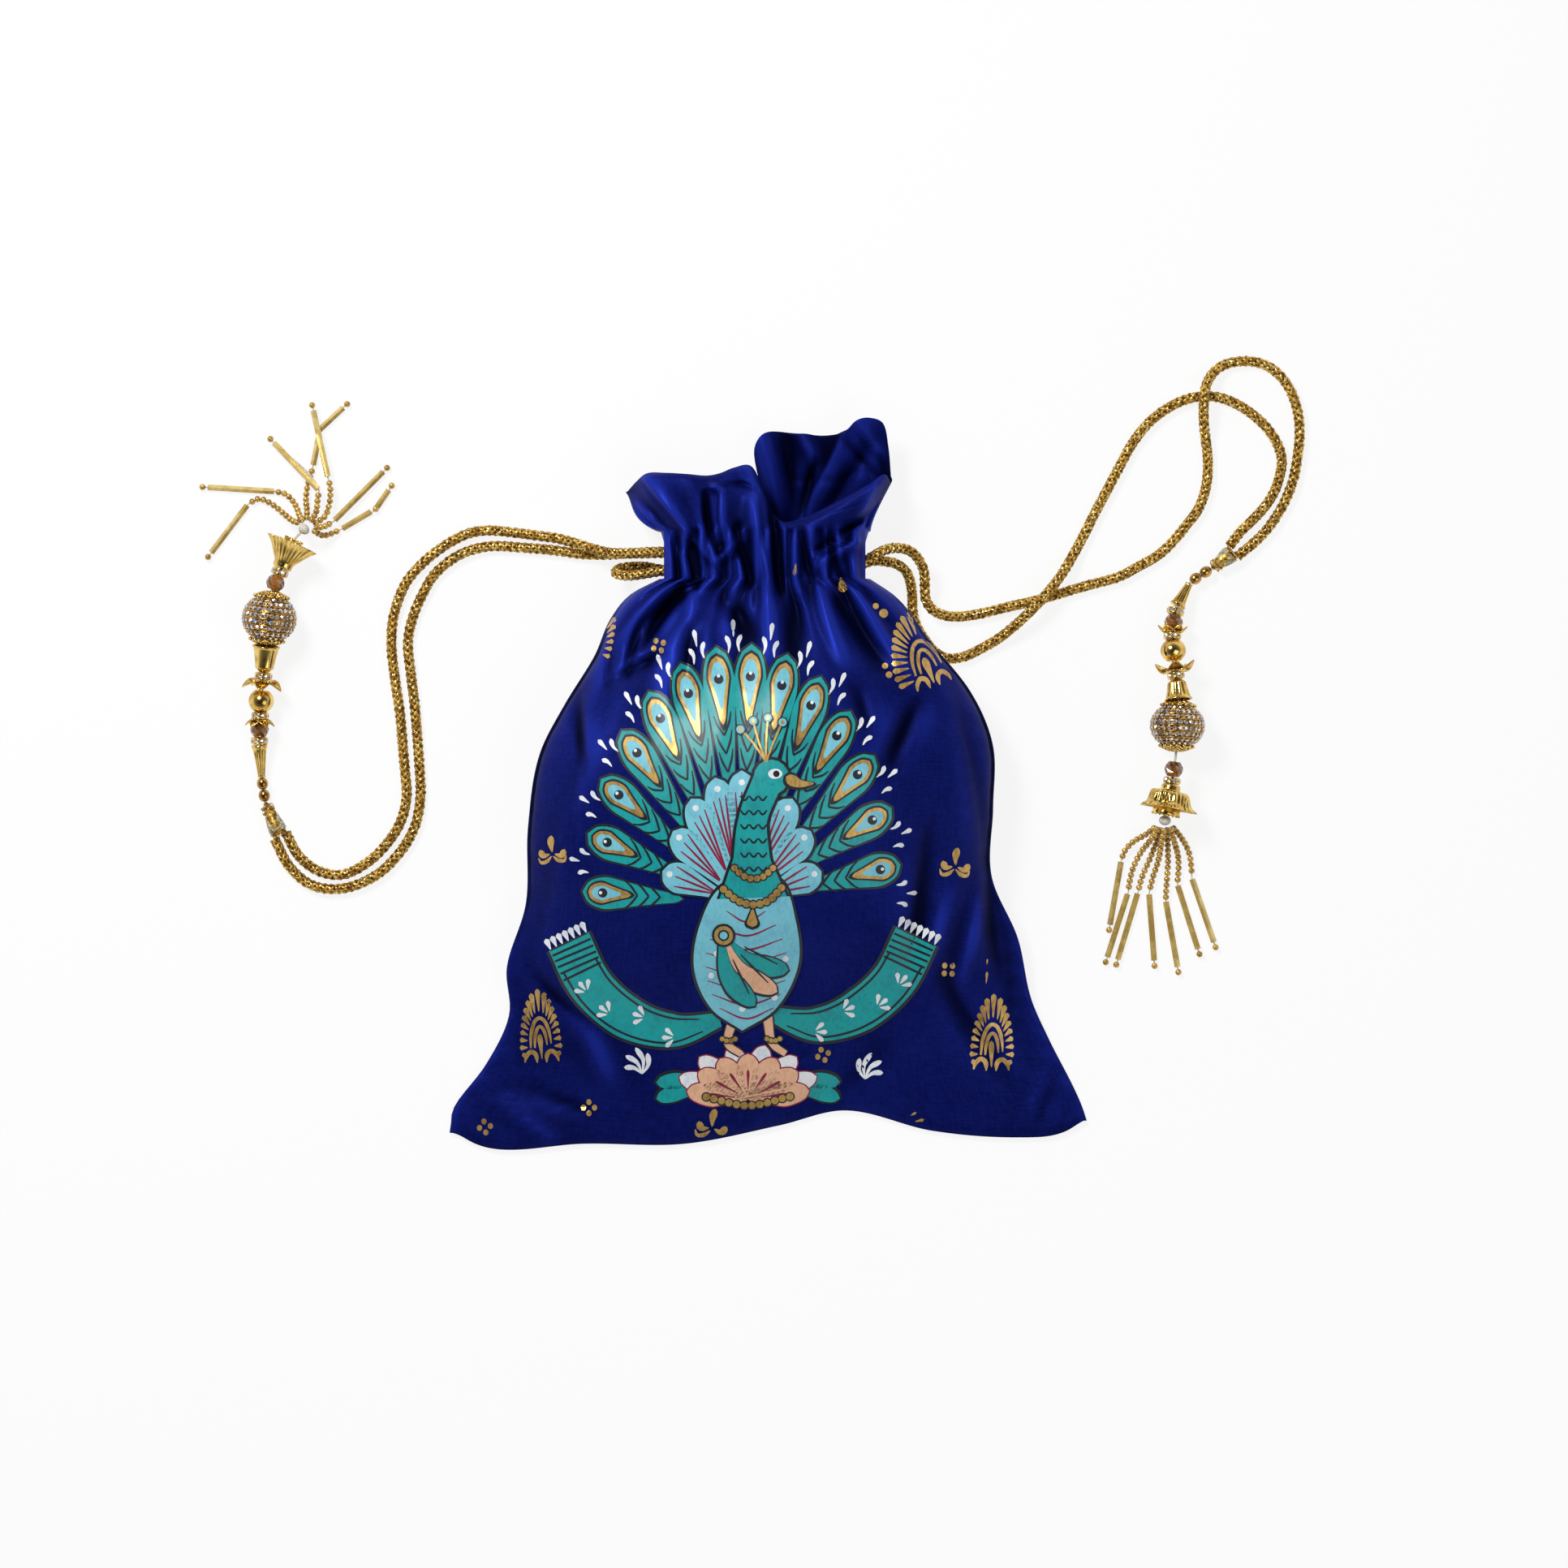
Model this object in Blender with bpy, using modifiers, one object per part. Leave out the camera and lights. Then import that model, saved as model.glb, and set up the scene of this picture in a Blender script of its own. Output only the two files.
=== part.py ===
"""A drawstring potli bag lying on its back, with its two drawcords and their bead tassels.

Metres, +Z up. The mouth points along +Y, the painted front faces up, and the origin is
on the table under the middle of the pouch.
"""

import math

import bmesh
import bpy
import numpy as np
from mathutils import Vector

MM = 0.001
SEAT_GAP = 0.3 * MM  # the clearance between pieces that touch

# Pouch cloth, seams and depths
CLOTH = 0.8 * MM
SEAM_ROLL = 2.4 * MM
BELLY_DEPTH = 56 * MM
NECK_WIDTH = 75 * MM
NECK_BACK = 1.2 * MM
NECK_FRONT = 25.5 * MM
NECK_END_BACK = 3.0 * MM
NECK_END_FRONT = 23.5 * MM
NECK_END_BULGE = 2.0 * MM
CHANNEL_LOW = 73.6 * MM
SLOT_HIGH = 87.0 * MM
CHANNEL_TOP = 90.5 * MM
GATHER_RISE = 2.6 * MM
GATHER_COUNT = 7
GATHER_REACH = 22 * MM
BACK_GATHER_RISE = 0.8 * MM
RUFFLE_LEAD = 14 * MM

# Drawcords
CORD_DIAMETER = 4.0 * MM
CORD_POINTS = 76
LEFT_CORD_ROW = 83.3 * MM
RIGHT_CORD_ROW = 76.7 * MM
CORD_EASE = 0.5 * MM

# The casing strip that closes the channel inside the neck
CASING = 0.8 * MM
CASING_LOW = 72.6 * MM
CASING_HIGH = 89.2 * MM
CASING_HEM = 1.4 * MM
CASING_END_EASE = 1.4 * MM

# Tassel pieces: radius across the thread and length along it
THREAD_RADIUS = 0.5 * MM
BORE = 0.9 * MM
SMALL_BEAD = (2.05 * MM, 4.1 * MM)
RONDELLE = (3.4 * MM, 2.3 * MM)
AMBER_BEAD = (3.4 * MM, 5.4 * MM)
GOLD_BALL = (4.6 * MM, 7.6 * MM)
CONE_RADII = (1.3 * MM, 2.7 * MM)
CONE_LENGTH = {"left": 11.8 * MM, "right": 9.2 * MM}
PETAL_CAP = (5.5 * MM, 2.2 * MM)
FLOWER_CAP = (7.4 * MM, 3.6 * MM)
BELL_CUP_RADII = (3.4 * MM, 5.1 * MM)
BELL_CUP_LENGTH = {"left": 9.4 * MM, "right": 7.4 * MM}
STONE_BALL_RADIUS = 10.4 * MM
STONE_BALL_LENGTH = {"left": 17.8 * MM, "right": 16.6 * MM}
LACE_CAP_RADIUS = 6.6 * MM
FLOWER_BELL_NECK = 3.1 * MM
FLOWER_BELL_MOUTH = {"left": 9.5 * MM, "right": 11.0 * MM}
FLOWER_BELL_LENGTH = {"left": 9.6 * MM, "right": 8.4 * MM}
MOUTH_TUBE_RADIUS = {"left": 3.5 * MM, "right": 5.1 * MM}
MOUTH_TUBE_SHOWS = {"left": 1.4 * MM, "right": 2.3 * MM}  # past the bell's mouth
SHEET_METAL = 0.5 * MM
WHIPPING_RADII = (3.2 * MM, 1.1 * MM)
FREE_THREAD = {"left": 0.3 * MM, "right": 3.6 * MM}
BEND_GAP = {"left": 0.0, "right": 0.7 * MM}  # more room where the thread turns

# Fringe
SEED_RADIUS = 1.2 * MM
BUGLE_RADIUS = 1.15 * MM
FRINGE_THREAD = 0.35 * MM
SEEDS_GROW = 5.0 * MM  # how fast its seeds reach full size
KNOT_RADIUS = 2.4 * MM
KNOT_HALF = 1.8 * MM
KNOT_BEHIND = 2.4 * MM  # from the knot's middle to the strands' roots

# Ring of the pouch grid: spaces across the front and the back, and rows up the body
ACROSS = 28
BODY_ROWS = 14
RUFFLE_ROWS = 6

# Sides of the body from the bottom corners up to the neck, in mm: x and y
LEFT_SIDE = [
    (-114.4, -127.0), (-111.5, -117.2), (-99.3, -100.8), (-90.9, -83.0), (-91.6, -66.0),
    (-84.6, -43.0), (-83.6, -15.3), (-79.2, 11.4), (-70.4, 28.7), (-59.8, 46.0),
    (-53.1, 60.5), (-45.5, 68.8), (-36.0, 73.6),
]
RIGHT_SIDE = [
    (114.4, -122.5), (111.5, -112.5), (101.2, -91.8), (94.8, -77.4), (89.7, -55.1),
    (80.2, -33.0), (80.6, -8.0), (80.4, 14.5), (72.6, 33.1), (57.7, 51.7),
    (45.0, 67.6), (36.0, 73.6),
]
BOTTOM_EDGE = [
    (-114.4, -127.0), (-96.0, -131.4), (-65.9, -129.4), (-28.9, -129.4), (5.6, -122.7),
    (28.7, -117.4), (60.2, -124.7), (90.2, -127.1), (108.0, -125.6), (114.4, -122.5),
]

# Section of the body by height, from 0 at the bottom seam to 1 at the neck
HEIGHT_KNOTS = [0.0, 0.1, 0.22, 0.36, 0.5, 0.64, 0.78, 0.9, 1.0]
CREST_SHARES = [0.043, 0.19, 0.43, 0.76, 0.95, 1.0, 0.9, 0.66, 0.455]
SIDE_HEIGHTS = [1.2, 1.6, 4.0, 10.0, 16.0, 19.0, 19.0, 16.5, 13.25]
DOME_POWERS = [2.4, 2.0, 1.35, 0.95, 0.75, 0.65, 0.6, 0.5, 0.45]

# Main valleys pressed into the front, in mm: two ends, depth and half width
VALLEY_STOP = 4 * MM  # how far under the channel they end, and over what length
VALLEY_FADE = 9 * MM
FRONT_VALLEYS = [
    ((-27.0, 70.0), (-50.0, 40.0), 7.0, 5.5),
    ((-62.5, 38.0), (-63.0, 12.0), 2.5, 4.5),
    ((-16.0, 66.0), (-9.0, 54.0), 3.0, 6.0),
    ((32.5, 36.0), (36.0, 22.0), 3.0, 6.0),
    ((55.0, 32.0), (44.0, 8.0), 3.0, 6.0),
    ((65.0, 38.0), (70.0, 3.0), 2.5, 5.0),
    ((-70.0, -80.0), (-50.0, -99.0), 3.5, 6.0),
    ((-104.0, -109.0), (-80.0, -115.0), 2.0, 5.0),
]

# Free edge of the ruffle, in mm: share across from left to right, then x, y and z
FRONT_RIM = [
    (0.0, -49.6, 105.0, 9.0), (0.05, -46.1, 108.5, 15.0), (0.10, -42.3, 111.2, 20.0),
    (0.17, -35.6, 111.3, 24.0), (0.25, -27.5, 110.8, 26.0), (0.33, -20.5, 110.3, 25.0),
    (0.39, -15.8, 111.2, 25.0), (0.45, -10.9, 113.2, 24.0), (0.50, -5.3, 114.1, 21.0),
    (0.53, -2.7, 111.0, 16.0), (0.55, -0.7, 105.3, 11.5), (0.57, 1.4, 98.5, 9.5),
    (0.59, 3.2, 95.2, 9.5), (0.61, 6.2, 94.2, 13.0), (0.65, 12.7, 95.0, 19.0),
    (0.72, 19.7, 98.0, 23.0), (0.81, 28.5, 102.4, 25.0), (0.90, 37.2, 107.4, 24.0),
    (0.96, 43.0, 110.9, 20.0), (1.0, 45.3, 108.0, 15.0),
]
BACK_RIM = [
    (0.0, -49.6, 105.0, 6.6), (0.05, -45.8, 105.6, 4.5), (0.16, -37.1, 106.2, 3.0),
    (0.27, -26.9, 105.6, 2.5), (0.38, -16.7, 103.9, 2.5), (0.48, -7.9, 100.5, 2.5),
    (0.54, -1.6, 97.0, 2.5), (0.57, 1.8, 97.0, 3.0), (0.59, -0.4, 104.0, 4.0),
    (0.605, -2.4, 112.0, 6.0), (0.62, -3.6, 119.0, 8.0), (0.64, -2.4, 123.7, 9.0),
    (0.67, 1.1, 126.6, 9.0), (0.72, 11.3, 126.2, 8.0), (0.78, 22.0, 125.4, 9.0),
    (0.83, 29.3, 127.0, 13.0), (0.86, 33.0, 130.4, 16.5), (0.89, 37.2, 131.4, 17.5),
    (0.92, 42.3, 129.6, 16.0), (0.96, 44.4, 120.8, 13.5), (1.0, 45.3, 110.5, 12.6),
]

# Free strands of the drawcords outside the neck, in mm: x, y and height of the middle
LEFT_UPPER_STRAND = [
    (-172.3, -17.6, 3.0), (-168.0, -25.5, 2.3), (-161.0, -31.0, 2.1), (-152.5, -32.5, 2.1),
    (-143.0, -28.0, 2.1), (-135.5, -20.5, 2.1), (-131.0, -13.0, 2.1), (-129.0, -4.0, 2.1),
    (-129.5, 3.5, 2.1), (-130.5, 15.0, 2.1), (-131.5, 26.5, 2.1), (-133.0, 36.5, 2.1),
    (-134.5, 51.5, 2.1), (-133.5, 61.5, 2.1), (-129.0, 73.0, 2.1), (-123.5, 79.5, 2.1),
    (-117.5, 84.5, 2.1), (-112.0, 88.0, 2.1), (-106.5, 90.5, 2.1), (-100.5, 91.5, 2.1),
    (-88.5, 90.5, 2.1), (-81.0, 89.5, 2.1), (-75.5, 88.8, 2.2), (-69.5, 87.3, 3.6),
    (-64.0, 85.5, 5.8), (-57.0, 83.5, 8.2), (-51.0, 83.0, 11.5), (-44.5, 83.1, 16.0),
    (-38.0, 83.3, 19.6),
]
LEFT_LOWER_STRAND = [
    (-38.0, 83.3, 6.2), (-44.5, 83.2, 4.2), (-51.0, 83.1, 2.7), (-56.5, 82.8, 2.1),
    (-62.0, 82.8, 2.1), (-67.5, 83.2, 2.1), (-73.0, 84.0, 2.1), (-79.5, 84.7, 2.1),
    (-87.0, 85.3, 2.1), (-99.0, 85.8, 2.1), (-104.5, 84.8, 2.1), (-110.0, 82.7, 2.1),
    (-115.5, 79.0, 2.1), (-119.5, 75.0, 2.1), (-122.5, 70.0, 2.1), (-126.5, 61.0, 2.1),
    (-128.5, 51.5, 2.1), (-127.5, 40.0, 2.1), (-126.0, 27.5, 2.1), (-125.0, 15.0, 2.1),
    (-124.3, 5.0, 2.1), (-124.0, -4.0, 2.1), (-126.0, -15.0, 2.1), (-131.5, -24.5, 2.1),
    (-140.5, -33.0, 2.1), (-152.5, -37.5, 2.1), (-163.0, -36.3, 2.1), (-171.0, -29.8, 2.3),
    (-176.4, -19.8, 3.0),
]
RIGHT_UPPER_STRAND = [
    (38.0, 81.2, 20.0), (43.0, 84.0, 18.0), (47.5, 84.8, 15.5), (52.0, 83.8, 13.0),
    (55.5, 80.5, 10.5), (57.3, 76.0, 8.2), (57.6, 70.5, 6.4), (58.0, 66.3, 5.6),
    (60.5, 62.8, 4.8), (65.0, 60.8, 3.3), (70.5, 60.5, 2.2), (77.5, 61.5, 2.1),
    (83.0, 62.8, 2.1), (89.0, 64.3, 2.1), (95.0, 65.6, 2.1), (100.0, 66.9, 2.1),
    (105.5, 68.5, 2.1), (111.0, 70.2, 2.1), (117.0, 71.9, 2.1), (128.0, 75.0, 2.1),
    (134.5, 78.5, 2.1), (141.5, 82.5, 2.1), (147.0, 87.5, 2.1), (151.5, 93.0, 2.1),
    (156.0, 99.0, 2.1), (158.5, 105.5, 2.1), (159.5, 112.0, 2.1), (159.5, 118.0, 2.1),
    (158.7, 124.5, 2.8), (158.0, 130.0, 4.8), (157.8, 136.0, 6.6), (158.3, 142.0, 6.4),
    (160.5, 147.0, 3.9), (164.5, 150.7, 2.3), (169.5, 152.2, 2.1), (175.0, 152.4, 2.1),
    (180.5, 151.0, 2.1), (185.0, 147.8, 2.1), (189.0, 142.5, 2.1), (191.5, 136.0, 2.1),
    (192.5, 130.0, 2.1), (192.5, 123.5, 2.1), (191.7, 117.0, 2.1), (190.5, 110.5, 2.1),
    (188.0, 103.5, 2.1), (184.5, 97.0, 2.1), (180.3, 91.2, 2.1), (175.5, 86.5, 2.3),
    (170.3, 82.3, 3.0),
]
RIGHT_LOWER_STRAND = [
    (38.0, 80.3, 6.2), (43.0, 80.3, 5.0), (47.5, 79.3, 3.8), (51.0, 76.5, 2.7),
    (52.6, 72.0, 2.2), (53.1, 67.5, 2.1), (53.2, 63.0, 2.1), (54.3, 58.0, 2.1),
    (57.2, 52.8, 2.1), (61.0, 48.0, 2.1), (65.5, 45.5, 2.1), (71.5, 46.0, 2.1),
    (78.0, 49.0, 2.1), (84.5, 52.8, 3.0), (90.0, 57.2, 4.9), (95.0, 61.8, 6.5),
    (99.5, 66.5, 6.9), (104.0, 71.8, 6.3), (108.0, 77.5, 4.4), (111.5, 83.5, 2.7),
    (115.0, 90.0, 2.1), (119.0, 98.0, 2.1), (123.0, 105.5, 2.1), (127.5, 114.0, 2.1),
    (132.5, 123.0, 2.1), (138.0, 130.0, 2.1), (145.0, 135.5, 2.1), (151.5, 138.6, 2.1),
    (157.0, 139.8, 2.1), (163.0, 139.5, 2.1), (169.0, 137.5, 2.1), (175.0, 133.8, 2.1),
    (180.5, 128.8, 2.1), (184.5, 122.8, 2.1), (186.2, 117.0, 2.1), (185.5, 111.5, 2.1),
    (183.5, 105.5, 2.1), (180.0, 100.0, 2.1), (175.8, 95.4, 2.1), (171.3, 91.0, 2.3),
    (167.4, 86.0, 3.0),
]
# The right cord's short loop out of the left slot, between the front and the back channel
LEFT_SLOT_LOOP = [
    (-33.0, 76.7, 21.6), (-38.5, 76.2, 20.2), (-44.5, 75.2, 18.6), (-50.0, 74.9, 15.8),
    (-53.3, 75.8, 11.6), (-52.6, 77.4, 8.2), (-48.0, 78.3, 6.3), (-43.0, 78.3, 6.0),
    (-38.0, 77.4, 6.2), (-33.0, 76.9, 5.2),
]

# Threads of the tassels from the whipping to the fringe, in mm
LEFT_THREAD = [
    (-179.8, -6.6, 3.2), (-181.0, 1.5, 3.7), (-181.8, 12.0, 4.8), (-181.6, 22.0, 6.1),
    (-180.9, 32.0, 7.3), (-179.9, 41.0, 8.5), (-178.9, 51.0, 9.8), (-177.9, 61.0, 10.9),
    (-176.9, 69.0, 10.8), (-174.8, 74.6, 10.3), (-172.2, 80.8, 9.9), (-169.2, 87.6, 9.7),
    (-166.8, 93.0, 9.5),
]
RIGHT_THREAD = [
    (161.0, 77.9, 3.2), (158.0, 76.1, 3.4), (154.6, 74.0, 3.6), (152.4, 71.8, 3.9),
    (150.3, 67.9, 4.5), (148.2, 63.8, 5.2), (146.9, 58.5, 6.1), (146.5, 52.0, 7.1),
    (147.0, 45.0, 8.0), (148.0, 36.5, 9.2), (148.7, 28.0, 10.4), (148.6, 19.5, 10.9),
    (147.3, 9.0, 10.8), (146.3, 2.0, 10.9), (145.0, -5.0, 11.2), (143.6, -12.5, 10.8),
]

# Fringe strands in mm: the seed chain's points from the root, then the bugles' ends
LEFT_FRINGE = [
    ([(-167.3, 93.9, 9.2), (-170.2, 95.1, 6.0), (-174.0, 98.2, 3.0), (-178.2, 101.4, 1.6),
      (-182.4, 102.9, 1.4), (-186.2, 101.0, 1.4)], [(-200.6, 82.0, 1.4)]),
    ([(-166.0, 94.4, 10.6), (-167.4, 97.0, 6.4), (-169.4, 101.3, 3.2), (-172.6, 104.6, 1.8),
      (-176.3, 105.6, 1.4)], [(-202.6, 107.2, 1.4)]),
    ([(-164.6, 95.0, 9.0), (-164.6, 98.2, 6.2), (-165.2, 102.4, 3.0), (-164.9, 107.0, 1.4),
      (-163.6, 111.5, 1.4), (-162.8, 114.6, 1.4)], [(-160.2, 128.0, 1.4), (-150.5, 137.1, 1.4)]),
    ([(-163.2, 94.2, 10.8), (-161.2, 98.0, 7.6), (-160.9, 102.2, 5.4), (-160.4, 105.8, 4.8)],
     [(-178.0, 124.4, 3.2)]),
    ([(-162.2, 93.4, 9.0), (-158.0, 96.8, 5.8), (-156.6, 101.6, 4.2), (-156.4, 107.0, 4.2),
      (-157.2, 110.4, 4.2)], [(-162.9, 136.5, 4.2)]),
    ([(-161.8, 92.2, 10.4), (-158.4, 92.8, 6.6), (-155.2, 94.8, 3.2)], [(-136.1, 114.1, 1.4)]),
    ([(-162.4, 91.5, 9.4), (-158.9, 89.6, 4.6), (-156.0, 90.4, 2.4), (-152.6, 92.0, 1.4)],
     [(-140.2, 99.3, 1.4), (-134.4, 107.7, 1.4)]),
]
RIGHT_FRINGE = [
    ([(140.6, -15.0, 9.6), (137.2, -17.8, 6.8), (132.4, -20.8, 3.0), (129.6, -24.0, 1.6),
      (128.4, -27.4, 1.4)], [(124.0, -52.4, 1.4)]),
    ([(141.4, -15.2, 11.6), (138.9, -19.6, 8.0), (135.0, -25.0, 3.4), (132.2, -31.5, 1.6),
      (130.8, -39.0, 1.4)], [(122.8, -64.0, 1.4)]),
    ([(142.4, -15.4, 8.8), (140.9, -20.6, 5.2), (138.6, -27.0, 2.0), (136.0, -33.0, 1.4),
      (134.4, -38.8, 1.4)], [(126.6, -64.9, 1.4)]),
    ([(143.4, -15.6, 12.0), (142.6, -20.4, 8.4), (141.6, -27.6, 3.4), (139.8, -33.4, 1.6),
      (138.4, -39.1, 1.4)], [(140.4, -65.3, 1.4)]),
    ([(144.3, -15.4, 8.8), (144.9, -20.6, 5.2), (145.2, -28.6, 1.8), (144.8, -35.0, 1.4),
      (144.4, -41.7, 1.4)], [(149.0, -67.6, 1.4)]),
    ([(145.3, -15.2, 11.6), (147.0, -20.0, 8.0), (148.8, -26.0, 3.2), (149.0, -31.0, 1.5),
      (148.6, -35.9, 1.4)], [(156.6, -61.1, 1.4)]),
    ([(146.2, -15.0, 9.4), (149.6, -18.8, 5.6), (152.6, -24.0, 2.0), (153.6, -29.0, 1.4),
      (153.8, -33.6, 1.4)], [(162.4, -58.6, 1.4)]),
]

for old in list(bpy.data.objects):
    bpy.data.objects.remove(old, do_unlink=True)

PARTS = bpy.data.collections.new("potli_bag")
bpy.context.scene.collection.children.link(PARTS)


# Materials
def material(name, colour, roughness, metallic=0.0):
    """A Principled BSDF in one colour."""
    made = bpy.data.materials.get(name)
    if made is None:
        made = bpy.data.materials.new(name)
        made.use_nodes = True
        shader = made.node_tree.nodes["Principled BSDF"]
        shader.inputs["Base Color"].default_value = (*colour, 1.0)
        shader.inputs["Roughness"].default_value = roughness
        shader.inputs["Metallic"].default_value = metallic
    return made


def satin():
    return material("blue_satin", (0.012, 0.018, 0.25), 0.45)


def zari():
    return material("gold_zari", (0.45, 0.24, 0.04), 0.4, 0.8)


def gold():
    return material("polished_gold", (0.78, 0.53, 0.18), 0.2, 1.0)


def amber():
    return material("amber_crystal", (0.35, 0.13, 0.02), 0.1)


def stones():
    return material("clear_stones", (0.75, 0.72, 0.65), 0.1, 0.5)


def seeds():
    return material("gold_glass", (0.62, 0.4, 0.1), 0.2, 0.6)


def white_thread():
    return material("white_thread", (0.7, 0.68, 0.6), 0.7)


# Curves through chosen points
def hermite(start, start_slope, end, end_slope, share):
    """The cubic that leaves start and reaches end with the given slopes."""
    square, cube = share**2, share**3
    return (
        (2 * cube - 3 * square + 1) * start
        + (cube - 2 * square + share) * start_slope
        + (3 * square - 2 * cube) * end
        + (cube - square) * end_slope
    )


def through(knots, values, at):
    """Smooth curve through values at knots, with the mean of the neighbouring slopes at each."""
    knots, values, at = np.asarray(knots, float), np.asarray(values, float), np.asarray(at, float)
    values = values.reshape(len(knots), -1)
    slopes = np.diff(values, axis=0) / np.diff(knots)[:, None]
    bends = np.vstack([slopes[:1], (slopes[:-1] + slopes[1:]) / 2, slopes[-1:]])
    piece = np.clip(np.searchsorted(knots, at, side="right") - 1, 0, len(knots) - 2)
    width = np.diff(knots)[piece][:, None]
    share = (at[:, None] - knots[piece][:, None]) / width
    return hermite(values[piece], bends[piece] * width, values[piece + 1], bends[piece + 1] * width, share)


def route(points, count):
    """Evenly spaced points on the smooth curve through a list of points."""
    points = np.asarray(points, float)
    steps = np.linalg.norm(np.diff(points, axis=0), axis=1)
    knots = np.concatenate([[0], np.cumsum(steps)])
    fine = through(knots, points, np.linspace(0, knots[-1], 24 * len(points)))
    walked = np.concatenate([[0], np.cumsum(np.linalg.norm(np.diff(fine, axis=0), axis=1))])
    even = np.linspace(0, walked[-1], count)
    return np.stack([np.interp(even, walked, fine[:, axis]) for axis in range(3)], axis=1)


# Making objects
def mesh_object(name, points, faces, finish):
    """A named mesh with its faces turned outwards."""
    mesh = bpy.data.meshes.new(name)
    shape = bmesh.new()
    corners = [shape.verts.new(Vector(point)) for point in points]
    for face in faces:
        shape.faces.new([corners[index] for index in face])
    bmesh.ops.recalc_face_normals(shape, faces=shape.faces)
    if shape.calc_volume(signed=True) < 0:
        bmesh.ops.reverse_faces(shape, faces=shape.faces)
    shape.to_mesh(mesh)
    shape.free()
    mesh.shade_smooth()
    mesh.materials.append(finish)
    made = bpy.data.objects.new(name, mesh)
    PARTS.objects.link(made)
    return made


def tube(name, points, radii, finish, resolution=2):
    """A round cord along points; its radius may change from point to point."""
    curve = bpy.data.curves.new(name, "CURVE")
    curve.dimensions = "3D"
    curve.bevel_depth = 1.0
    curve.bevel_resolution = resolution
    curve.use_fill_caps = True
    line = curve.splines.new("POLY")
    line.points.add(len(points) - 1)
    for spot, point, radius in zip(line.points, points, radii):
        spot.co = (*point, 1.0)
        spot.radius = radius
    curve.materials.append(finish)
    made = bpy.data.objects.new(name, curve)
    PARTS.objects.link(made)
    return made


def turned(name, outline, place, along, finish, sides=14, bore=BORE):
    """A turned piece on the thread: its outline gives radius and distance along, end to end."""
    start, end = outline[-1][1], outline[0][1]
    profile = list(outline) + [(bore, start), (bore, end)]
    mesh = bpy.data.meshes.new(name)
    edges = [(index, (index + 1) % len(profile)) for index in range(len(profile))]
    mesh.from_pydata([(radius, 0, height) for radius, height in profile], edges, [])
    mesh.materials.append(finish)
    made = bpy.data.objects.new(name, mesh)
    screw = made.modifiers.new("turn", "SCREW")
    screw.steps = sides
    screw.render_steps = sides
    screw.use_merge_vertices = True
    screw.merge_threshold = 0.00001
    screw.use_smooth_shade = True
    made.location = place
    made.rotation_mode = "QUATERNION"
    made.rotation_quaternion = Vector(along).to_track_quat("Z", "Y")
    PARTS.objects.link(made)
    return made


def petalled(name, rings, petals, place, along, finish, dips, sides=24):
    """A cupped flower of sheet metal: closed rings of radius and height, dipping between petals."""
    turn = np.arange(sides) * 2 * math.pi / sides
    between = 0.5 - 0.5 * np.cos(petals * turn)
    rows = []
    for (radius, height), dip in zip(rings, dips):
        spread = radius * (1 - dip * between)
        rows.append(np.stack([spread * np.cos(turn), spread * np.sin(turn), np.full(sides, height)], axis=1))
    faces = []
    for row in range(len(rows)):
        upper = (row + 1) % len(rows)
        for side in range(sides):
            beside = (side + 1) % sides
            faces.append((row * sides + side, row * sides + beside, upper * sides + beside, upper * sides + side))
    made = mesh_object(name, np.concatenate(rows), faces, finish)
    made.location = place
    made.rotation_mode = "QUATERNION"
    made.rotation_quaternion = Vector(along).to_track_quat("Z", "Y")
    return made


# The pouch
def plan(across, height):
    """Place on the table of a point of the panel, blended between its four edges."""
    left = np.array(LEFT_SIDE) * MM
    right = np.array(RIGHT_SIDE) * MM
    bottom = np.array(BOTTOM_EDGE) * MM
    share = (across[:, None] + 1) / 2
    left_knots = (left[:, 1] - left[0, 1]) / (left[-1, 1] - left[0, 1])
    right_knots = (right[:, 1] - right[0, 1]) / (right[-1, 1] - right[0, 1])
    bottom_knots = (bottom[:, 0] - bottom[0, 0]) / (bottom[-1, 0] - bottom[0, 0])
    level = np.array([height])
    left_here, right_here = through(left_knots, left, level), through(right_knots, right, level)
    bottom_here = through(bottom_knots, bottom, share[:, 0])
    straight = (1 - share) * bottom[0] + share * bottom[-1]
    return (1 - share) * left_here + share * right_here + (1 - height) * (bottom_here - straight)


def gathers(across):
    """Ridges of the drawn cloth: 0 in each valley, 1 on each ridge."""
    return np.sin(math.pi * GATHER_COUNT * (across + 1) / 2) ** 2


def valleys(spots):
    """Depth of the pressed valleys at places on the front."""
    depth = np.zeros(len(spots))
    for start, end, deep, wide in FRONT_VALLEYS:
        start, end = np.array(start) * MM, np.array(end) * MM
        line = end - start
        along = np.clip((spots - start) @ line / (line @ line), 0, 1)
        off = np.linalg.norm(spots - start - along[:, None] * line, axis=1)
        depth += deep * MM * np.exp(-((off / (wide * MM)) ** 2))
    return depth * np.clip((CHANNEL_LOW - VALLEY_STOP - spots[:, 1]) / VALLEY_FADE, 0, 1)


def ring_from(front, back, bulge):
    """One closed ring: the front from right to left, the left side, the back, the right side."""
    left_mid = (front[-1] + back[0]) / 2 - np.array([bulge, 0, 0])
    right_mid = (front[0] + back[-1]) / 2 + np.array([bulge, 0, 0])
    return np.vstack([front, left_mid, back, right_mid])


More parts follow.
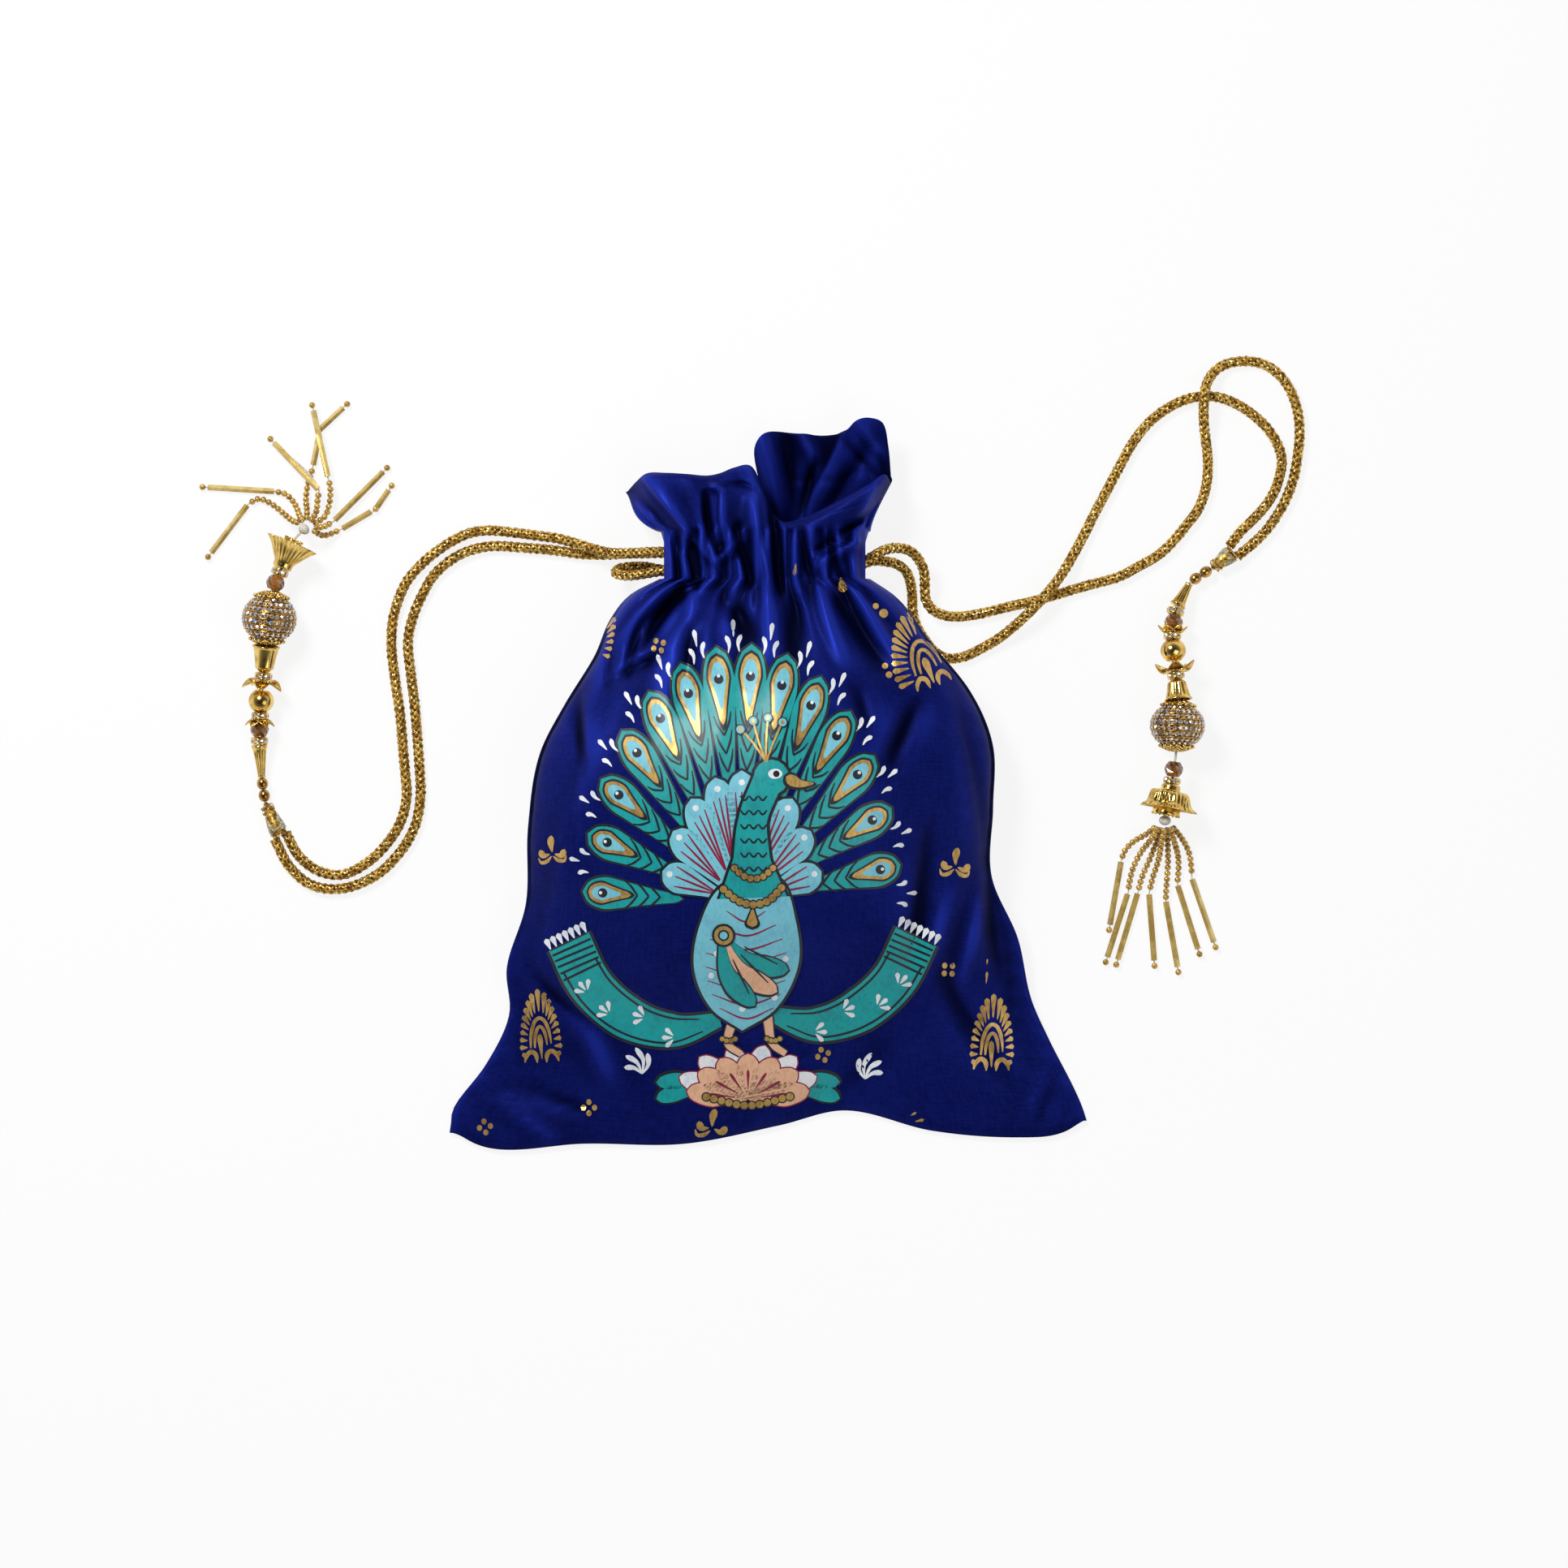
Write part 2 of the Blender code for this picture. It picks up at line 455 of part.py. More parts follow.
def body_ring(height, flat_share=0.7):
    """Ring of the body at a height share: a dome over a flat back, folded and gathered."""
    level = np.array([height])
    crest = through(HEIGHT_KNOTS, CREST_SHARES, level)[0, 0] * BELLY_DEPTH
    side = through(HEIGHT_KNOTS, SIDE_HEIGHTS, level)[0, 0] * MM
    power = through(HEIGHT_KNOTS, DOME_POWERS, level)[0, 0]
    neckness = np.clip((height - 0.82) / 0.18, 0, 1) ** 2
    half_roll = SEAM_ROLL / 2 + neckness * ((NECK_END_FRONT - NECK_END_BACK) / 2 - SEAM_ROLL / 2)
    even = np.linspace(1, -1, ACROSS + 1)
    across = 0.45 * even + 0.55 * np.sin(even * math.pi / 2)
    spots = plan(across, height)
    dome = (1 - np.abs(across) ** (2 + 4 * neckness)) ** power
    below_neck = (1 - height) * (CHANNEL_LOW - BOTTOM_EDGE[0][1] * MM)
    drawn = math.exp(-below_neck / GATHER_REACH)
    inside = dome ** 0.5
    front_height = side + half_roll + (crest - side - half_roll) * dome
    front_height += GATHER_RISE * drawn * gathers(across) - valleys(spots) * inside
    front_height = np.maximum(front_height, side + half_roll * 0.6)
    lift = NECK_BACK * neckness
    rising = np.clip((np.abs(across) - flat_share) / (1 - flat_share), 0, 1) ** 1.5
    back_height = lift + (side - half_roll - lift) * rising - BACK_GATHER_RISE * drawn * neckness * gathers(across)
    front = np.column_stack([spots, front_height])
    back = np.column_stack([spots, back_height])[::-1]
    return ring_from(front, back, SEAM_ROLL / 2 + neckness * (NECK_END_BULGE - SEAM_ROLL / 2))


def neck_ring(y):
    """Ring of the straight neck along the channel."""
    ring = body_ring(1.0)
    ring[:, 1] = y
    return ring


def ruffle_ring(base, share):
    """Ring between the neck and the free edge; it leaves the neck straight and fans out."""
    even = (np.linspace(1, -1, ACROSS + 1) + 1) / 2
    front_rim = np.array(FRONT_RIM)
    back_rim = np.array(BACK_RIM)
    front = through(front_rim[:, 0], front_rim[:, 1:] * MM, even)
    back = through(back_rim[:, 0], back_rim[:, 1:] * MM, even[::-1])
    rim = ring_from(front, back, 0.4 * MM)
    lead = np.array([0, RUFFLE_LEAD, 0])
    rise = np.zeros((len(rim), 3))
    rise[: ACROSS + 1, 2] = -8 * MM
    return hermite(base, lead, rim, (rim - base) * 0.8 + rise, share)


def pouch_rows():
    """All rings of the pouch from the bottom seam to the free edge, and the two slot rows."""
    heights = np.linspace(0, 1, BODY_ROWS + 1)
    rows = [body_ring(height) for height in heights]
    slot_low = len(rows) - 1
    rows.append(neck_ring((CHANNEL_LOW + SLOT_HIGH) / 2))
    rows.append(neck_ring(SLOT_HIGH))
    slot_high = len(rows) - 1
    top = neck_ring(CHANNEL_TOP)
    rows.append(top)
    rows += [ruffle_ring(top, (step + 1) / RUFFLE_ROWS) for step in range(RUFFLE_ROWS)]
    return np.array(rows), slot_low, slot_high


def outward(rows):
    """Unit normals of a grid of closed rings, pointing away from the inside."""
    round_way = np.roll(rows, -1, axis=1) - np.roll(rows, 1, axis=1)
    up_way = np.gradient(rows, axis=0)
    normals = np.cross(up_way, round_way)
    return normals / np.linalg.norm(normals, axis=2, keepdims=True)


def pouch():
    """The sewn pouch: one skin of cloth, closed at the bottom seam, with a slot at each side."""
    rows, slot_low, slot_high = pouch_rows()
    count = rows.shape[1]
    normals = outward(rows)
    inner = rows - normals * CLOTH
    first = 1
    points = np.concatenate([rows.reshape(-1, 3), inner[first:].reshape(-1, 3)])

    def out(row, column):
        return row * count + column % count

    def into(row, column):
        return (len(rows) + row - first) * count + column % count

    sides = {ACROSS, ACROSS + 1, count - 2, count - 1}
    faces = []
    for row in range(len(rows) - 1):
        for column in range(count):
            if slot_low <= row < slot_high and column in sides:
                continue
            faces.append((out(row, column), out(row, column + 1), out(row + 1, column + 1), out(row + 1, column)))
            if row >= first:
                faces.append(
                    (into(row, column), into(row + 1, column), into(row + 1, column + 1), into(row, column + 1))
                )
    top = len(rows) - 1
    for column in range(count):
        faces.append((out(top, column), out(top, column + 1), into(top, column + 1), into(top, column)))
    last_back = count - 2
    for spot, row in ((out, 0), (into, first)):
        for column in range(ACROSS):
            faces.append(
                (spot(row, column), spot(row, column + 1), spot(row, last_back - column - 1), spot(row, last_back - column))
            )
        faces.append((spot(row, ACROSS), spot(row, ACROSS + 1), spot(row, ACROSS + 2)))
        faces.append((spot(row, last_back), spot(row, last_back + 1), spot(row, 0)))
    for start in (ACROSS, count - 2):
        for row in range(slot_low, slot_high):
            for column in (start, start + 2):
                faces.append((out(row, column), out(row + 1, column), into(row + 1, column), into(row, column)))
        for row in (slot_low, slot_high):
            for column in (start, start + 1):
                faces.append((out(row, column), out(row, column + 1), into(row, column + 1), into(row, column)))
    return mesh_object("pouch", points, faces, satin())


# The casing strip inside the neck
def stadium(half_width, low, high, y, corners=12):
    """A flat ring with half-round ends at height y."""
    radius = (high - low) / 2
    turn = np.linspace(-math.pi / 2, math.pi / 2, corners)
    right = np.column_stack([half_width - radius + radius * np.cos(turn), radius * np.sin(turn)])
    left = -right
    around = np.vstack([right, left])
    return np.column_stack([around[:, 0], np.full(len(around), y), around[:, 1] + (low + high) / 2])


def cord_front():
    """Height of the cords in the front channel."""
    return NECK_FRONT - CLOTH - CORD_EASE - CORD_DIAMETER / 2


def cord_back():
    """Height of the cords in the back channel."""
    return NECK_BACK + CLOTH + CORD_EASE + CORD_DIAMETER / 2


def turn_centre():
    """Where the left cord starts its turn inside the right side of the neck."""
    return NECK_WIDTH / 2 - CORD_DIAMETER - CORD_EASE - (cord_front() - cord_back()) / 2


def casing():
    """A strip sewn round the inside of the neck; its hems reach out to the pouch."""
    hem_low = NECK_BACK + CLOTH + SEAT_GAP
    hem_high = NECK_FRONT - CLOTH - SEAT_GAP
    hem_half = NECK_WIDTH / 2 - 1.5 * MM
    low = cord_back() + CORD_DIAMETER / 2 + CORD_EASE
    high = cord_front() - CORD_DIAMETER / 2 - CORD_EASE
    half = turn_centre() + (high - low) / 2 - CASING_END_EASE
    outer = [
        stadium(hem_half, hem_low, hem_high, CASING_LOW),
        stadium(half, low, high, CASING_LOW + CASING_HEM),
        stadium(half, low, high, CASING_HIGH - CASING_HEM),
        stadium(hem_half, hem_low, hem_high, CASING_HIGH),
    ]
    inner = [
        stadium(hem_half - CASING, hem_low + CASING, hem_high - CASING, CASING_LOW - CASING / 2),
        stadium(half - CASING, low + CASING, high - CASING, CASING_LOW + CASING_HEM - CASING / 2),
        stadium(half - CASING, low + CASING, high - CASING, CASING_HIGH - CASING_HEM + CASING / 2),
        stadium(hem_half - CASING, hem_low + CASING, hem_high - CASING, CASING_HIGH + CASING / 2),
    ]
    rows = np.array(outer + inner[::-1])
    count = rows.shape[1]
    faces = []
    for row in range(len(rows)):
        beyond = (row + 1) % len(rows)
        for column in range(count):
            beside = (column + 1) % count
            faces.append((row * count + column, row * count + beside, beyond * count + beside, beyond * count + column))
    return mesh_object("channel_casing", rows.reshape(-1, 3), faces, satin())


# The drawcords
def channel_run(start_x, end_x, row, height):
    """Straight run of a cord in the channel."""
    return [(x, row, height) for x in np.linspace(start_x, end_x, 6)]


def right_turn(row):
    """Half turn of the left cord round the casing's right end."""
    middle, radius = (cord_front() + cord_back()) / 2, (cord_front() - cord_back()) / 2
    centre = turn_centre()
    angles = np.linspace(math.pi / 2, -math.pi / 2, 7)[1:-1]
    return [(centre + radius * math.cos(angle), row, middle + radius * math.sin(angle)) for angle in angles]


def drawcord(name, points):
    """A round cord from end to end on a smooth curve through its points."""
    even = route(points, CORD_POINTS)
    return tube(name, even, [CORD_DIAMETER / 2] * len(even), zari())


def left_drawcord():
    """Both ends in the left tassel; it goes in at the left slot and round the whole neck."""
    inner = turn_centre()
    points = [tuple(np.array(point) * MM) for point in LEFT_UPPER_STRAND]
    points += [(-33.0 * MM, LEFT_CORD_ROW, cord_front() - 0.6 * MM)]
    points += channel_run(-27 * MM, inner, LEFT_CORD_ROW, cord_front())
    points += right_turn(LEFT_CORD_ROW)
    points += channel_run(inner, -27 * MM, LEFT_CORD_ROW, cord_back())
    points += [(-33.0 * MM, LEFT_CORD_ROW, cord_back() + 0.5 * MM)]
    points += [tuple(np.array(point) * MM) for point in LEFT_LOWER_STRAND]
    return drawcord("left_drawcord", points)


def right_drawcord():
    """Both ends in the right tassel; it goes in at the right slot and loops out at the left."""
    inner = turn_centre()
    points = [tuple(np.array(point) * MM) for point in RIGHT_UPPER_STRAND[::-1]]
    points += [(33.5 * MM, 78.6 * MM, cord_front() - 0.7 * MM)]
    points += channel_run(inner, -27 * MM, RIGHT_CORD_ROW, cord_front())
    points += [tuple(np.array(point) * MM) for point in LEFT_SLOT_LOOP]
    points += channel_run(-27 * MM, inner, RIGHT_CORD_ROW, cord_back())
    points += [(33.5 * MM, 78.4 * MM, cord_back() + 1.2 * MM)]
    points += [tuple(np.array(point) * MM) for point in RIGHT_LOWER_STRAND]
    return drawcord("right_drawcord", points)


# The tassels
def rounded(radius, length, waist=0.0, steps=5):
    """Outline of a round bead, flattened where the bore leaves it."""
    ends = math.asin(min(0.95, (BORE + 0.25 * MM) / radius))
    angles = np.linspace(ends, math.pi - ends, steps + 2)
    outline = [(radius * math.sin(angle), length / 2 * math.cos(angle)) for angle in angles]
    stretch = length / 2 / outline[0][1]
    return [(r, z * stretch) for r, z in outline]


def disc(radius, length):
    """Outline of a rondelle with a small bevel."""
    bevel = length * 0.22
    half = length / 2
    return [(radius - bevel, half), (radius, half - bevel), (radius, bevel - half), (radius - bevel, -half)]


class Thread:
    """The thread of a tassel: places and directions by distance along it."""

    def __init__(self, points):
        self.path = route(np.array(points) * MM, 200)
        steps = np.linalg.norm(np.diff(self.path, axis=0), axis=1)
        self.walked = np.concatenate([[0], np.cumsum(steps)])

    def at(self, distance):
        return Vector([np.interp(distance, self.walked, self.path[:, axis]) for axis in range(3)])

    def along(self, start, end):
        return (self.at(end) - self.at(start)).normalized()


def tassel(side, thread_points, whipping_start, fringe):
    """One tassel: its pieces are threaded one after another, a seat gap apart."""
    thread = Thread(thread_points)
    distance = 0.6 * MM
    stations = [thread.at(0)]

    def spot(length):
        entry, leaving = thread.at(distance), thread.at(distance + length)
        stations.extend([entry, leaving])
        return (entry + leaving) / 2, (leaving - entry).normalized()

    def string(name, outline, length, finish, sides=14, bore=BORE):
        nonlocal distance
        place, along = spot(length)
        turned(f"{side}_{name}", outline, place, along, finish, sides, bore)
        distance += length + SEAT_GAP

    whipping_end = thread.at(0)
    start = Vector(whipping_start) * MM
    whip = (whipping_end - start).length
    thick, thin = WHIPPING_RADII
    turned(
        f"{side}_whipping",
        [(thin, whip / 2), (thin * 1.5, whip * 0.42), (thick, whip * 0.1), (thick, -whip / 2)],
        (start + whipping_end) / 2, whipping_end - start, zari(), 10, THREAD_RADIUS + SEAT_GAP,
    )
    string("bead_1", rounded(*SMALL_BEAD, steps=2), SMALL_BEAD[1], gold(), 10)
    string("bead_2", rounded(*SMALL_BEAD, steps=2), SMALL_BEAD[1], gold(), 10)
    cone = CONE_LENGTH[side]
    narrow, broad = CONE_RADII
    distance += BEND_GAP[side]
    string(
        "long_cone",
        [(broad * 0.8, cone / 2), (broad * 1.12, cone * 0.46), (broad, cone * 0.4), (narrow, -cone / 2)],
        cone, gold(), 10,
    )
    distance += BEND_GAP[side]
    string("rondelle_1", disc(*RONDELLE), RONDELLE[1], stones(), 10)
    string("amber_bead_1", rounded(*AMBER_BEAD, steps=3), AMBER_BEAD[1], amber(), 8)
    cap_radius, cap_depth = PETAL_CAP
    place, along = spot(SHEET_METAL)
    petalled(
        f"{side}_petal_cap",
        [(BORE, SHEET_METAL / 2), (cap_radius * 0.65, SHEET_METAL / 2), (cap_radius, -cap_depth),
         (cap_radius * 0.93, -cap_depth - SHEET_METAL * 0.6), (cap_radius * 0.55, -SHEET_METAL / 2),
         (BORE, -SHEET_METAL / 2)],
        6, place, along, gold(), (0, 0.05, 0.16, 0.16, 0.05, 0), 18,
    )
    distance += SHEET_METAL + SEAT_GAP
    string("rondelle_2", disc(*RONDELLE), RONDELLE[1], stones(), 10)
    string("gold_ball", rounded(*GOLD_BALL, steps=4), GOLD_BALL[1], gold(), 12)
    cap_radius, cap_depth = FLOWER_CAP
    place, along = spot(cap_depth)
    petalled(
        f"{side}_flower_cap",
        [(BORE, cap_depth / 2), (cap_radius * 0.36, cap_depth / 2), (cap_radius * 0.6, 0.1 * cap_depth),
         (cap_radius, -0.35 * cap_depth), (cap_radius * 0.97, -0.5 * cap_depth),
         (cap_radius * 0.5, -0.28 * cap_depth), (cap_radius * 0.2, -cap_depth / 2), (BORE, -cap_depth / 2)],
        5, place, along, gold(), (0, 0.05, 0.12, 0.34, 0.34, 0.12, 0.0, 0), 20,
    )
    distance += cap_depth + SEAT_GAP
    string("rondelle_3", disc(*RONDELLE), RONDELLE[1], stones(), 10)
    cup = BELL_CUP_LENGTH[side]
    narrow, broad = BELL_CUP_RADII
    wall = 2 * SHEET_METAL
    string(
        "bell_cup",
        [(broad - wall, cup / 2), (broad, cup / 2), (broad * 0.92, cup * 0.2), (narrow, -cup * 0.3),
         (narrow * 0.85, -cup / 2)],
        cup, gold(), 12,
    )
    ball = STONE_BALL_LENGTH[side]
    capped = ball + 2 * (SHEET_METAL + SEAT_GAP)
    place, along = spot(capped)
    turned(
        f"{side}_stone_ball", rounded(STONE_BALL_RADIUS, ball, steps=7), place, along, stones(), 18
    )
    for name, way in (("lace_cap_1", -1), ("lace_cap_2", 1)):
        lace_cap(f"{side}_{name}", place, along * way, ball / 2)
    distance += capped + SEAT_GAP + FREE_THREAD[side]
    string("amber_bead_2", rounded(*AMBER_BEAD, steps=3), AMBER_BEAD[1], amber(), 8)
    string("rondelle_4", disc(*RONDELLE), RONDELLE[1], stones(), 10)
    distance += SEAT_GAP
    throat_start, bell_end = flower_bell(side, thread, distance)
    distance = throat_start
    tube_radius = MOUTH_TUBE_RADIUS[side]
    tube_length = bell_end - throat_start + MOUTH_TUBE_SHOWS[side]
    mouth_wall = 2 * SHEET_METAL
    bevel = mouth_wall / 2
    string(
        "mouth_tube",
        [(tube_radius - bevel, tube_length / 2), (tube_radius, tube_length / 2 - bevel),
         (tube_radius, bevel - tube_length / 2), (tube_radius - bevel, -tube_length / 2)],
        tube_length, gold(), 12, tube_radius - mouth_wall,
    )
    knot, knot_radii = fringe_knot(stations[-1], fringe)
    radii = [THREAD_RADIUS] * len(stations) + knot_radii
    tube(f"{side}_thread", stations + knot, radii, white_thread(), 1)
    for index, (chain, bugles) in enumerate(fringe):
        strand(f"{side}_fringe_{index + 1}", chain, bugles)


def fringe_knot(end, fringe):
    """The knot that ties the strands to the tassel's thread, just behind their roots."""
    roots = Vector(np.mean([chain[0] for chain, _ in fringe], axis=0)) * MM
    along = (roots - end).normalized()
    middle = roots - along * KNOT_BEHIND
    profile = [(-1.1, THREAD_RADIUS), (-0.6, 0.8 * KNOT_RADIUS), (0, KNOT_RADIUS), (0.6, 0.8 * KNOT_RADIUS),
               (0.9, 0.4 * KNOT_RADIUS)]
    return [middle + along * share * KNOT_HALF for share, _ in profile], [radius for _, radius in profile]


def lace_cap(name, middle, along, reach):
    """A cap of lace metal over one end of the stone ball, following its curve."""
    near = reach + SEAT_GAP
    share = LACE_CAP_RADIUS / STONE_BALL_RADIUS
    skin = []
    for lift in (SHEET_METAL, 0.0):
        rim = (LACE_CAP_RADIUS, near * math.sqrt(1 - (share * 0.97) ** 2) + lift)
        middle_ring = (LACE_CAP_RADIUS * 0.62, near * math.sqrt(1 - (share * 0.6) ** 2) + lift)
        pole = (BORE, near + lift)
        skin.append([rim, middle_ring, pole])
    outline = skin[0][::-1] + skin[1]
    petalled(name, outline, 8, middle, along, gold(), (0, 0, 0.1, 0.1, 0, 0), 16)


def flower_bell(side, thread, distance):
    """The open bell above the fringe, fluted on the left tassel and petalled on the right."""
    length, mouth = FLOWER_BELL_LENGTH[side], FLOWER_BELL_MOUTH[side]
    neck = FLOWER_BELL_NECK
    wall = 2 * SHEET_METAL
    tube_room = MOUTH_TUBE_RADIUS[side] + SEAT_GAP
    throat = max(neck * 1.25, tube_room + wall)
    shoulder = length * (0.45 if side == "left" else 0.3)
    rings = [
        (BORE, 0), (neck, 0), (neck * 1.15, 0.22 * length), (throat, shoulder), (mouth * 0.78, 0.8 * length),
        (mouth, length), (mouth - wall * 0.5, length + wall * 0.6), (mouth * 0.74, 0.8 * length + wall),
        (throat - wall, shoulder + wall), (BORE, shoulder * 0.7),
    ]
    flutes, dip = (12, 0.06) if side == "left" else (5, 0.3)
    dips = (0, 0, 0, 0, dip * 0.6, dip, dip, dip * 0.6, 0, 0)
    petalled(
        f"{side}_flower_bell", rings, flutes, thread.at(distance),
        thread.along(distance, distance + length), gold(), dips, 24 if side == "left" else 20,
    )
    return distance + shoulder + wall, distance + length


def strand(name, chain, bugles):
    """One fringe strand: thread at the root, a chain of seeds, then straight bugles and a seed."""
    chain = np.array(chain) * MM
    ends = np.vstack([chain[-1], np.array(bugles) * MM])
    points = list(route(chain, 2 * len(chain)))
    walked = np.cumsum([0] + [np.linalg.norm(after - before) for before, after in zip(points, points[1:])])
    shares = np.clip(walked / SEEDS_GROW, 0, 1)
    radii = list(FRINGE_THREAD + (SEED_RADIUS - FRINGE_THREAD) * shares)
    for start, end in zip(ends[:-1], ends[1:]):
        for share in (0.06, 0.94):
            points.append(start + (end - start) * share)
            radii.append(BUGLE_RADIUS)
    points.append(ends[-1])
    radii.append(SEED_RADIUS * 1.05)
    last = (ends[-1] - ends[-2]) / np.linalg.norm(ends[-1] - ends[-2])
    points.append(ends[-1] + last * SEED_RADIUS)
    radii.append(SEED_RADIUS * 0.5)
    return tube(name, points, radii, seeds(), 1)


LEFT_WHIPPING_START = (-174.6, -17.9, 3.7)
RIGHT_WHIPPING_START = (168.3, 83.5, 3.7)

pouch()
casing()
left_drawcord()
right_drawcord()
tassel("left", LEFT_THREAD, LEFT_WHIPPING_START, LEFT_FRINGE)
tassel("right", RIGHT_THREAD, RIGHT_WHIPPING_START, RIGHT_FRINGE)
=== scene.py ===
# %% [markdown]
# This lesson dresses a potli: a small drawstring bag of blue satin that lies on its back, with
# two braided gold cords that end in bead tassels. The frame holds the bag's plain solids. Each
# cell below makes the finished piece that stands for one of them, at the same place.

# %% Load the frame
import math

import bmesh
import bpy
import numpy as np
from mathutils.bvhtree import BVHTree
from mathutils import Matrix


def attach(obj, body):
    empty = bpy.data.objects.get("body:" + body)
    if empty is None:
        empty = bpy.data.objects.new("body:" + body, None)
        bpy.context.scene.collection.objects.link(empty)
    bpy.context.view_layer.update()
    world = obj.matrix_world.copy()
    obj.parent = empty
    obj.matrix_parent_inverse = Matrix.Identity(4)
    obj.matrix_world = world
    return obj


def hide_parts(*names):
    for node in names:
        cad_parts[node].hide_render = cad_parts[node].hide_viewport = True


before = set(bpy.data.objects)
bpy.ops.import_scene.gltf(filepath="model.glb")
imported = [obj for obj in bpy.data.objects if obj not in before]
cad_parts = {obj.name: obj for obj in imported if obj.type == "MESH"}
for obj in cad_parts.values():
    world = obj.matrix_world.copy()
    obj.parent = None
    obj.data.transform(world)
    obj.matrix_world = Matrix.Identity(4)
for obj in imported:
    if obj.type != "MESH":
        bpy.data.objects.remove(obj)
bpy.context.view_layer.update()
MM = 0.001
print("nodes in the frame:", len(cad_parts))

# %% [markdown]
# Everything here is a grid of points worked out with numpy. A grid has rows and columns, and it
# may close on itself either way: a tube closes along its columns, a ring along both. One small
# class gathers grids into a mesh, so a piece with hundreds of beads is still one object.

# %% Grids into meshes
SAME_POINT = 0.001 * MM


def grid_faces(rows, columns, wrap_rows=False, wrap_columns=False):
    """Four corners of each cell of a grid, counted row by row."""
    row = np.arange(rows if wrap_rows else rows - 1)[:, None]
    column = np.arange(columns if wrap_columns else columns - 1)[None, :]
    beyond = (row + 1) % rows
    beside = (column + 1) % columns
    corners = [row * columns + column, row * columns + beside,
               beyond * columns + beside, beyond * columns + column]
    return np.stack(np.broadcast_arrays(*corners), axis=-1).reshape(-1, 4)


class Heap:
    """Grids gathered for one mesh, each with the number of its finish."""

    def __init__(self):
        self.points, self.faces, self.finishes, self.soft = [], [], [], []
        self.count = 0

    def add(self, grid, finish=0, soft=True, wrap_rows=False, wrap_columns=True):
        """Adds one grid."""
        self.scatter(grid, np.zeros((1, 3)), np.eye(3)[None], finish, soft, wrap_rows, wrap_columns)

    def scatter(self, grid, places, turns, finish=0, soft=True, wrap_rows=False, wrap_columns=True):
        """Adds a copy of a grid at each place; each point is turned and then moved."""
        rows, columns = grid.shape[:2]
        copies = np.einsum("nij,rcj->nrci", turns, grid) + places[:, None, None, :]
        faces = grid_faces(rows, columns, wrap_rows, wrap_columns)
        starts = self.count + np.arange(len(places)) * rows * columns
        self.points.append(copies.reshape(-1, 3))
        self.faces.append((faces[None] + starts[:, None, None]).reshape(-1, 4))
        self.finishes.append(np.full(len(places) * len(faces), finish))
        self.soft.append(np.full(len(places) * len(faces), soft))
        self.count += len(places) * rows * columns


def face_outwards(mesh, merged):
    """Turns a mesh's faces outwards, after its doubles are merged where they are asked to be."""
    shape = bmesh.new()
    shape.from_mesh(mesh)
    if merged:
        bmesh.ops.remove_doubles(shape, verts=shape.verts, dist=SAME_POINT)
    bmesh.ops.recalc_face_normals(shape, faces=shape.faces)
    shape.to_mesh(mesh)
    shape.free()


def in_scene(name, data):
    """A new object with its data, linked to the scene."""
    made = bpy.data.objects.new(name, data)
    bpy.context.scene.collection.objects.link(made)
    return made


def make(name, heap, finishes, nodes):
    """One object from a heap: its doubles are merged and its faces turned outwards."""
    mesh = bpy.data.meshes.new(name)
    mesh.from_pydata(np.concatenate(heap.points).tolist(), [], np.concatenate(heap.faces).tolist())
    mesh.polygons.foreach_set("material_index", np.concatenate(heap.finishes).astype(np.int32))
    mesh.polygons.foreach_set("use_smooth", np.concatenate(heap.soft).astype(bool))
    face_outwards(mesh, True)
    for finish in finishes:
        mesh.materials.append(finish)
    made = in_scene(name, mesh)
    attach(made, "root")
    if nodes:
        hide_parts(*nodes)
    return made


# %% [markdown]
# Cords, threads and outlines run through listed points. A cubic through the points, with
# the mean of the neighbouring slopes at each, gives a line without kinks. Sampling it at even
# steps makes all that follows easier, because a share of the samples is a share of the length.

# %% Curves
FINE_STEPS = 24


def unit(vectors):
    """Vectors scaled to length one."""
    return vectors / np.linalg.norm(vectors, axis=-1, keepdims=True)


def hermite(start, start_slope, end, end_slope, share):
    """The cubic that leaves start and reaches end with the given slopes."""
    square, cube = share**2, share**3
    leaving = (2 * cube - 3 * square + 1) * start + (cube - 2 * square + share) * start_slope
    return leaving + (3 * square - 2 * cube) * end + (cube - square) * end_slope


def through(knots, values, at):
    """Smooth curve through values at knots, with the mean of the neighbouring slopes at each."""
    knots, values, at = np.asarray(knots, float), np.asarray(values, float), np.asarray(at, float)
    values = values.reshape(len(knots), -1)
    slopes = np.diff(values, axis=0) / np.diff(knots)[:, None]
    bends = np.vstack([slopes[:1], (slopes[:-1] + slopes[1:]) / 2, slopes[-1:]])
    piece = np.clip(np.searchsorted(knots, at, side="right") - 1, 0, len(knots) - 2)
    width = np.diff(knots)[piece][:, None]
    share = (at[:, None] - knots[piece][:, None]) / width
    return hermite(values[piece], bends[piece] * width, values[piece + 1], bends[piece + 1] * width, share)


def route(points, count):
    """Evenly spaced points on the smooth curve through a list of points."""
    points = np.asarray(points, float)
    steps = np.linalg.norm(np.diff(points, axis=0), axis=1)
    knots = np.concatenate([[0], np.cumsum(steps)])
    fine = through(knots, points, np.linspace(0, knots[-1], FINE_STEPS * len(points)))
    walked = run_of(fine)
    even = np.linspace(0, walked[-1], count)
    return np.stack([np.interp(even, walked, fine[:, axis]) for axis in range(points.shape[1])], axis=1)


def run_of(path):
    """Distance walked along a path at each of its points."""
    return np.concatenate([[0], np.cumsum(np.linalg.norm(np.diff(path, axis=0), axis=1))])


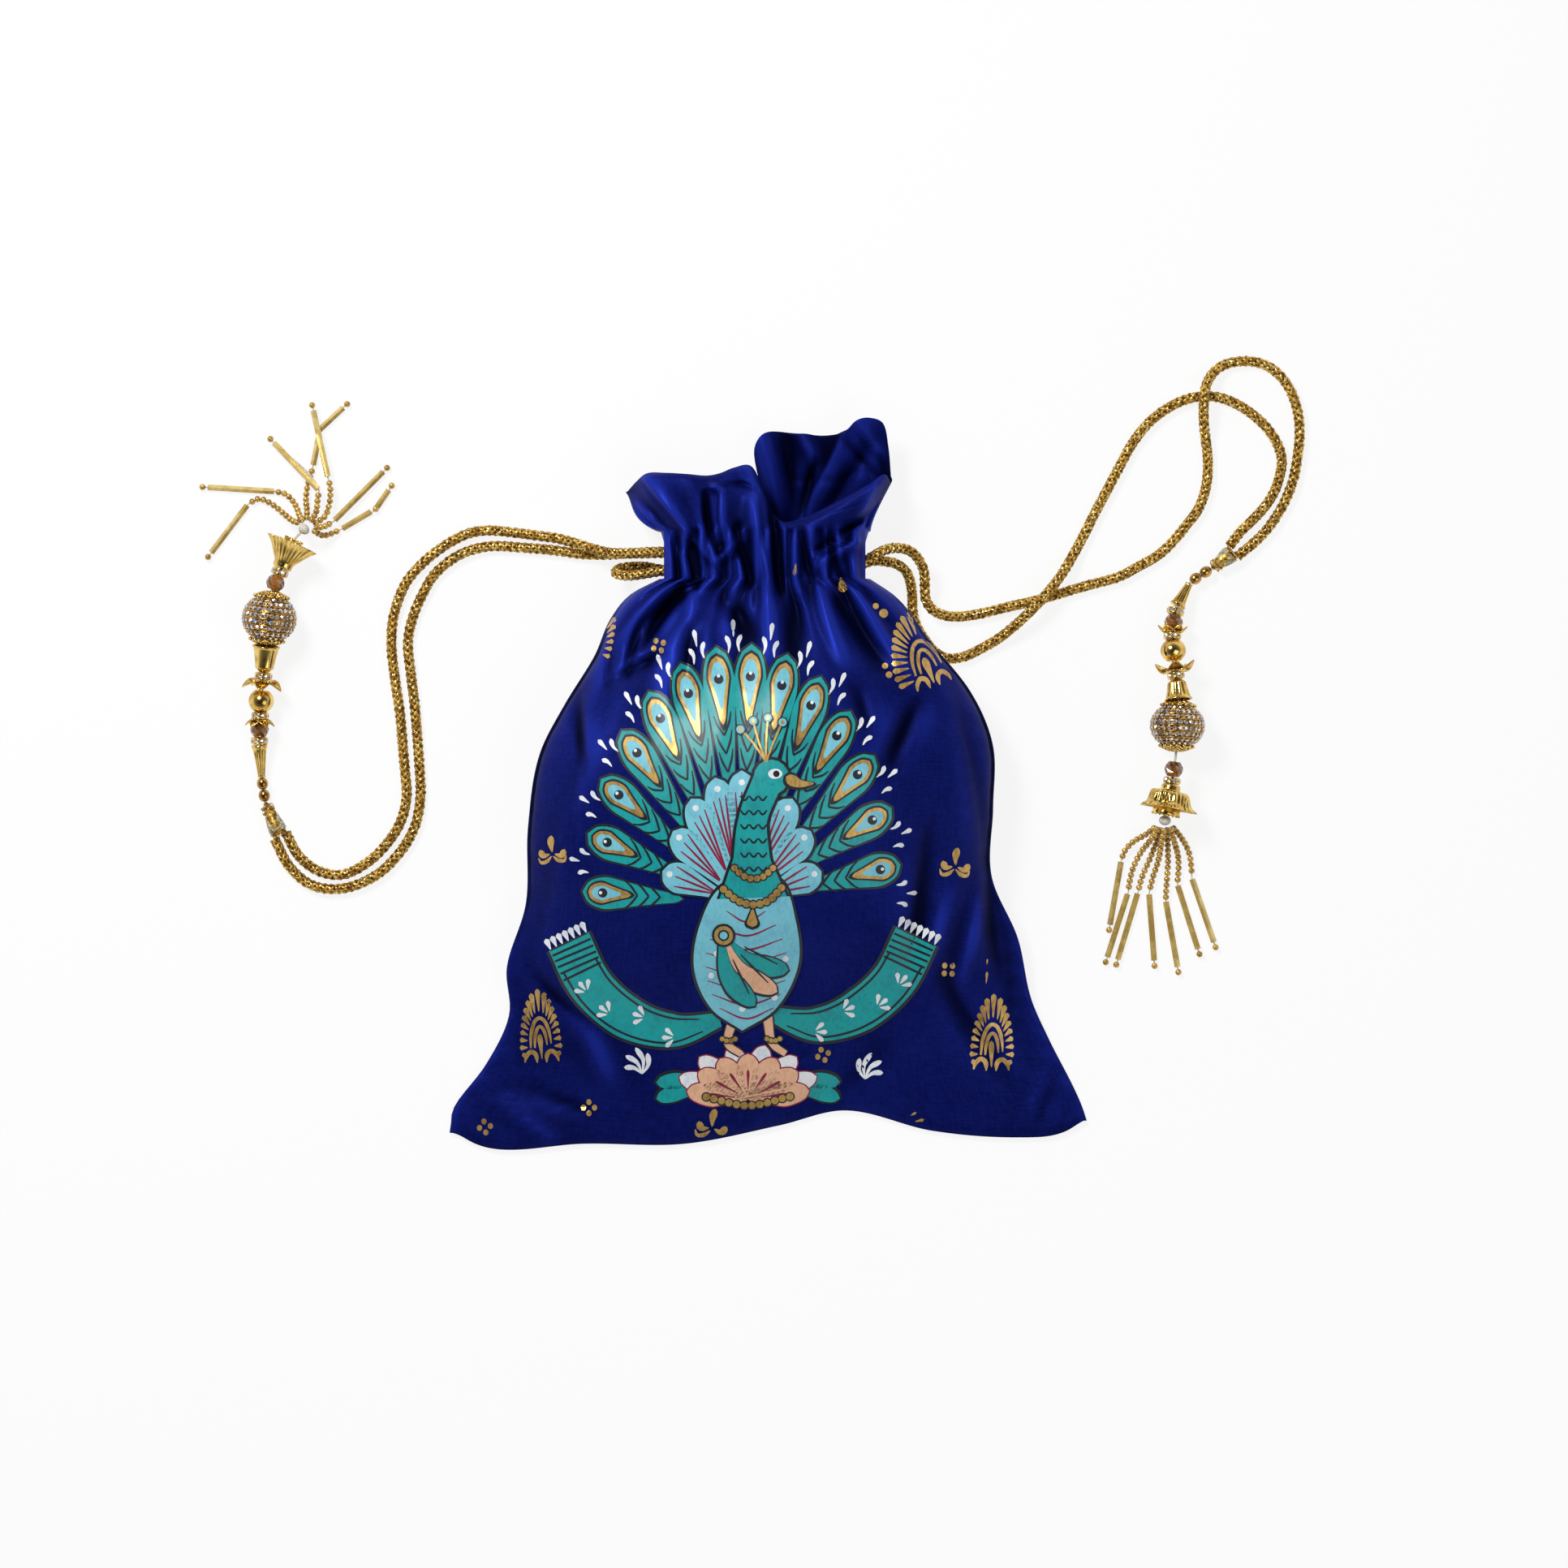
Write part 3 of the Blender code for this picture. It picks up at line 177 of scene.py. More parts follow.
def carried_frames(path):
    """Tangent, side and up at each point; each side is the last one made square to the tangent."""
    tangent = unit(np.gradient(path, axis=0))
    side = np.zeros_like(path)
    last = np.cross([0.0, 0.0, 1.0], tangent[0])
    for index, way in enumerate(tangent):
        last = last - way * (last @ way)
        last /= np.linalg.norm(last)
        side[index] = last
    return tangent, side, np.cross(tangent, side)


def tube_grid(path, radii, sides=8):
    """Rings of the given radii square to a path, closed at both ends by a ring of no radius."""
    path = np.vstack([path[:1], path, path[-1:]])
    radii = np.concatenate([[0], np.broadcast_to(radii, len(path) - 2), [0]])
    _, side, up = carried_frames(path[1:-1])
    side, up = np.vstack([side[:1], side, side[-1:]]), np.vstack([up[:1], up, up[-1:]])
    turn = even_turns(sides)
    ring = side[:, None] * np.cos(turn)[None, :, None] + up[:, None] * np.sin(turn)[None, :, None]
    return path[:, None] + radii[:, None, None] * ring


def even_turns(count):
    """Angles that share a full turn evenly."""
    return np.arange(count) * 2 * np.pi / count


def round_axis(radius, turn, height):
    """Points round the Z axis at (radius cos turn, radius sin turn, height)."""
    spots = np.broadcast_arrays(radius * np.cos(turn), radius * np.sin(turn), height)
    return np.stack(spots, axis=-1)


def turned_grid(profile, sides=24, ripple=None):
    """A profile of radius and height turned round the Z axis; ripple scales each radius by angle."""
    profile = np.asarray(profile, float)
    turn = even_turns(sides)
    radius = profile[:, :1]
    if ripple is not None:
        radius = radius * ripple(np.linspace(0, 1, len(profile))[:, None], turn[None])
    return round_axis(radius, turn, profile[:, 1:])


def ball_grid(radius, rings=8, sides=12, squash=1.0):
    """A ball: rings at even angles from pole to pole, its height squashed."""
    angle = np.linspace(0, np.pi, rings)
    return turned_grid(np.stack([radius * np.sin(angle), radius * squash * np.cos(angle)], axis=1), sides)


def turns_to(axes):
    """Turns that bring Z to each axis, with the second direction as near upright as it can be."""
    axes = unit(np.atleast_2d(axes))
    upright = np.where(np.abs(axes[:, 2:]) > 0.98, [[0.0, 1.0, 0.0]], [[0.0, 0.0, 1.0]])
    side = unit(np.cross(upright, axes))
    return np.stack([side, np.cross(axes, side), axes], axis=-1)


# %% [markdown]
# Shader maths reads best as sums and products. The small class below wraps a node's output, and
# each operator on it adds a Math node. All other nodes come from one method.

# %% Finishes
class Wire:
    """A node's output that makes Math nodes when it is added, multiplied or raised."""

    def __init__(self, finish, output):
        self.finish, self.output = finish, output

    def __add__(self, other):
        return self.finish.sum("ADD", self, other)

    def __sub__(self, other):
        return self.finish.sum("SUBTRACT", self, other)

    def __rsub__(self, other):
        return self.finish.sum("SUBTRACT", other, self)

    def __mul__(self, other):
        return self.finish.sum("MULTIPLY", self, other)

    __radd__ = __add__
    __rmul__ = __mul__

    def above(self, low, high):
        """0 below low, 1 above high and smooth between."""
        values = {"Value": self, "From Min": low, "From Max": high}
        return self.finish.node("MapRange", {"interpolation_type": "SMOOTHSTEP"}, values)


class Nodes:
    """A node tree and the one method that adds nodes to it."""

    def __init__(self, tree):
        self.tree = tree

    def join(self, socket, value):
        """Links a wire to a socket, or sets the socket's own value."""
        if isinstance(value, Wire):
            self.tree.links.new(value.output, socket)
        elif hasattr(value, "__len__") and len(value) == 3 and socket.type == "RGBA":
            socket.default_value = (*value, 1.0)
        else:
            socket.default_value = value

    def node(self, kind, settings, values, out=0):
        """A node of a kind: its settings first, then its sockets' values or wires."""
        made = self.tree.nodes.new("ShaderNode" + kind)
        for name, value in settings.items():
            if name == "stops":
                self.grey_stops(made.color_ramp, value)
            else:
                setattr(made, name, value)
        for name, value in values.items():
            self.join(made.inputs[name], value)
        return Wire(self, made.outputs[out])

    def grey_stops(self, ramp, stops):
        """Places and grey levels on a ramp; the first is at 0 and the last at 1."""
        for place, _ in stops[1:-1]:
            ramp.elements.new(place)
        for stop, (_, level) in zip(ramp.elements, stops):
            stop.color = (level, level, level, 1)

    def sum(self, operation, *terms):
        """A Math node on its terms."""
        return self.node("Math", {"operation": operation}, dict(enumerate(terms)))

    def mix(self, share, first, second):
        """Colour between two, by share."""
        return self.node("Mix", {"data_type": "RGBA"}, {0: share, 6: first, 7: second}, out=2)


class Finish(Nodes):
    """One material: a Principled BSDF and the nodes that feed it."""

    def __init__(self, name, **fixed):
        self.material = bpy.data.materials.new(name)
        self.material.use_nodes = True
        super().__init__(self.material.node_tree)
        self.shader = self.tree.nodes["Principled BSDF"]
        self.feed(fixed)

    def feed(self, values):
        """Sets sockets of the shader by name, with _ for a space."""
        for name, value in values.items():
            self.join(self.shader.inputs[name.replace("_", " ").title().replace("Ior", "IOR")], value)
        return self.material

    def object_place(self, stretch=(1, 1, 1)):
        """Place on the piece in metres, stretched along each axis."""
        place = self.node("TexCoord", {}, {}, out=3)
        return self.node("Mapping", {}, {"Vector": place, "Scale": stretch})

    def cloth_place(self, stretch=(1, 1, 1)):
        """Place on the cloth's own map in metres, stretched along each axis."""
        place = self.node("UVMap", {"uv_map": "cloth"}, {})
        return self.node("Mapping", {}, {"Vector": place, "Scale": stretch})

    def noise(self, place, scale, detail=2.0):
        """Soft patches between 0 and 1, scale of them in a metre."""
        return self.node("TexNoise", {}, {"Vector": place, "Scale": scale, "Detail": detail})

    def bump(self, height, strength, distance):
        """Small relief from a height between 0 and 1, distance deep."""
        return self.node("Bump", {}, {"Height": height, "Strength": strength, "Distance": distance})


# %% [markdown]
# Satin is woven so that long smooth floats of silk lie on top. It shows a soft, coloured sheen
# where a fold turns to the light and goes nearly black where it turns away. Part of the shine is
# therefore given to the metallic value, which tints reflections with the cloth's own blue. The
# weave and the uneven slubs of the yarn follow the cloth's own UV map, whose unit is a metre. An
# attribute of the cloth says how many millimetres each point stands above the cloth round it.
# Where that is below zero, in the hollows that swallow light between two folds, shade is painted
# into the colour as a near-black blue. On the crests a highlight is painted in as a brighter blue.

# %% Satin
THREADS_PER_METRE = 1100.0
SLUBS_PER_METRE = 420.0
CLOUDS_PER_METRE = 22.0
WEAVE_DEPTH = 0.08 * MM
# Painted shade: the near-black blue of the hollows, and the relief in mm over which it fades in; the crests'
# painted highlight fades in over the range after it.
PAINTED_HOLLOW_SHADE = (0.0006, 0.0012, 0.014)
HOLLOW_SHADE_RANGE = (-1.6, 0.7)
CREST_HIGHLIGHT_RANGE = (0.25, 1.6)


def satin(name, deep, lit, crest, roughness):
    """Cloth between a deep and a lit blue by its weave, with painted shade in hollows and a painted highlight
    on crests.
    """
    finish = Finish(name, specular_ior_level=0.08, specular_tint=(0.25, 0.35, 1.0), sheen_weight=0.03,
                    sheen_roughness=0.5, sheen_tint=(0.03, 0.08, 0.8))
    warp = finish.noise(finish.cloth_place((1.0, 0.16, 1.0)), THREADS_PER_METRE, 1.0)
    weft = finish.noise(finish.cloth_place((0.22, 1.0, 1.0)), THREADS_PER_METRE, 1.0)
    cloudy = finish.noise(finish.cloth_place(), CLOUDS_PER_METRE, 3.0)
    slubs = finish.noise(finish.cloth_place((0.08, 1.0, 1.0)), SLUBS_PER_METRE, 2.0)
    weave = warp * 0.5 + weft * 0.5
    weave_tone = (weave * 0.55 + cloudy * 0.45).above(0.3, 0.7)
    rough = roughness + 0.08 * slubs
    height = weave + 0.6 * slubs
    relief = finish.node("Attribute", {"attribute_name": "relief"}, {}, out="Fac")
    # Painted highlight: the crests of folds take the brighter blue given as crest.
    cloth = finish.mix(relief.above(*CREST_HIGHLIGHT_RANGE), finish.mix(weave_tone, deep, lit), crest)
    # Painted shade: the colour turns to the near-black hollow blue where the cloth lies below the cloth round
    # it.
    return finish.feed({
        "base_color": finish.mix(relief.above(*HOLLOW_SHADE_RANGE), PAINTED_HOLLOW_SHADE, cloth), "metallic": 0.3,
        "roughness": rough, "normal": finish.bump(height, 0.35, WEAVE_DEPTH),
    })


# The third blue of each satin is the painted highlight on the crests of folds.
SATIN = satin("blue_satin_face", (0.003, 0.006, 0.09), (0.0075, 0.015, 0.185), (0.012, 0.026, 0.3), 0.42)
SATIN_BACK = satin("blue_satin_reverse", (0.003, 0.006, 0.08), (0.006, 0.012, 0.16),
                   (0.009, 0.018, 0.22), 0.46)

# %% [markdown]
# Zari is yarn wrapped in gilded foil. Seen close, single flecks flash bright yellow beside dark
# brown gaps. Two noises of different size break up the colour into patches of dull gold and brown,
# and glints are painted in as small bright yellow flecks. A low roughness on a metal, lower still
# on the flecks, lets each turn of the yarn catch the lamp. Noises count their patches per metre.

# %% Metals, stones and glass
def zari():
    """Gilded yarn: painted glints as bright yellow flecks, on patches of dull gold and brown."""
    finish = Finish("zari_yarn", metallic=0.85)
    glint_fleck = finish.noise(finish.object_place(), 950.0, 2.0)
    patch = finish.noise(finish.object_place(), 620.0, 2.0)
    dull = finish.mix(patch.above(0.35, 0.65), (0.2, 0.09, 0.01), (0.66, 0.39, 0.07))
    # Painted glints: the flecks take a bright yellow, and they are also smoother and raised a little.
    colour = finish.mix(glint_fleck.above(0.54, 0.62), dull, (1.0, 0.8, 0.3))
    return finish.feed({
        "base_color": colour, "roughness": 0.5 - 0.25 * glint_fleck.above(0.5, 0.65),
        "normal": finish.bump(glint_fleck, 0.6, 0.15 * MM),
    })


def gold(name, colour, dark, roughness):
    """Polished plating, a little darker and rougher in cloudy patches."""
    finish = Finish(name, metallic=1.0)
    cloud = finish.noise(finish.object_place(), 260.0, 3.0)
    grain = finish.noise(finish.object_place(), 1800.0, 2.0)
    return finish.feed({
        "base_color": finish.mix(cloud.above(0.35, 0.7), colour, dark),
        "roughness": roughness + 0.1 * cloud, "normal": finish.bump(grain, 0.12, 0.05 * MM),
    })


def crystal(name, colour, other, through_share, roughness=0.04):
    """Cut glass: clear enough to glow, with cloudy depth."""
    finish = Finish(name, ior=1.6, transmission_weight=through_share, coat_weight=0.6)
    depth = finish.noise(finish.object_place(), 330.0, 2.0)
    return finish.feed({
        "base_color": finish.mix(depth.above(0.35, 0.65), colour, other), "roughness": roughness,
    })


def lined_glass(name, colour, dark, cloudiness):
    """Glass over a gold lining: half metal below a clear coat."""
    finish = Finish(name, metallic=0.45, roughness=0.24, coat_weight=0.8, coat_roughness=0.04)
    cloud = finish.noise(finish.object_place(), cloudiness, 2.0)
    return finish.feed({"base_color": finish.mix(cloud.above(0.35, 0.65), colour, dark)})


def stones():
    """Foiled stones: silvery, with blue and rose flashes painted in from stone to stone."""
    finish = Finish("foiled_stones", metallic=0.75, roughness=0.07, coat_weight=0.8)
    flash = finish.noise(finish.object_place(), 520.0, 0.0)
    # Painted reflections: flashes of blue, and of a warm tone, from stone to stone, standing in for the
    # coloured light of cut stones.
    cool = finish.mix(flash.above(0.6, 0.72), (0.66, 0.64, 0.6), (0.36, 0.5, 0.9))
    warm = finish.noise(finish.object_place((1.0, 1.0, 1.3)), 640.0, 0.0)
    return finish.feed({"base_color": finish.mix(warm.above(0.52, 0.64), cool, (0.5, 0.34, 0.14))})


def fibre(name, colour, dark):
    """Matt thread with a fine fuzz of light and dark."""
    finish = Finish(name, roughness=0.6)
    fuzz = finish.noise(finish.object_place(), 1600.0, 2.0)
    return finish.feed({
        "base_color": finish.mix(fuzz.above(0.35, 0.65), dark, colour),
        "normal": finish.bump(fuzz, 0.5, 0.1 * MM),
    })


ZARI = zari()
GOLD = gold("bright_gold_plate", (0.86, 0.6, 0.18), (0.5, 0.3, 0.06), 0.12)
DEEP_GOLD = gold("deep_gold_plate", (0.62, 0.36, 0.1), (0.3, 0.15, 0.04), 0.16)
AMBER = crystal("amber_cut_glass", (0.45, 0.17, 0.02), (0.16, 0.05, 0.006), 0.35)
STONES = stones()
SEED_GLASS = lined_glass("gold_lined_seed", (0.7, 0.44, 0.075), (0.36, 0.19, 0.025), 520.0)
BUGLE_GLASS = lined_glass("gold_lined_tube", (0.78, 0.58, 0.19), (0.54, 0.38, 0.1), 240.0)
CORD_CORE = fibre("brown_cord_core", (0.11, 0.045, 0.008), (0.035, 0.014, 0.003))
BINDING = fibre("grey_binding_thread", (0.62, 0.62, 0.52), (0.25, 0.25, 0.18))
WHITE_THREAD = fibre("white_beading_thread", (0.75, 0.72, 0.62), (0.5, 0.46, 0.36))
print("finishes:", len(bpy.data.materials))

# %% [markdown]
# The photograph looks straight down on a white table. The camera stands far above the bag with a
# long lens, so heights hardly shift in the picture. The table stays white in the camera's eyes
# but still takes a part of its light from the lamps, and so keeps a soft shadow.

# %% Camera, table and lamps
PICTURE_WIDTH = 562.6 * MM
CAMERA_PLACE = (6.9 * MM, 0.2 * MM, 2.6)
MIDDLE_HEIGHT = 12 * MM
SENSOR = 36.0
FARTHEST_SEEN = 20
TABLE_SIZE = 6.0
TABLE_GLOW = 0.86
TABLE_DROP = 0.05 * MM
ROOM_FILL = (0.29, 0.285, 0.3, 1)
CEILING = ((0.0, 1.0), (0.2, 0.9), (0.55, 0.2), (0.95, 0.02), (1.0, 0.02))


def camera():
    """A long lens far above the table: its focal length gives the picture's width there."""
    lens = bpy.data.cameras.new("camera")
    lens.sensor_width = SENSOR
    lens.lens = SENSOR * (CAMERA_PLACE[2] - MIDDLE_HEIGHT) / PICTURE_WIDTH
    lens.clip_end = FARTHEST_SEEN
    made = in_scene("camera", lens)
    made.location = CAMERA_PLACE
    bpy.context.scene.camera = made


def seen_or_mirrored(finish):
    """1 for rays from the camera, a mirror or glass, 0 for the light that fills the scene."""
    seen = finish.node("LightPath", {}, {}, out="Is Camera Ray")
    mirrored = finish.node("LightPath", {}, {}, out="Is Glossy Ray")
    passed = finish.node("LightPath", {}, {}, out="Is Transmission Ray")
    return (seen + mirrored + passed).above(0.0, 1.0)


def table():
    """A wide white plane just under the bag; the camera sees most of it as plain white."""
    finish = Finish("white_table", base_color=(0.92, 0.92, 0.92), roughness=0.9)
    glow = finish.node("Emission", {}, {"Color": (1, 1, 1), "Strength": 1.0})
    share = TABLE_GLOW * seen_or_mirrored(finish)
    surface = finish.node("MixShader", {}, {0: share, 1: Wire(finish, finish.shader.outputs[0]), 2: glow})
    finish.join(finish.tree.nodes["Material Output"].inputs["Surface"], surface)
    half = TABLE_SIZE / 2
    mesh = bpy.data.meshes.new("table")
    corners = [(-half, -half, 0), (half, -half, 0), (half, half, 0), (-half, half, 0)]
    mesh.from_pydata(corners, [], [(0, 1, 2, 3)])
    mesh.materials.append(finish.material)
    made = in_scene("table", mesh)
    made.location = (0, 0, -TABLE_DROP)


def lamp(name, place, size, power):
    """A square lamp that points at the middle of the table."""
    light = bpy.data.lights.new(name, "AREA")
    light.size = size
    light.energy = power
    made = in_scene(name, light)
    made.location = place
    direction = -np.array(place)
    made.rotation_euler = (
        math.atan2(math.hypot(direction[0], direction[1]), -direction[2]), 0,
        math.atan2(direction[1], direction[0]) - math.pi / 2,
    )


def sky():
    """A white room for the camera; a darker ceiling for mirrors, and a plain fill for the rest."""
    world = bpy.data.worlds.new("room")
    bpy.context.scene.world = world
    world.use_nodes = True
    room = Nodes(world.node_tree)
    upwards = room.node("SeparateXYZ", {}, {0: room.node("TexCoord", {}, {}, out="Generated")}, out="Z")
    ceiling = room.node("ValToRGB", {"stops": CEILING}, {0: upwards})
    mirrored = room.node("LightPath", {}, {}, out="Is Glossy Ray")
    seen = room.node("LightPath", {}, {}, out="Is Camera Ray")
    colour = room.mix(seen, room.mix(mirrored, ROOM_FILL, ceiling), (1, 1, 1))
    room.join(room.tree.nodes["Background"].inputs["Color"], colour)


camera()
table()
lamp("key", place=(-0.5, 0.66, 1.0), size=0.35, power=12)
lamp("fill", place=(0.7, -0.4, 1.2), size=0.9, power=4)
sky()
bpy.context.scene.view_settings.view_transform = "Standard"
print("camera looks down from", CAMERA_PLACE[2], "m")

# %% [markdown]
# Each drawcord is one loop of braid: both ends are bound in its tassel, and it runs through the
# channel round the neck. The route repeats the frame's own points. A braid is two sets of yarns
# that wind round the cord in opposite directions. Where two meet, one swings out and the other
# in, so each yarn's distance from the middle is a cosine that swings once for each crossing.

# %% Routes of the cords
CORD_DIAMETER = 4.0 * MM
CLOTH = 0.8 * MM
CORD_EASE = 0.5 * MM
NECK_WIDTH = 75 * MM
NECK_BACK = 1.2 * MM
NECK_FRONT = 25.5 * MM
CORD_FRONT = NECK_FRONT - CLOTH - CORD_EASE - CORD_DIAMETER / 2
CORD_BACK = NECK_BACK + CLOTH + CORD_EASE + CORD_DIAMETER / 2
TURN_CENTRE = NECK_WIDTH / 2 - CORD_DIAMETER - CORD_EASE - (CORD_FRONT - CORD_BACK) / 2
LEFT_CORD_ROW = 83.3
RIGHT_CORD_ROW = 76.7
RUN_END = -27.0
RUN_POINTS = 6

LEFT_UPPER_STRAND = [
    (-172.3, -17.6, 3), (-168, -25.5, 2.3), (-161, -31, 2.1), (-152.5, -32.5, 2.1),
    (-143, -28, 2.1), (-135.5, -20.5, 2.1), (-131, -13, 2.1), (-129, -4, 2.1),
    (-129.5, 3.5, 2.1), (-130.5, 15, 2.1), (-131.5, 26.5, 2.1), (-133, 36.5, 2.1),
    (-134.5, 51.5, 2.1), (-133.5, 61.5, 2.1), (-129, 73, 2.1), (-123.5, 79.5, 2.1),
    (-117.5, 84.5, 2.1), (-112, 88, 2.1), (-106.5, 90.5, 2.1), (-100.5, 91.5, 2.1),
    (-88.5, 90.5, 2.1), (-81, 89.5, 2.1), (-75.5, 88.8, 2.2), (-69.5, 87.3, 3.6),
    (-64, 85.5, 5.8), (-57, 83.5, 8.2), (-51, 83, 11.5), (-44.5, 83.1, 16),
    (-38, 83.3, 19.6),
]
LEFT_LOWER_STRAND = [
    (-38, 83.3, 6.2), (-44.5, 83.2, 4.2), (-51, 83.1, 2.7), (-56.5, 82.8, 2.1),
    (-62, 82.8, 2.1), (-67.5, 83.2, 2.1), (-73, 84, 2.1), (-79.5, 84.7, 2.1),
    (-87, 85.3, 2.1), (-99, 85.8, 2.1), (-104.5, 84.8, 2.1), (-110, 82.7, 2.1),
    (-115.5, 79, 2.1), (-119.5, 75, 2.1), (-122.5, 70, 2.1), (-126.5, 61, 2.1),
    (-128.5, 51.5, 2.1), (-127.5, 40, 2.1), (-126, 27.5, 2.1), (-125, 15, 2.1),
    (-124.3, 5, 2.1), (-124, -4, 2.1), (-126, -15, 2.1), (-131.5, -24.5, 2.1),
    (-140.5, -33, 2.1), (-152.5, -37.5, 2.1), (-163, -36.3, 2.1), (-171, -29.8, 2.3),
    (-176.4, -19.8, 3),
]
RIGHT_UPPER_STRAND = [
    (38, 81.2, 20), (43, 84, 18), (47.5, 84.8, 15.5), (52, 83.8, 13),
    (55.5, 80.5, 10.5), (57.3, 76, 8.2), (57.6, 70.5, 6.4), (58, 66.3, 5.6),
    (60.5, 62.8, 4.8), (65, 60.8, 3.3), (70.5, 60.5, 2.2), (77.5, 61.5, 2.1),
    (83, 62.8, 2.1), (89, 64.3, 2.1), (95, 65.6, 2.1), (100, 66.9, 2.1),
    (105.5, 68.5, 2.1), (111, 70.2, 2.1), (117, 71.9, 2.1), (128, 75, 2.1),
    (134.5, 78.5, 2.1), (141.5, 82.5, 2.1), (147, 87.5, 2.1), (151.5, 93, 2.1),
    (156, 99, 2.1), (158.5, 105.5, 2.1), (159.5, 112, 2.1), (159.5, 118, 2.1),
    (158.7, 124.5, 2.8), (158, 130, 4.8), (157.8, 136, 6.6), (158.3, 142, 6.4),
    (160.5, 147, 3.9), (164.5, 150.7, 2.3), (169.5, 152.2, 2.1), (175, 152.4, 2.1),
    (180.5, 151, 2.1), (185, 147.8, 2.1), (189, 142.5, 2.1), (191.5, 136, 2.1),
    (192.5, 130, 2.1), (192.5, 123.5, 2.1), (191.7, 117, 2.1), (190.5, 110.5, 2.1),
    (188, 103.5, 2.1), (184.5, 97, 2.1), (180.3, 91.2, 2.1), (175.5, 86.5, 2.3),
    (170.3, 82.3, 3),
]
RIGHT_LOWER_STRAND = [
    (38, 80.3, 6.2), (43, 80.3, 5), (47.5, 79.3, 3.8), (51, 76.5, 2.7),
    (52.6, 72, 2.2), (53.1, 67.5, 2.1), (53.2, 63, 2.1), (54.3, 58, 2.1),
    (57.2, 52.8, 2.1), (61, 48, 2.1), (65.5, 45.5, 2.1), (71.5, 46, 2.1),
    (78, 49, 2.1), (84.5, 52.8, 3), (90, 57.2, 4.9), (95, 61.8, 6.5),
    (99.5, 66.5, 6.9), (104, 71.8, 6.3), (108, 77.5, 4.4), (111.5, 83.5, 2.7),
    (115, 90, 2.1), (119, 98, 2.1), (123, 105.5, 2.1), (127.5, 114, 2.1),
    (132.5, 123, 2.1), (138, 130, 2.1), (145, 135.5, 2.1), (151.5, 138.6, 2.1),
    (157, 139.8, 2.1), (163, 139.5, 2.1), (169, 137.5, 2.1), (175, 133.8, 2.1),
    (180.5, 128.8, 2.1), (184.5, 122.8, 2.1), (186.2, 117, 2.1), (185.5, 111.5, 2.1),
    (183.5, 105.5, 2.1), (180, 100, 2.1), (175.8, 95.4, 2.1), (171.3, 91, 2.3),
    (167.4, 86, 3),
]
LEFT_SLOT_LOOP = [
    (-33, 76.7, 21.6), (-38.5, 76.2, 20.2), (-44.5, 75.2, 18.6), (-50, 74.9, 15.8),
    (-53.3, 75.8, 11.6), (-52.6, 77.4, 8.2), (-48, 78.3, 6.3), (-43, 78.3, 6),
    (-38, 77.4, 6.2), (-33, 76.9, 5.2),
]


def channel_run(start_x, end_x, row, height):
    """Straight run of a cord in the channel."""
    along = np.linspace(start_x, end_x, RUN_POINTS)
    return np.column_stack([along, np.full(RUN_POINTS, row), np.full(RUN_POINTS, height)])


def left_route():
    """In at the left slot, round the whole neck and out again."""
    front, back, centre = CORD_FRONT / MM, CORD_BACK / MM, TURN_CENTRE / MM
    radius, middle = (front - back) / 2, (front + back) / 2
    angle = np.linspace(np.pi / 2, -np.pi / 2, 7)[1:-1]
    across, up = centre + radius * np.cos(angle), middle + radius * np.sin(angle)
    turn = np.column_stack([across, np.full(len(angle), LEFT_CORD_ROW), up])
    return np.vstack([
        LEFT_UPPER_STRAND, (-33.0, LEFT_CORD_ROW, front - 0.6),
        channel_run(RUN_END, centre, LEFT_CORD_ROW, front), turn,
        channel_run(centre, RUN_END, LEFT_CORD_ROW, back), (-33.0, LEFT_CORD_ROW, back + 0.5),
        LEFT_LOWER_STRAND,
    ]) * MM


def right_route():
    """In at the right slot, with a short loop out of the left one."""
    front, back, centre = CORD_FRONT / MM, CORD_BACK / MM, TURN_CENTRE / MM
    return np.vstack([
        RIGHT_UPPER_STRAND[::-1], (33.5, 78.6, front - 0.7),
        channel_run(centre, RUN_END, RIGHT_CORD_ROW, front), LEFT_SLOT_LOOP,
        channel_run(RUN_END, centre, RIGHT_CORD_ROW, back), (33.5, 78.4, back + 1.2),
        RIGHT_LOWER_STRAND,
    ]) * MM


# %% Braided cords
BRAID_PITCH = 9.5 * MM
BRAID_YARNS = 4
YARN_MIDDLE = 1.42 * MM
YARN_SWING = 0.22 * MM
YARN_WIDE = 0.6 * MM
YARN_THICK = 0.42 * MM
YARN_SIDES = 6
YARN_WANDER = ((0.12, 6.1 * MM), (0.1, 3.7 * MM))
CORE_RADIUS = 1.2 * MM
SAMPLES_PER_PITCH = 13
ROUTE_SAMPLES = 900


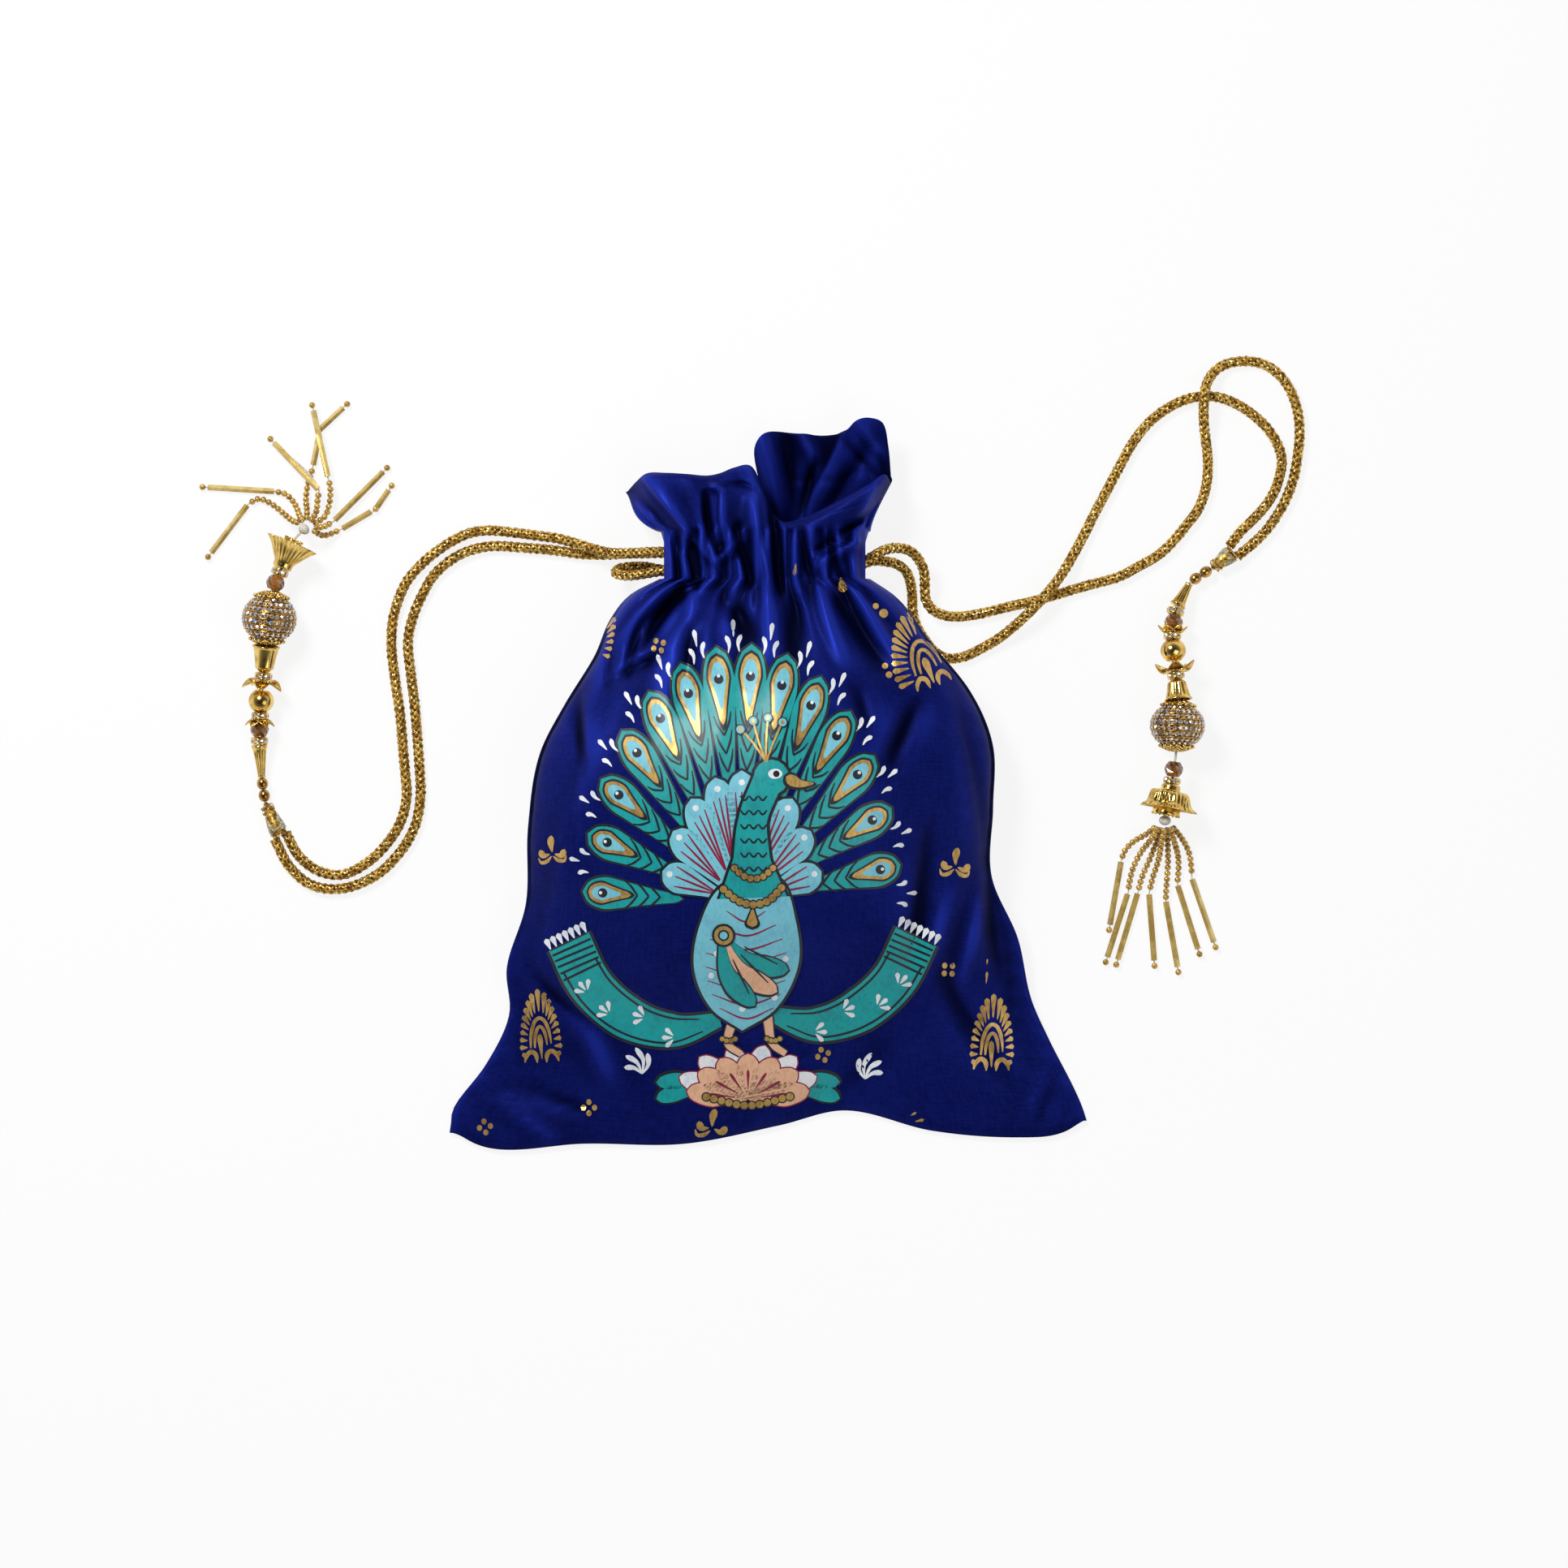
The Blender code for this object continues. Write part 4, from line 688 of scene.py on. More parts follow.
def braided_cord(name, points, node):
    """Yarns at angle 2 pi s / pitch, one set each way round; radius swings as cos(4 * angle)."""
    length = run_of(route(points, ROUTE_SAMPLES))[-1]
    path = route(points, int(length / BRAID_PITCH * SAMPLES_PER_PITCH))
    walked = run_of(path)
    _, side, up = carried_frames(path)
    phase = 2 * np.pi * walked / BRAID_PITCH
    wander = sum(size * np.sin(walked / period) for size, period in YARN_WANDER)
    heap = Heap()
    heap.add(tube_grid(path, CORE_RADIUS), 1)
    turn = even_turns(YARN_SIDES)
    for way in (1, -1):
        for yarn in range(BRAID_YARNS):
            angle = way * phase + 2 * np.pi * yarn / BRAID_YARNS + wander
            radius = YARN_MIDDLE + way * YARN_SWING * np.cos(BRAID_YARNS * phase)
            outward = side * np.cos(angle)[:, None] + up * np.sin(angle)[:, None]
            middle = path + outward * radius[:, None]
            along = unit(np.gradient(middle, axis=0))
            across = np.cross(along, outward)
            ring = across[:, None] * (YARN_WIDE * np.cos(turn))[None, :, None]
            ring = ring + outward[:, None] * (YARN_THICK * np.sin(turn))[None, :, None]
            first, last = (np.tile(spot, (1, YARN_SIDES, 1)) for spot in (middle[0], middle[-1]))
            heap.add(np.concatenate([first, middle[:, None] + ring, last]))
    made = make(name, heap, [ZARI, CORD_CORE], [node])
    print(name, "is", round(length, 3), "m long, faces", len(made.data.polygons))
    return made, path, length


left_cord, left_path, left_length = braided_cord("fine_left_drawcord", left_route(), "left_drawcord")
right_cord, right_path, right_length = braided_cord("fine_right_drawcord", right_route(), "right_drawcord")

# %% [markdown]
# The tassels are strung on thin thread. Each piece sits between two distances along its thread,
# a small gap after the piece before it, so a list of lengths places the whole tassel. The sizes
# repeat the frame's, which keeps every dressed piece on its solid.

# %% Threads and places of the pieces
GAP = 0.3 * MM
SHEET_METAL = 0.5 * MM
THREAD_PULLED = 0.45 * MM
KNOT_RADIUS, KNOT_BEHIND, KNOT_LEAD = 2.2 * MM, 2.4 * MM, 2 * MM
LEFT_THREAD = [
    (-179.8, -6.6, 3.2), (-181, 1.5, 3.7), (-181.8, 12, 4.8), (-181.6, 22, 6.1),
    (-180.9, 32, 7.3), (-179.9, 41, 8.5), (-178.9, 51, 9.8), (-177.9, 61, 10.9),
    (-176.9, 69, 10.8), (-174.8, 74.6, 10.3), (-172.2, 80.8, 9.9), (-169.2, 87.6, 9.7),
    (-166.8, 93, 9.5),
]
RIGHT_THREAD = [
    (161, 77.9, 3.2), (158, 76.1, 3.4), (154.6, 74, 3.6), (152.4, 71.8, 3.9),
    (150.3, 67.9, 4.5), (148.2, 63.8, 5.2), (146.9, 58.5, 6.1), (146.5, 52, 7.1),
    (147, 45, 8), (148, 36.5, 9.2), (148.7, 28, 10.4), (148.6, 19.5, 10.9),
    (147.3, 9, 10.8), (146.3, 2, 10.9), (145, -5, 11.2), (143.6, -12.5, 10.8),
]
WHIPPING_START = {"left": (-174.6, -17.9, 3.7), "right": (168.3, 83.5, 3.7)}
BEND_GAP = {"left": 0.0, "right": 0.7 * MM}
FREE_THREAD = {"left": 0.3 * MM, "right": 3.6 * MM}
FIRST_GAP = 0.6 * MM
BEAD_RADIUS = 2.05 * MM
RONDELLE_LENGTH = 2.3 * MM
AMBER_LENGTH, AMBER_RADIUS = 5.4 * MM, 3.4 * MM
GOLD_BALL_LENGTH, GOLD_BALL_RADIUS = 7.6 * MM, 4.6 * MM
FLOWER_CAP_LENGTH = 3.6 * MM
CONE_LENGTH = {"left": 11.8 * MM, "right": 9.2 * MM}
CUP_LENGTH = {"left": 9.4 * MM, "right": 7.4 * MM}
BALL_RADIUS = 10.4 * MM
BALL_LENGTH = {"left": 17.8 * MM, "right": 16.6 * MM}
BELL_LENGTH = {"left": 9.6 * MM, "right": 8.4 * MM}
BELL_MOUTH = {"left": 9.5 * MM, "right": 11.0 * MM}
BELL_SHOULDER = {"left": 0.45, "right": 0.3}
BELL_LOBES = {"left": (12, 0.1), "right": (5, 0.3)}
CUP_FLUTES = {"left": 0.0, "right": 0.07}
TUBE_RADIUS = {"left": 3.5 * MM, "right": 5.1 * MM}
TUBE_SHOWS = {"left": 1.4 * MM, "right": 2.3 * MM}


def strung_pieces(side):
    """Name, gap before and length of each piece in order along the thread."""
    shoulder = BELL_LENGTH[side] * BELL_SHOULDER[side] + 2 * SHEET_METAL
    bend = BEND_GAP[side]
    return [
        ("bead_1", FIRST_GAP, 2 * BEAD_RADIUS), ("bead_2", GAP, 2 * BEAD_RADIUS),
        ("long_cone", GAP + bend, CONE_LENGTH[side]), ("rondelle_1", GAP + bend, RONDELLE_LENGTH),
        ("amber_bead_1", GAP, AMBER_LENGTH), ("petal_cap", GAP, SHEET_METAL),
        ("rondelle_2", GAP, RONDELLE_LENGTH), ("gold_ball", GAP, GOLD_BALL_LENGTH),
        ("flower_cap", GAP, FLOWER_CAP_LENGTH), ("rondelle_3", GAP, RONDELLE_LENGTH),
        ("bell_cup", GAP, CUP_LENGTH[side]),
        ("stone_ball", GAP, BALL_LENGTH[side] + 2 * (SHEET_METAL + GAP)),
        ("amber_bead_2", GAP + FREE_THREAD[side], AMBER_LENGTH), ("rondelle_4", GAP, RONDELLE_LENGTH),
        ("flower_bell", 2 * GAP, shoulder),
        ("mouth_tube", 0.0, BELL_LENGTH[side] - shoulder + TUBE_SHOWS[side]),
    ]


def places_along(side, points):
    """Middle and direction of each piece: the chord of its stretch of the thread."""
    path = route(np.array(points) * MM, 200)
    walked = run_of(path)

    def at(distance):
        return np.array([np.interp(distance, walked, path[:, axis]) for axis in range(3)])

    found, stations, distance = {}, [at(0)], 0.0
    for name, gap, length in strung_pieces(side):
        start, end = at(distance + gap), at(distance + gap + length)
        found[name] = ((start + end) / 2, unit(end - start), start)
        if name != "flower_bell":
            stations += [start, end]
        distance += gap + length
    return found, np.array(stations)


# %% [markdown]
# Small pieces first: round beads, the long fluted cone, the rondelles with stones set round their
# rims, and the cut amber beads. Each is a profile turned round the thread. A cut bead shifts
# every second ring by half a step, which makes its facets lozenges, and it is shaded flat.

# %% Beads, cones and rondelles
BORE = 0.9 * MM
CONE_FLUTES, CONE_FLUTE_DEPTH = 11, 0.1
RONDELLE_RING, RONDELLE_HALF, RONDELLE_WIRE = 2.75 * MM, 0.72 * MM, 0.42 * MM
RONDELLE_STONES = 12
BEAD_CORNERS = 10
BEAD_HOLE = 0.5


def fit(heap, grid, place, axis, finish=0, soft=True):
    """Adds a grid made round Z at a place, its Z along the axis."""
    heap.scatter(grid, np.atleast_2d(place), turns_to(axis), finish, soft)


def carried(points, place, axis):
    """Points made round Z, brought to a place with Z along the axis."""
    return points @ turns_to(axis)[0].T + place


def small_balls(heap, radius, spots, rings=5, sides=6):
    """A small ball at each spot."""
    unturned = np.repeat(np.eye(3)[None], len(spots), axis=0)
    heap.scatter(ball_grid(radius, rings, sides), spots, unturned)


def bored(profile, bore=BORE):
    """A profile closed through the bore, first point repeated last."""
    profile = np.asarray(profile, float)
    return np.vstack([[bore, profile[0, 1]], profile, [bore, profile[-1, 1]], [bore, profile[0, 1]]])


def arc(radius, half, start, end, count):
    """Points of an oval arc between two angles from the axis."""
    angle = np.linspace(start, end, count)
    return np.stack([radius * np.sin(angle), half * np.cos(angle)], axis=1)


def round_bead(place, axis, radius, half):
    """An oval arc from the edge of the hole to the other, turned round the thread."""
    heap = Heap()
    rim = math.asin(BEAD_HOLE)
    profile = arc(radius, half / math.cos(rim), rim, math.pi - rim, 15)
    fit(heap, turned_grid(bored(profile), 28), place, axis)
    return heap


def long_cone(place, axis, length):
    """Radius grows as share^1.15 to a rolled rim; flutes cut in by (0.5 - 0.5 cos(11 turn))^2."""
    heap = Heap()
    share = np.linspace(0, 1, 22)
    radius = (1.3 + 1.4 * share**1.15) * MM
    radius = np.where(share > 0.9, (2.72 + 0.32 * np.sin((share - 0.9) * 10 * np.pi)) * MM, radius)
    radius[0] = 1.5 * MM
    profile = np.stack([radius, (share - 0.5) * length], axis=1)[::-1]

    def flutes(along, turn):
        band = np.clip((along - 0.14) * 12, 0, 1) * np.clip((0.97 - along) * 12, 0, 1)
        return 1 - CONE_FLUTE_DEPTH * band * (0.5 - 0.5 * np.cos(CONE_FLUTES * turn)) ** 2

    fit(heap, turned_grid(bored(profile), 8 * CONE_FLUTES, flutes), place, axis)
    return heap


BRILLIANT = turned_grid([(0, 0.42), (0.52, 0.42), (1.0, 0.0), (0.75, -0.35), (0, -0.35)], 8)


def rondelle(place, axis):
    """Two gold rims with twelve stones between them."""
    heap = Heap()
    rim = arc(RONDELLE_WIRE, RONDELLE_WIRE, 0, 2 * math.pi, 9)
    for way in (-1, 1):
        ring = rim + np.array([RONDELLE_RING, way * RONDELLE_HALF])
        fit(heap, turned_grid(ring, 40), place, axis)
    core = bored([(2.5 * MM, 0.9 * MM), (2.5 * MM, -0.9 * MM)])
    fit(heap, turned_grid(core, 24), place, axis)
    outward = carried(round_axis(1.0, even_turns(RONDELLE_STONES), 0.0), 0.0, axis)
    heap.scatter(BRILLIANT * 0.8 * MM, place + outward * 2.85 * MM, turns_to(outward), 1, False)
    return heap


def cut_bead(place, axis, radius, half):
    """Five rings of ten corners, each turned by half a step against the last."""
    heap = Heap()
    rings = np.array([
        (BORE, half), (0.62 * radius, half), (0.94 * radius, 0.45 * half), (radius, 0),
        (0.94 * radius, -0.45 * half), (0.62 * radius, -half), (BORE, -half), (BORE, half),
    ])
    steps = np.array([0, 0, 1, 2, 3, 4, 4, 4])
    angle = even_turns(BEAD_CORNERS)[None] + steps[:, None] * np.pi / BEAD_CORNERS
    angle[-1] = angle[0]
    fit(heap, round_axis(rings[:, :1], angle, rings[:, 1:]), place, axis, 0, False)
    return heap


# %% [markdown]
# The caps and bells are thin pressed metal. A petal is a strip that runs outward from the thread:
# its width follows a sine, its edges curl, and the row of petals is that strip turned round the
# axis. Solidify gives the sheet its thickness afterwards.

# %% Petals, cups and bells
CAP_WALL, BELL_WALL = 0.35 * MM, 0.4 * MM
CUP_FLUTE_COUNT = 14
LIP_BALLS = 18
SCALLOPS = 8
LACE_ROWS = ((2.4, 0.35, 0.42), (4.0, 0.7, 0.32), (5.6, 0.8, 0.34))
LACE_BEADS = ((6.1, 0.62, 16, 0.0), (3.2, 0.5, 8, 0.2), (4.9, 0.45, 16, 0.1))
STONE_STEP = 2.05 * MM
FIRST_ROW, STONE_ROWS = 0.62, 8


def petal_grid(inner, outer, width, rise, curl, rows=14, columns=9):
    """Outward share t and sideways share v; height is rise t^1.6 + curl v^2 sin(0.9 pi t)."""
    out = np.linspace(0, 1, rows)[:, None]
    over = np.linspace(-1, 1, columns)[None, :]
    half = width * np.sin(np.pi * (0.18 + 0.8 * out) ** 0.85) ** 0.7
    x = inner + (outer - inner) * out + 0 * over
    y = half * over
    z = rise * out**1.6 + curl * over**2 * np.sin(np.pi * out * 0.9)
    return np.stack([x, y, z], axis=-1)


def around(count, tilt=0.0):
    """Turns about Z that repeat a shape count times."""
    turn = even_turns(count) + tilt
    turns = np.zeros((count, 3, 3))
    turns[:, 0, 0], turns[:, 0, 1] = np.cos(turn), -np.sin(turn)
    turns[:, 1, 0], turns[:, 1, 1] = np.sin(turn), np.cos(turn)
    turns[:, 2, 2] = 1
    return turns


def petals(heap, place, axis, count, grid, tilt=0.0):
    """A petal's grid repeated round the axis."""
    turns = turns_to(axis)[0] @ around(count, tilt)
    heap.scatter(grid, np.repeat(np.atleast_2d(place), count, axis=0), turns, wrap_columns=False)


def thick(made, amount=CAP_WALL):
    """Gives a pressed sheet its wall."""
    wall = made.modifiers.new("sheet metal", "SOLIDIFY")
    wall.thickness = amount
    wall.offset = 0
    return made


def bell_cup(side, place, axis, length):
    """Rounded at the neck and widening to the mouth; the right one is fluted, both have a rim."""
    heap = Heap()
    share = np.linspace(0, 1, 24)
    radius = (3.3 * np.minimum(1, (share * 5 + 0.25)) ** 0.5 + 1.5 * share**1.6) * MM
    radius = np.where(share > 0.93, 5.05 * MM, radius)
    outer = np.stack([radius, (share - 0.5) * length], axis=1)
    inner = np.stack([radius - SHEET_METAL, (share - 0.5) * length], axis=1)[::-1]
    inner[-1] = (BORE, -0.46 * length)
    profile = np.vstack([outer, inner, [BORE, -0.5 * length], outer[:1]])

    def flutes(along, turn):
        band = np.clip(along * 14, 0, 1) * np.clip((0.44 - along) * 16, 0, 1)
        return 1 - CUP_FLUTES[side] * band * (0.5 - 0.5 * np.cos(CUP_FLUTE_COUNT * turn))

    fit(heap, turned_grid(profile, 6 * CUP_FLUTE_COUNT, flutes), place, axis)
    return heap


def lace_cap(place, axis, way, reach):
    """Wires that wave round the ball's end: eight scallops in three rows, with a bead on each."""
    heap = Heap()
    axis = axis * way
    turn = np.linspace(0, 2 * np.pi, 121)
    for radius, wave, thickness in LACE_ROWS:
        ring = (radius + wave * np.cos(SCALLOPS * turn)) * MM
        heap_tube(heap, ball_shell(ring, turn, reach, 0.5 * MM), thickness * MM, place, axis)
    for radius, size, count, tilt in LACE_BEADS:
        spots = ball_shell(np.full(count, radius * MM), even_turns(count) + tilt, reach, 0.45 * MM)
        small_balls(heap, size * MM, carried(spots, place, axis), 6, 8)
    out = np.linspace(1.0, 6.2, 9) * MM
    for angle in even_turns(SCALLOPS):
        heap_tube(heap, ball_shell(out, np.full(9, angle), reach, 0.4 * MM), 0.26 * MM, place, axis)
    return heap


def ball_shell(radius, turn, reach, lift):
    """Points on the ball's surface at a distance from the axis, raised by lift."""
    height = (reach + GAP) * np.sqrt(np.clip(1 - (radius / BALL_RADIUS) ** 2, 0.05, 1)) + lift
    return round_axis(radius, turn, height)


def heap_tube(heap, path, radius, place, axis, finish=0):
    """A wire along a path made round Z, brought to its place."""
    heap.add(tube_grid(carried(path, place, axis), radius, 6), finish)


def stone_ball(place, axis, length):
    """Rows of round stones in gold beading: each row is a parallel of the flattened ball."""
    heap = Heap()
    half = length / 2
    core = arc(BALL_RADIUS - 0.9 * MM, half - 0.3 * MM, 0.12, math.pi - 0.12, 30)
    fit(heap, turned_grid(bored(core), 60), place, axis)
    for angle in np.linspace(FIRST_ROW, np.pi - FIRST_ROW, STONE_ROWS):
        ring, height = (BALL_RADIUS - 0.75 * MM) * np.sin(angle), (half - 0.1 * MM) * np.cos(angle)
        count = int(round(2 * np.pi * ring / STONE_STEP))
        turn = even_turns(count)
        outward = carried(round_axis(np.sin(angle), turn, np.cos(angle)), 0.0, axis)
        spots = carried(round_axis(ring, turn, height), place, axis)
        heap.scatter(BRILLIANT * 0.92 * MM, spots, turns_to(outward), 1, False)
        between = round_axis(ring, turn + np.pi / count, height) * 1.015
        small_balls(heap, 0.3 * MM, carried(between, place, axis))
    for angle in np.linspace(FIRST_ROW, np.pi - FIRST_ROW, 2 * STONE_ROWS - 1)[1::2]:
        ring, height = (BALL_RADIUS - 0.6 * MM) * np.sin(angle), (half - 0.05 * MM) * np.cos(angle)
        wire = arc(0.26 * MM, 0.26 * MM, 0, 2 * math.pi, 7) + np.array([ring, height])
        fit(heap, turned_grid(wire, 60), place, axis)
    return heap


def flower_bell(side, start, axis):
    """A pressed trumpet: fluted with pointed lobes on the left, five open petals on the right."""
    heap = Heap()
    length, mouth = BELL_LENGTH[side], BELL_MOUTH[side]
    throat = TUBE_RADIUS[side] + GAP + 2 * SHEET_METAL
    knots = np.array([
        (1.0 * MM, 0), (3.1 * MM, 0), (3.5 * MM, 0.22 * length),
        (throat, length * BELL_SHOULDER[side]), (mouth * 0.74, 0.8 * length),
        (mouth - SHEET_METAL, length),
    ])
    profile = route(np.column_stack([knots, np.zeros(len(knots))]), 40)[:, :2]
    count, dip = BELL_LOBES[side]

    def lobes(along, turn):
        opening = np.clip((along - 0.4) / 0.6, 0, 1) ** 1.5
        crease = 0.1 * np.cos(24 * turn) * np.clip((along - 0.25) / 0.5, 0, 1)
        return 1 - dip * opening * (0.5 - 0.5 * np.cos(count * turn)) + crease * 0.5

    fit(heap, turned_grid(profile, 120, lobes), start, axis)
    return heap


def mouth_tube(place, axis, radius, length):
    """A tube with a rolled lip and a ring of small balls on it."""
    heap = Heap()
    inside, top = radius - SHEET_METAL, length / 2
    profile = [
        (inside, top), (radius - 0.1 * MM, top), (radius, length * 0.38),
        (radius - 0.2 * MM, length * 0.3), (radius - 0.2 * MM, -top), (inside, -top), (inside, top),
    ]
    fit(heap, turned_grid(profile, 48), place, axis)
    rim = round_axis(radius - 0.25 * MM, even_turns(LIP_BALLS), top)
    small_balls(heap, 0.42 * MM, carried(rim, place, axis))
    return heap


# %% [markdown]
# The cord's two ends are bound together with grey thread, and a little of the gilded yarn frays
# out on each side of the binding. The binding is a helix of thread laid turn beside turn.

# %% Binding of the cord ends
BINDING_TURNS, STEPS_PER_TURN = 11, 18
BINDING_THREAD, FRAYED_YARN = 0.3 * MM, 0.2 * MM
BINDING_OVAL = np.array([1.0, 0.86, 1.0])
FRAYED_OVAL = np.array([1.0, 0.9, 1.0])
FRAYED_PLACES = ((0.74, 2.3, 26), (0.02, 2.9, 22))


def whipping(start, end):
    """A helix of thread on a tapered core, with short frayed yarns at both ends."""
    heap = Heap()
    axis = unit(end - start)
    length = np.linalg.norm(end - start)
    turn = np.linspace(0, 2 * np.pi * BINDING_TURNS, BINDING_TURNS * STEPS_PER_TURN)
    share = turn / turn[-1]
    helix = round_axis((3.0 - share**2) * MM, turn, (0.12 + 0.5 * share) * length) * BINDING_OVAL
    heap_tube(heap, helix, BINDING_THREAD, start, axis, 1)
    core = [(0.2 * MM, 0.0), (2.7 * MM, 0.0), (2.9 * MM, 0.3 * length), (2.3 * MM, 0.62 * length),
            (1.6 * MM, 0.85 * length), (0.7 * MM, length), (0.2 * MM, length)]
    fit(heap, turned_grid(core, 20), start, axis)
    rng = np.random.default_rng(7)
    for share, spread, count in FRAYED_PLACES:
        for _ in range(count):
            angle, tilt = rng.uniform(0, 2 * np.pi), rng.uniform(-0.5, 0.5)
            around_axis = np.linspace(angle, angle + rng.uniform(0.8, 1.9), 7)
            radius = spread * (1 + 0.12 * np.sin(np.linspace(0, np.pi, 7))) * rng.uniform(0.85, 1.06) * MM
            drift = (share + rng.uniform(-0.1, 0.16)) * length + tilt * np.linspace(0, 1.6, 7) * MM
            loop = carried(round_axis(radius, around_axis, drift) * FRAYED_OVAL, start, axis)
            heap.add(tube_grid(loop, FRAYED_YARN, 5))
    return heap


# %% [markdown]
# Each fringe strand starts at the knot behind the bell's mouth: a chain of round seed beads, then
# one or two square-cut glass tubes and an end bead. The beads are copies of one small ball placed
# at even steps along the strand.

# %% Fringe
LEFT_FRINGE = [
    ([(-167.3, 93.9, 9.2), (-170.2, 95.1, 6), (-174, 98.2, 3), (-178.2, 101.4, 1.6),
      (-182.4, 102.9, 1.4), (-186.2, 101, 1.4)], [(-200.6, 82, 1.4)]),
    ([(-166, 94.4, 10.6), (-167.4, 97, 6.4), (-169.4, 101.3, 3.2), (-172.6, 104.6, 1.8),
      (-176.3, 105.6, 1.4)], [(-202.6, 107.2, 1.4)]),
    ([(-164.6, 95, 9), (-164.6, 98.2, 6.2), (-165.2, 102.4, 3), (-164.9, 107, 1.4),
      (-163.6, 111.5, 1.4), (-162.8, 114.6, 1.4)], [(-160.2, 128, 1.4), (-150.5, 137.1, 1.4)]),
    ([(-163.2, 94.2, 10.8), (-161.2, 98, 7.6), (-160.9, 102.2, 5.4), (-160.4, 105.8, 4.8)],
     [(-178, 124.4, 3.2)]),
    ([(-162.2, 93.4, 9), (-158, 96.8, 5.8), (-156.6, 101.6, 4.2), (-156.4, 107, 4.2),
      (-157.2, 110.4, 4.2)], [(-162.9, 136.5, 4.2)]),
    ([(-161.8, 92.2, 10.4), (-158.4, 92.8, 6.6), (-155.2, 94.8, 3.2)], [(-136.1, 114.1, 1.4)]),
    ([(-162.4, 91.5, 9.4), (-158.9, 89.6, 4.6), (-156, 90.4, 2.4), (-152.6, 92, 1.4)],
     [(-140.2, 99.3, 1.4), (-134.4, 107.7, 1.4)]),
]
RIGHT_FRINGE = [
    ([(140.6, -15, 9.6), (137.2, -17.8, 6.8), (132.4, -20.8, 3), (129.6, -24, 1.6),
      (128.4, -27.4, 1.4)], [(124, -52.4, 1.4)]),
    ([(141.4, -15.2, 11.6), (138.9, -19.6, 8), (135, -25, 3.4), (132.2, -31.5, 1.6),
      (130.8, -39, 1.4)], [(122.8, -64, 1.4)]),
    ([(142.4, -15.4, 8.8), (140.9, -20.6, 5.2), (138.6, -27, 2), (136, -33, 1.4),
      (134.4, -38.8, 1.4)], [(126.6, -64.9, 1.4)]),
    ([(143.4, -15.6, 12), (142.6, -20.4, 8.4), (141.6, -27.6, 3.4), (139.8, -33.4, 1.6),
      (138.4, -39.1, 1.4)], [(140.4, -65.3, 1.4)]),
    ([(144.3, -15.4, 8.8), (144.9, -20.6, 5.2), (145.2, -28.6, 1.8), (144.8, -35, 1.4),
      (144.4, -41.7, 1.4)], [(149, -67.6, 1.4)]),
    ([(145.3, -15.2, 11.6), (147, -20, 8), (148.8, -26, 3.2), (149, -31, 1.5),
      (148.6, -35.9, 1.4)], [(156.6, -61.1, 1.4)]),
    ([(146.2, -15, 9.4), (149.6, -18.8, 5.6), (152.6, -24, 2), (153.6, -29, 1.4),
      (153.8, -33.6, 1.4)], [(162.4, -58.6, 1.4)]),
]
SEED_STEP = 2.15 * MM
SEED_RADIUS = 1.2 * MM
SEED_BORE = 0.4 * MM
BUGLE_RADIUS, BUGLE_BORE = 1.05 * MM, 0.5 * MM
STRAND_THREAD = 0.3 * MM


def fringe_strand(chain, bugles):
    """Seeds at even steps along the chain, then each bugle as a square-cut tube with four sides."""
    heap = Heap()
    chain = np.array(chain) * MM
    ends = np.vstack([chain[-1], np.array(bugles) * MM])
    path = route(chain, 60)
    walked = run_of(path)
    steps = np.arange(SEED_STEP * 0.6, walked[-1] - SEED_RADIUS * 0.6, SEED_STEP)
    seeds = np.stack([np.interp(steps, walked, path[:, axis]) for axis in range(3)], axis=1)
    ways = unit(np.stack([np.interp(steps, walked, way) for way in np.gradient(path, axis=0).T], axis=1))
    seed = turned_grid(bored(arc(SEED_RADIUS, SEED_RADIUS * 0.95, 0.55, np.pi - 0.55, 7), SEED_BORE), 12)
    heap.scatter(seed, seeds, turns_to(ways), 0)
    whole = np.vstack([path[:-1], ends])
    heap.add(tube_grid(route(whole, 80), STRAND_THREAD, 5), 2)
    for start, end in zip(ends[:-1], ends[1:]):
        way, length = unit(end - start), np.linalg.norm(end - start)
        reach = length - 2 * SEED_RADIUS
        tube = bored([(BUGLE_RADIUS, 0), (BUGLE_RADIUS, reach)], BUGLE_BORE)
        fit(heap, turned_grid(tube, 4), start + way * SEED_RADIUS * 0.4, way, 1, False)
        fit(heap, ball_grid(SEED_RADIUS * 0.98, 9, 12), end, way, 0)
    return heap


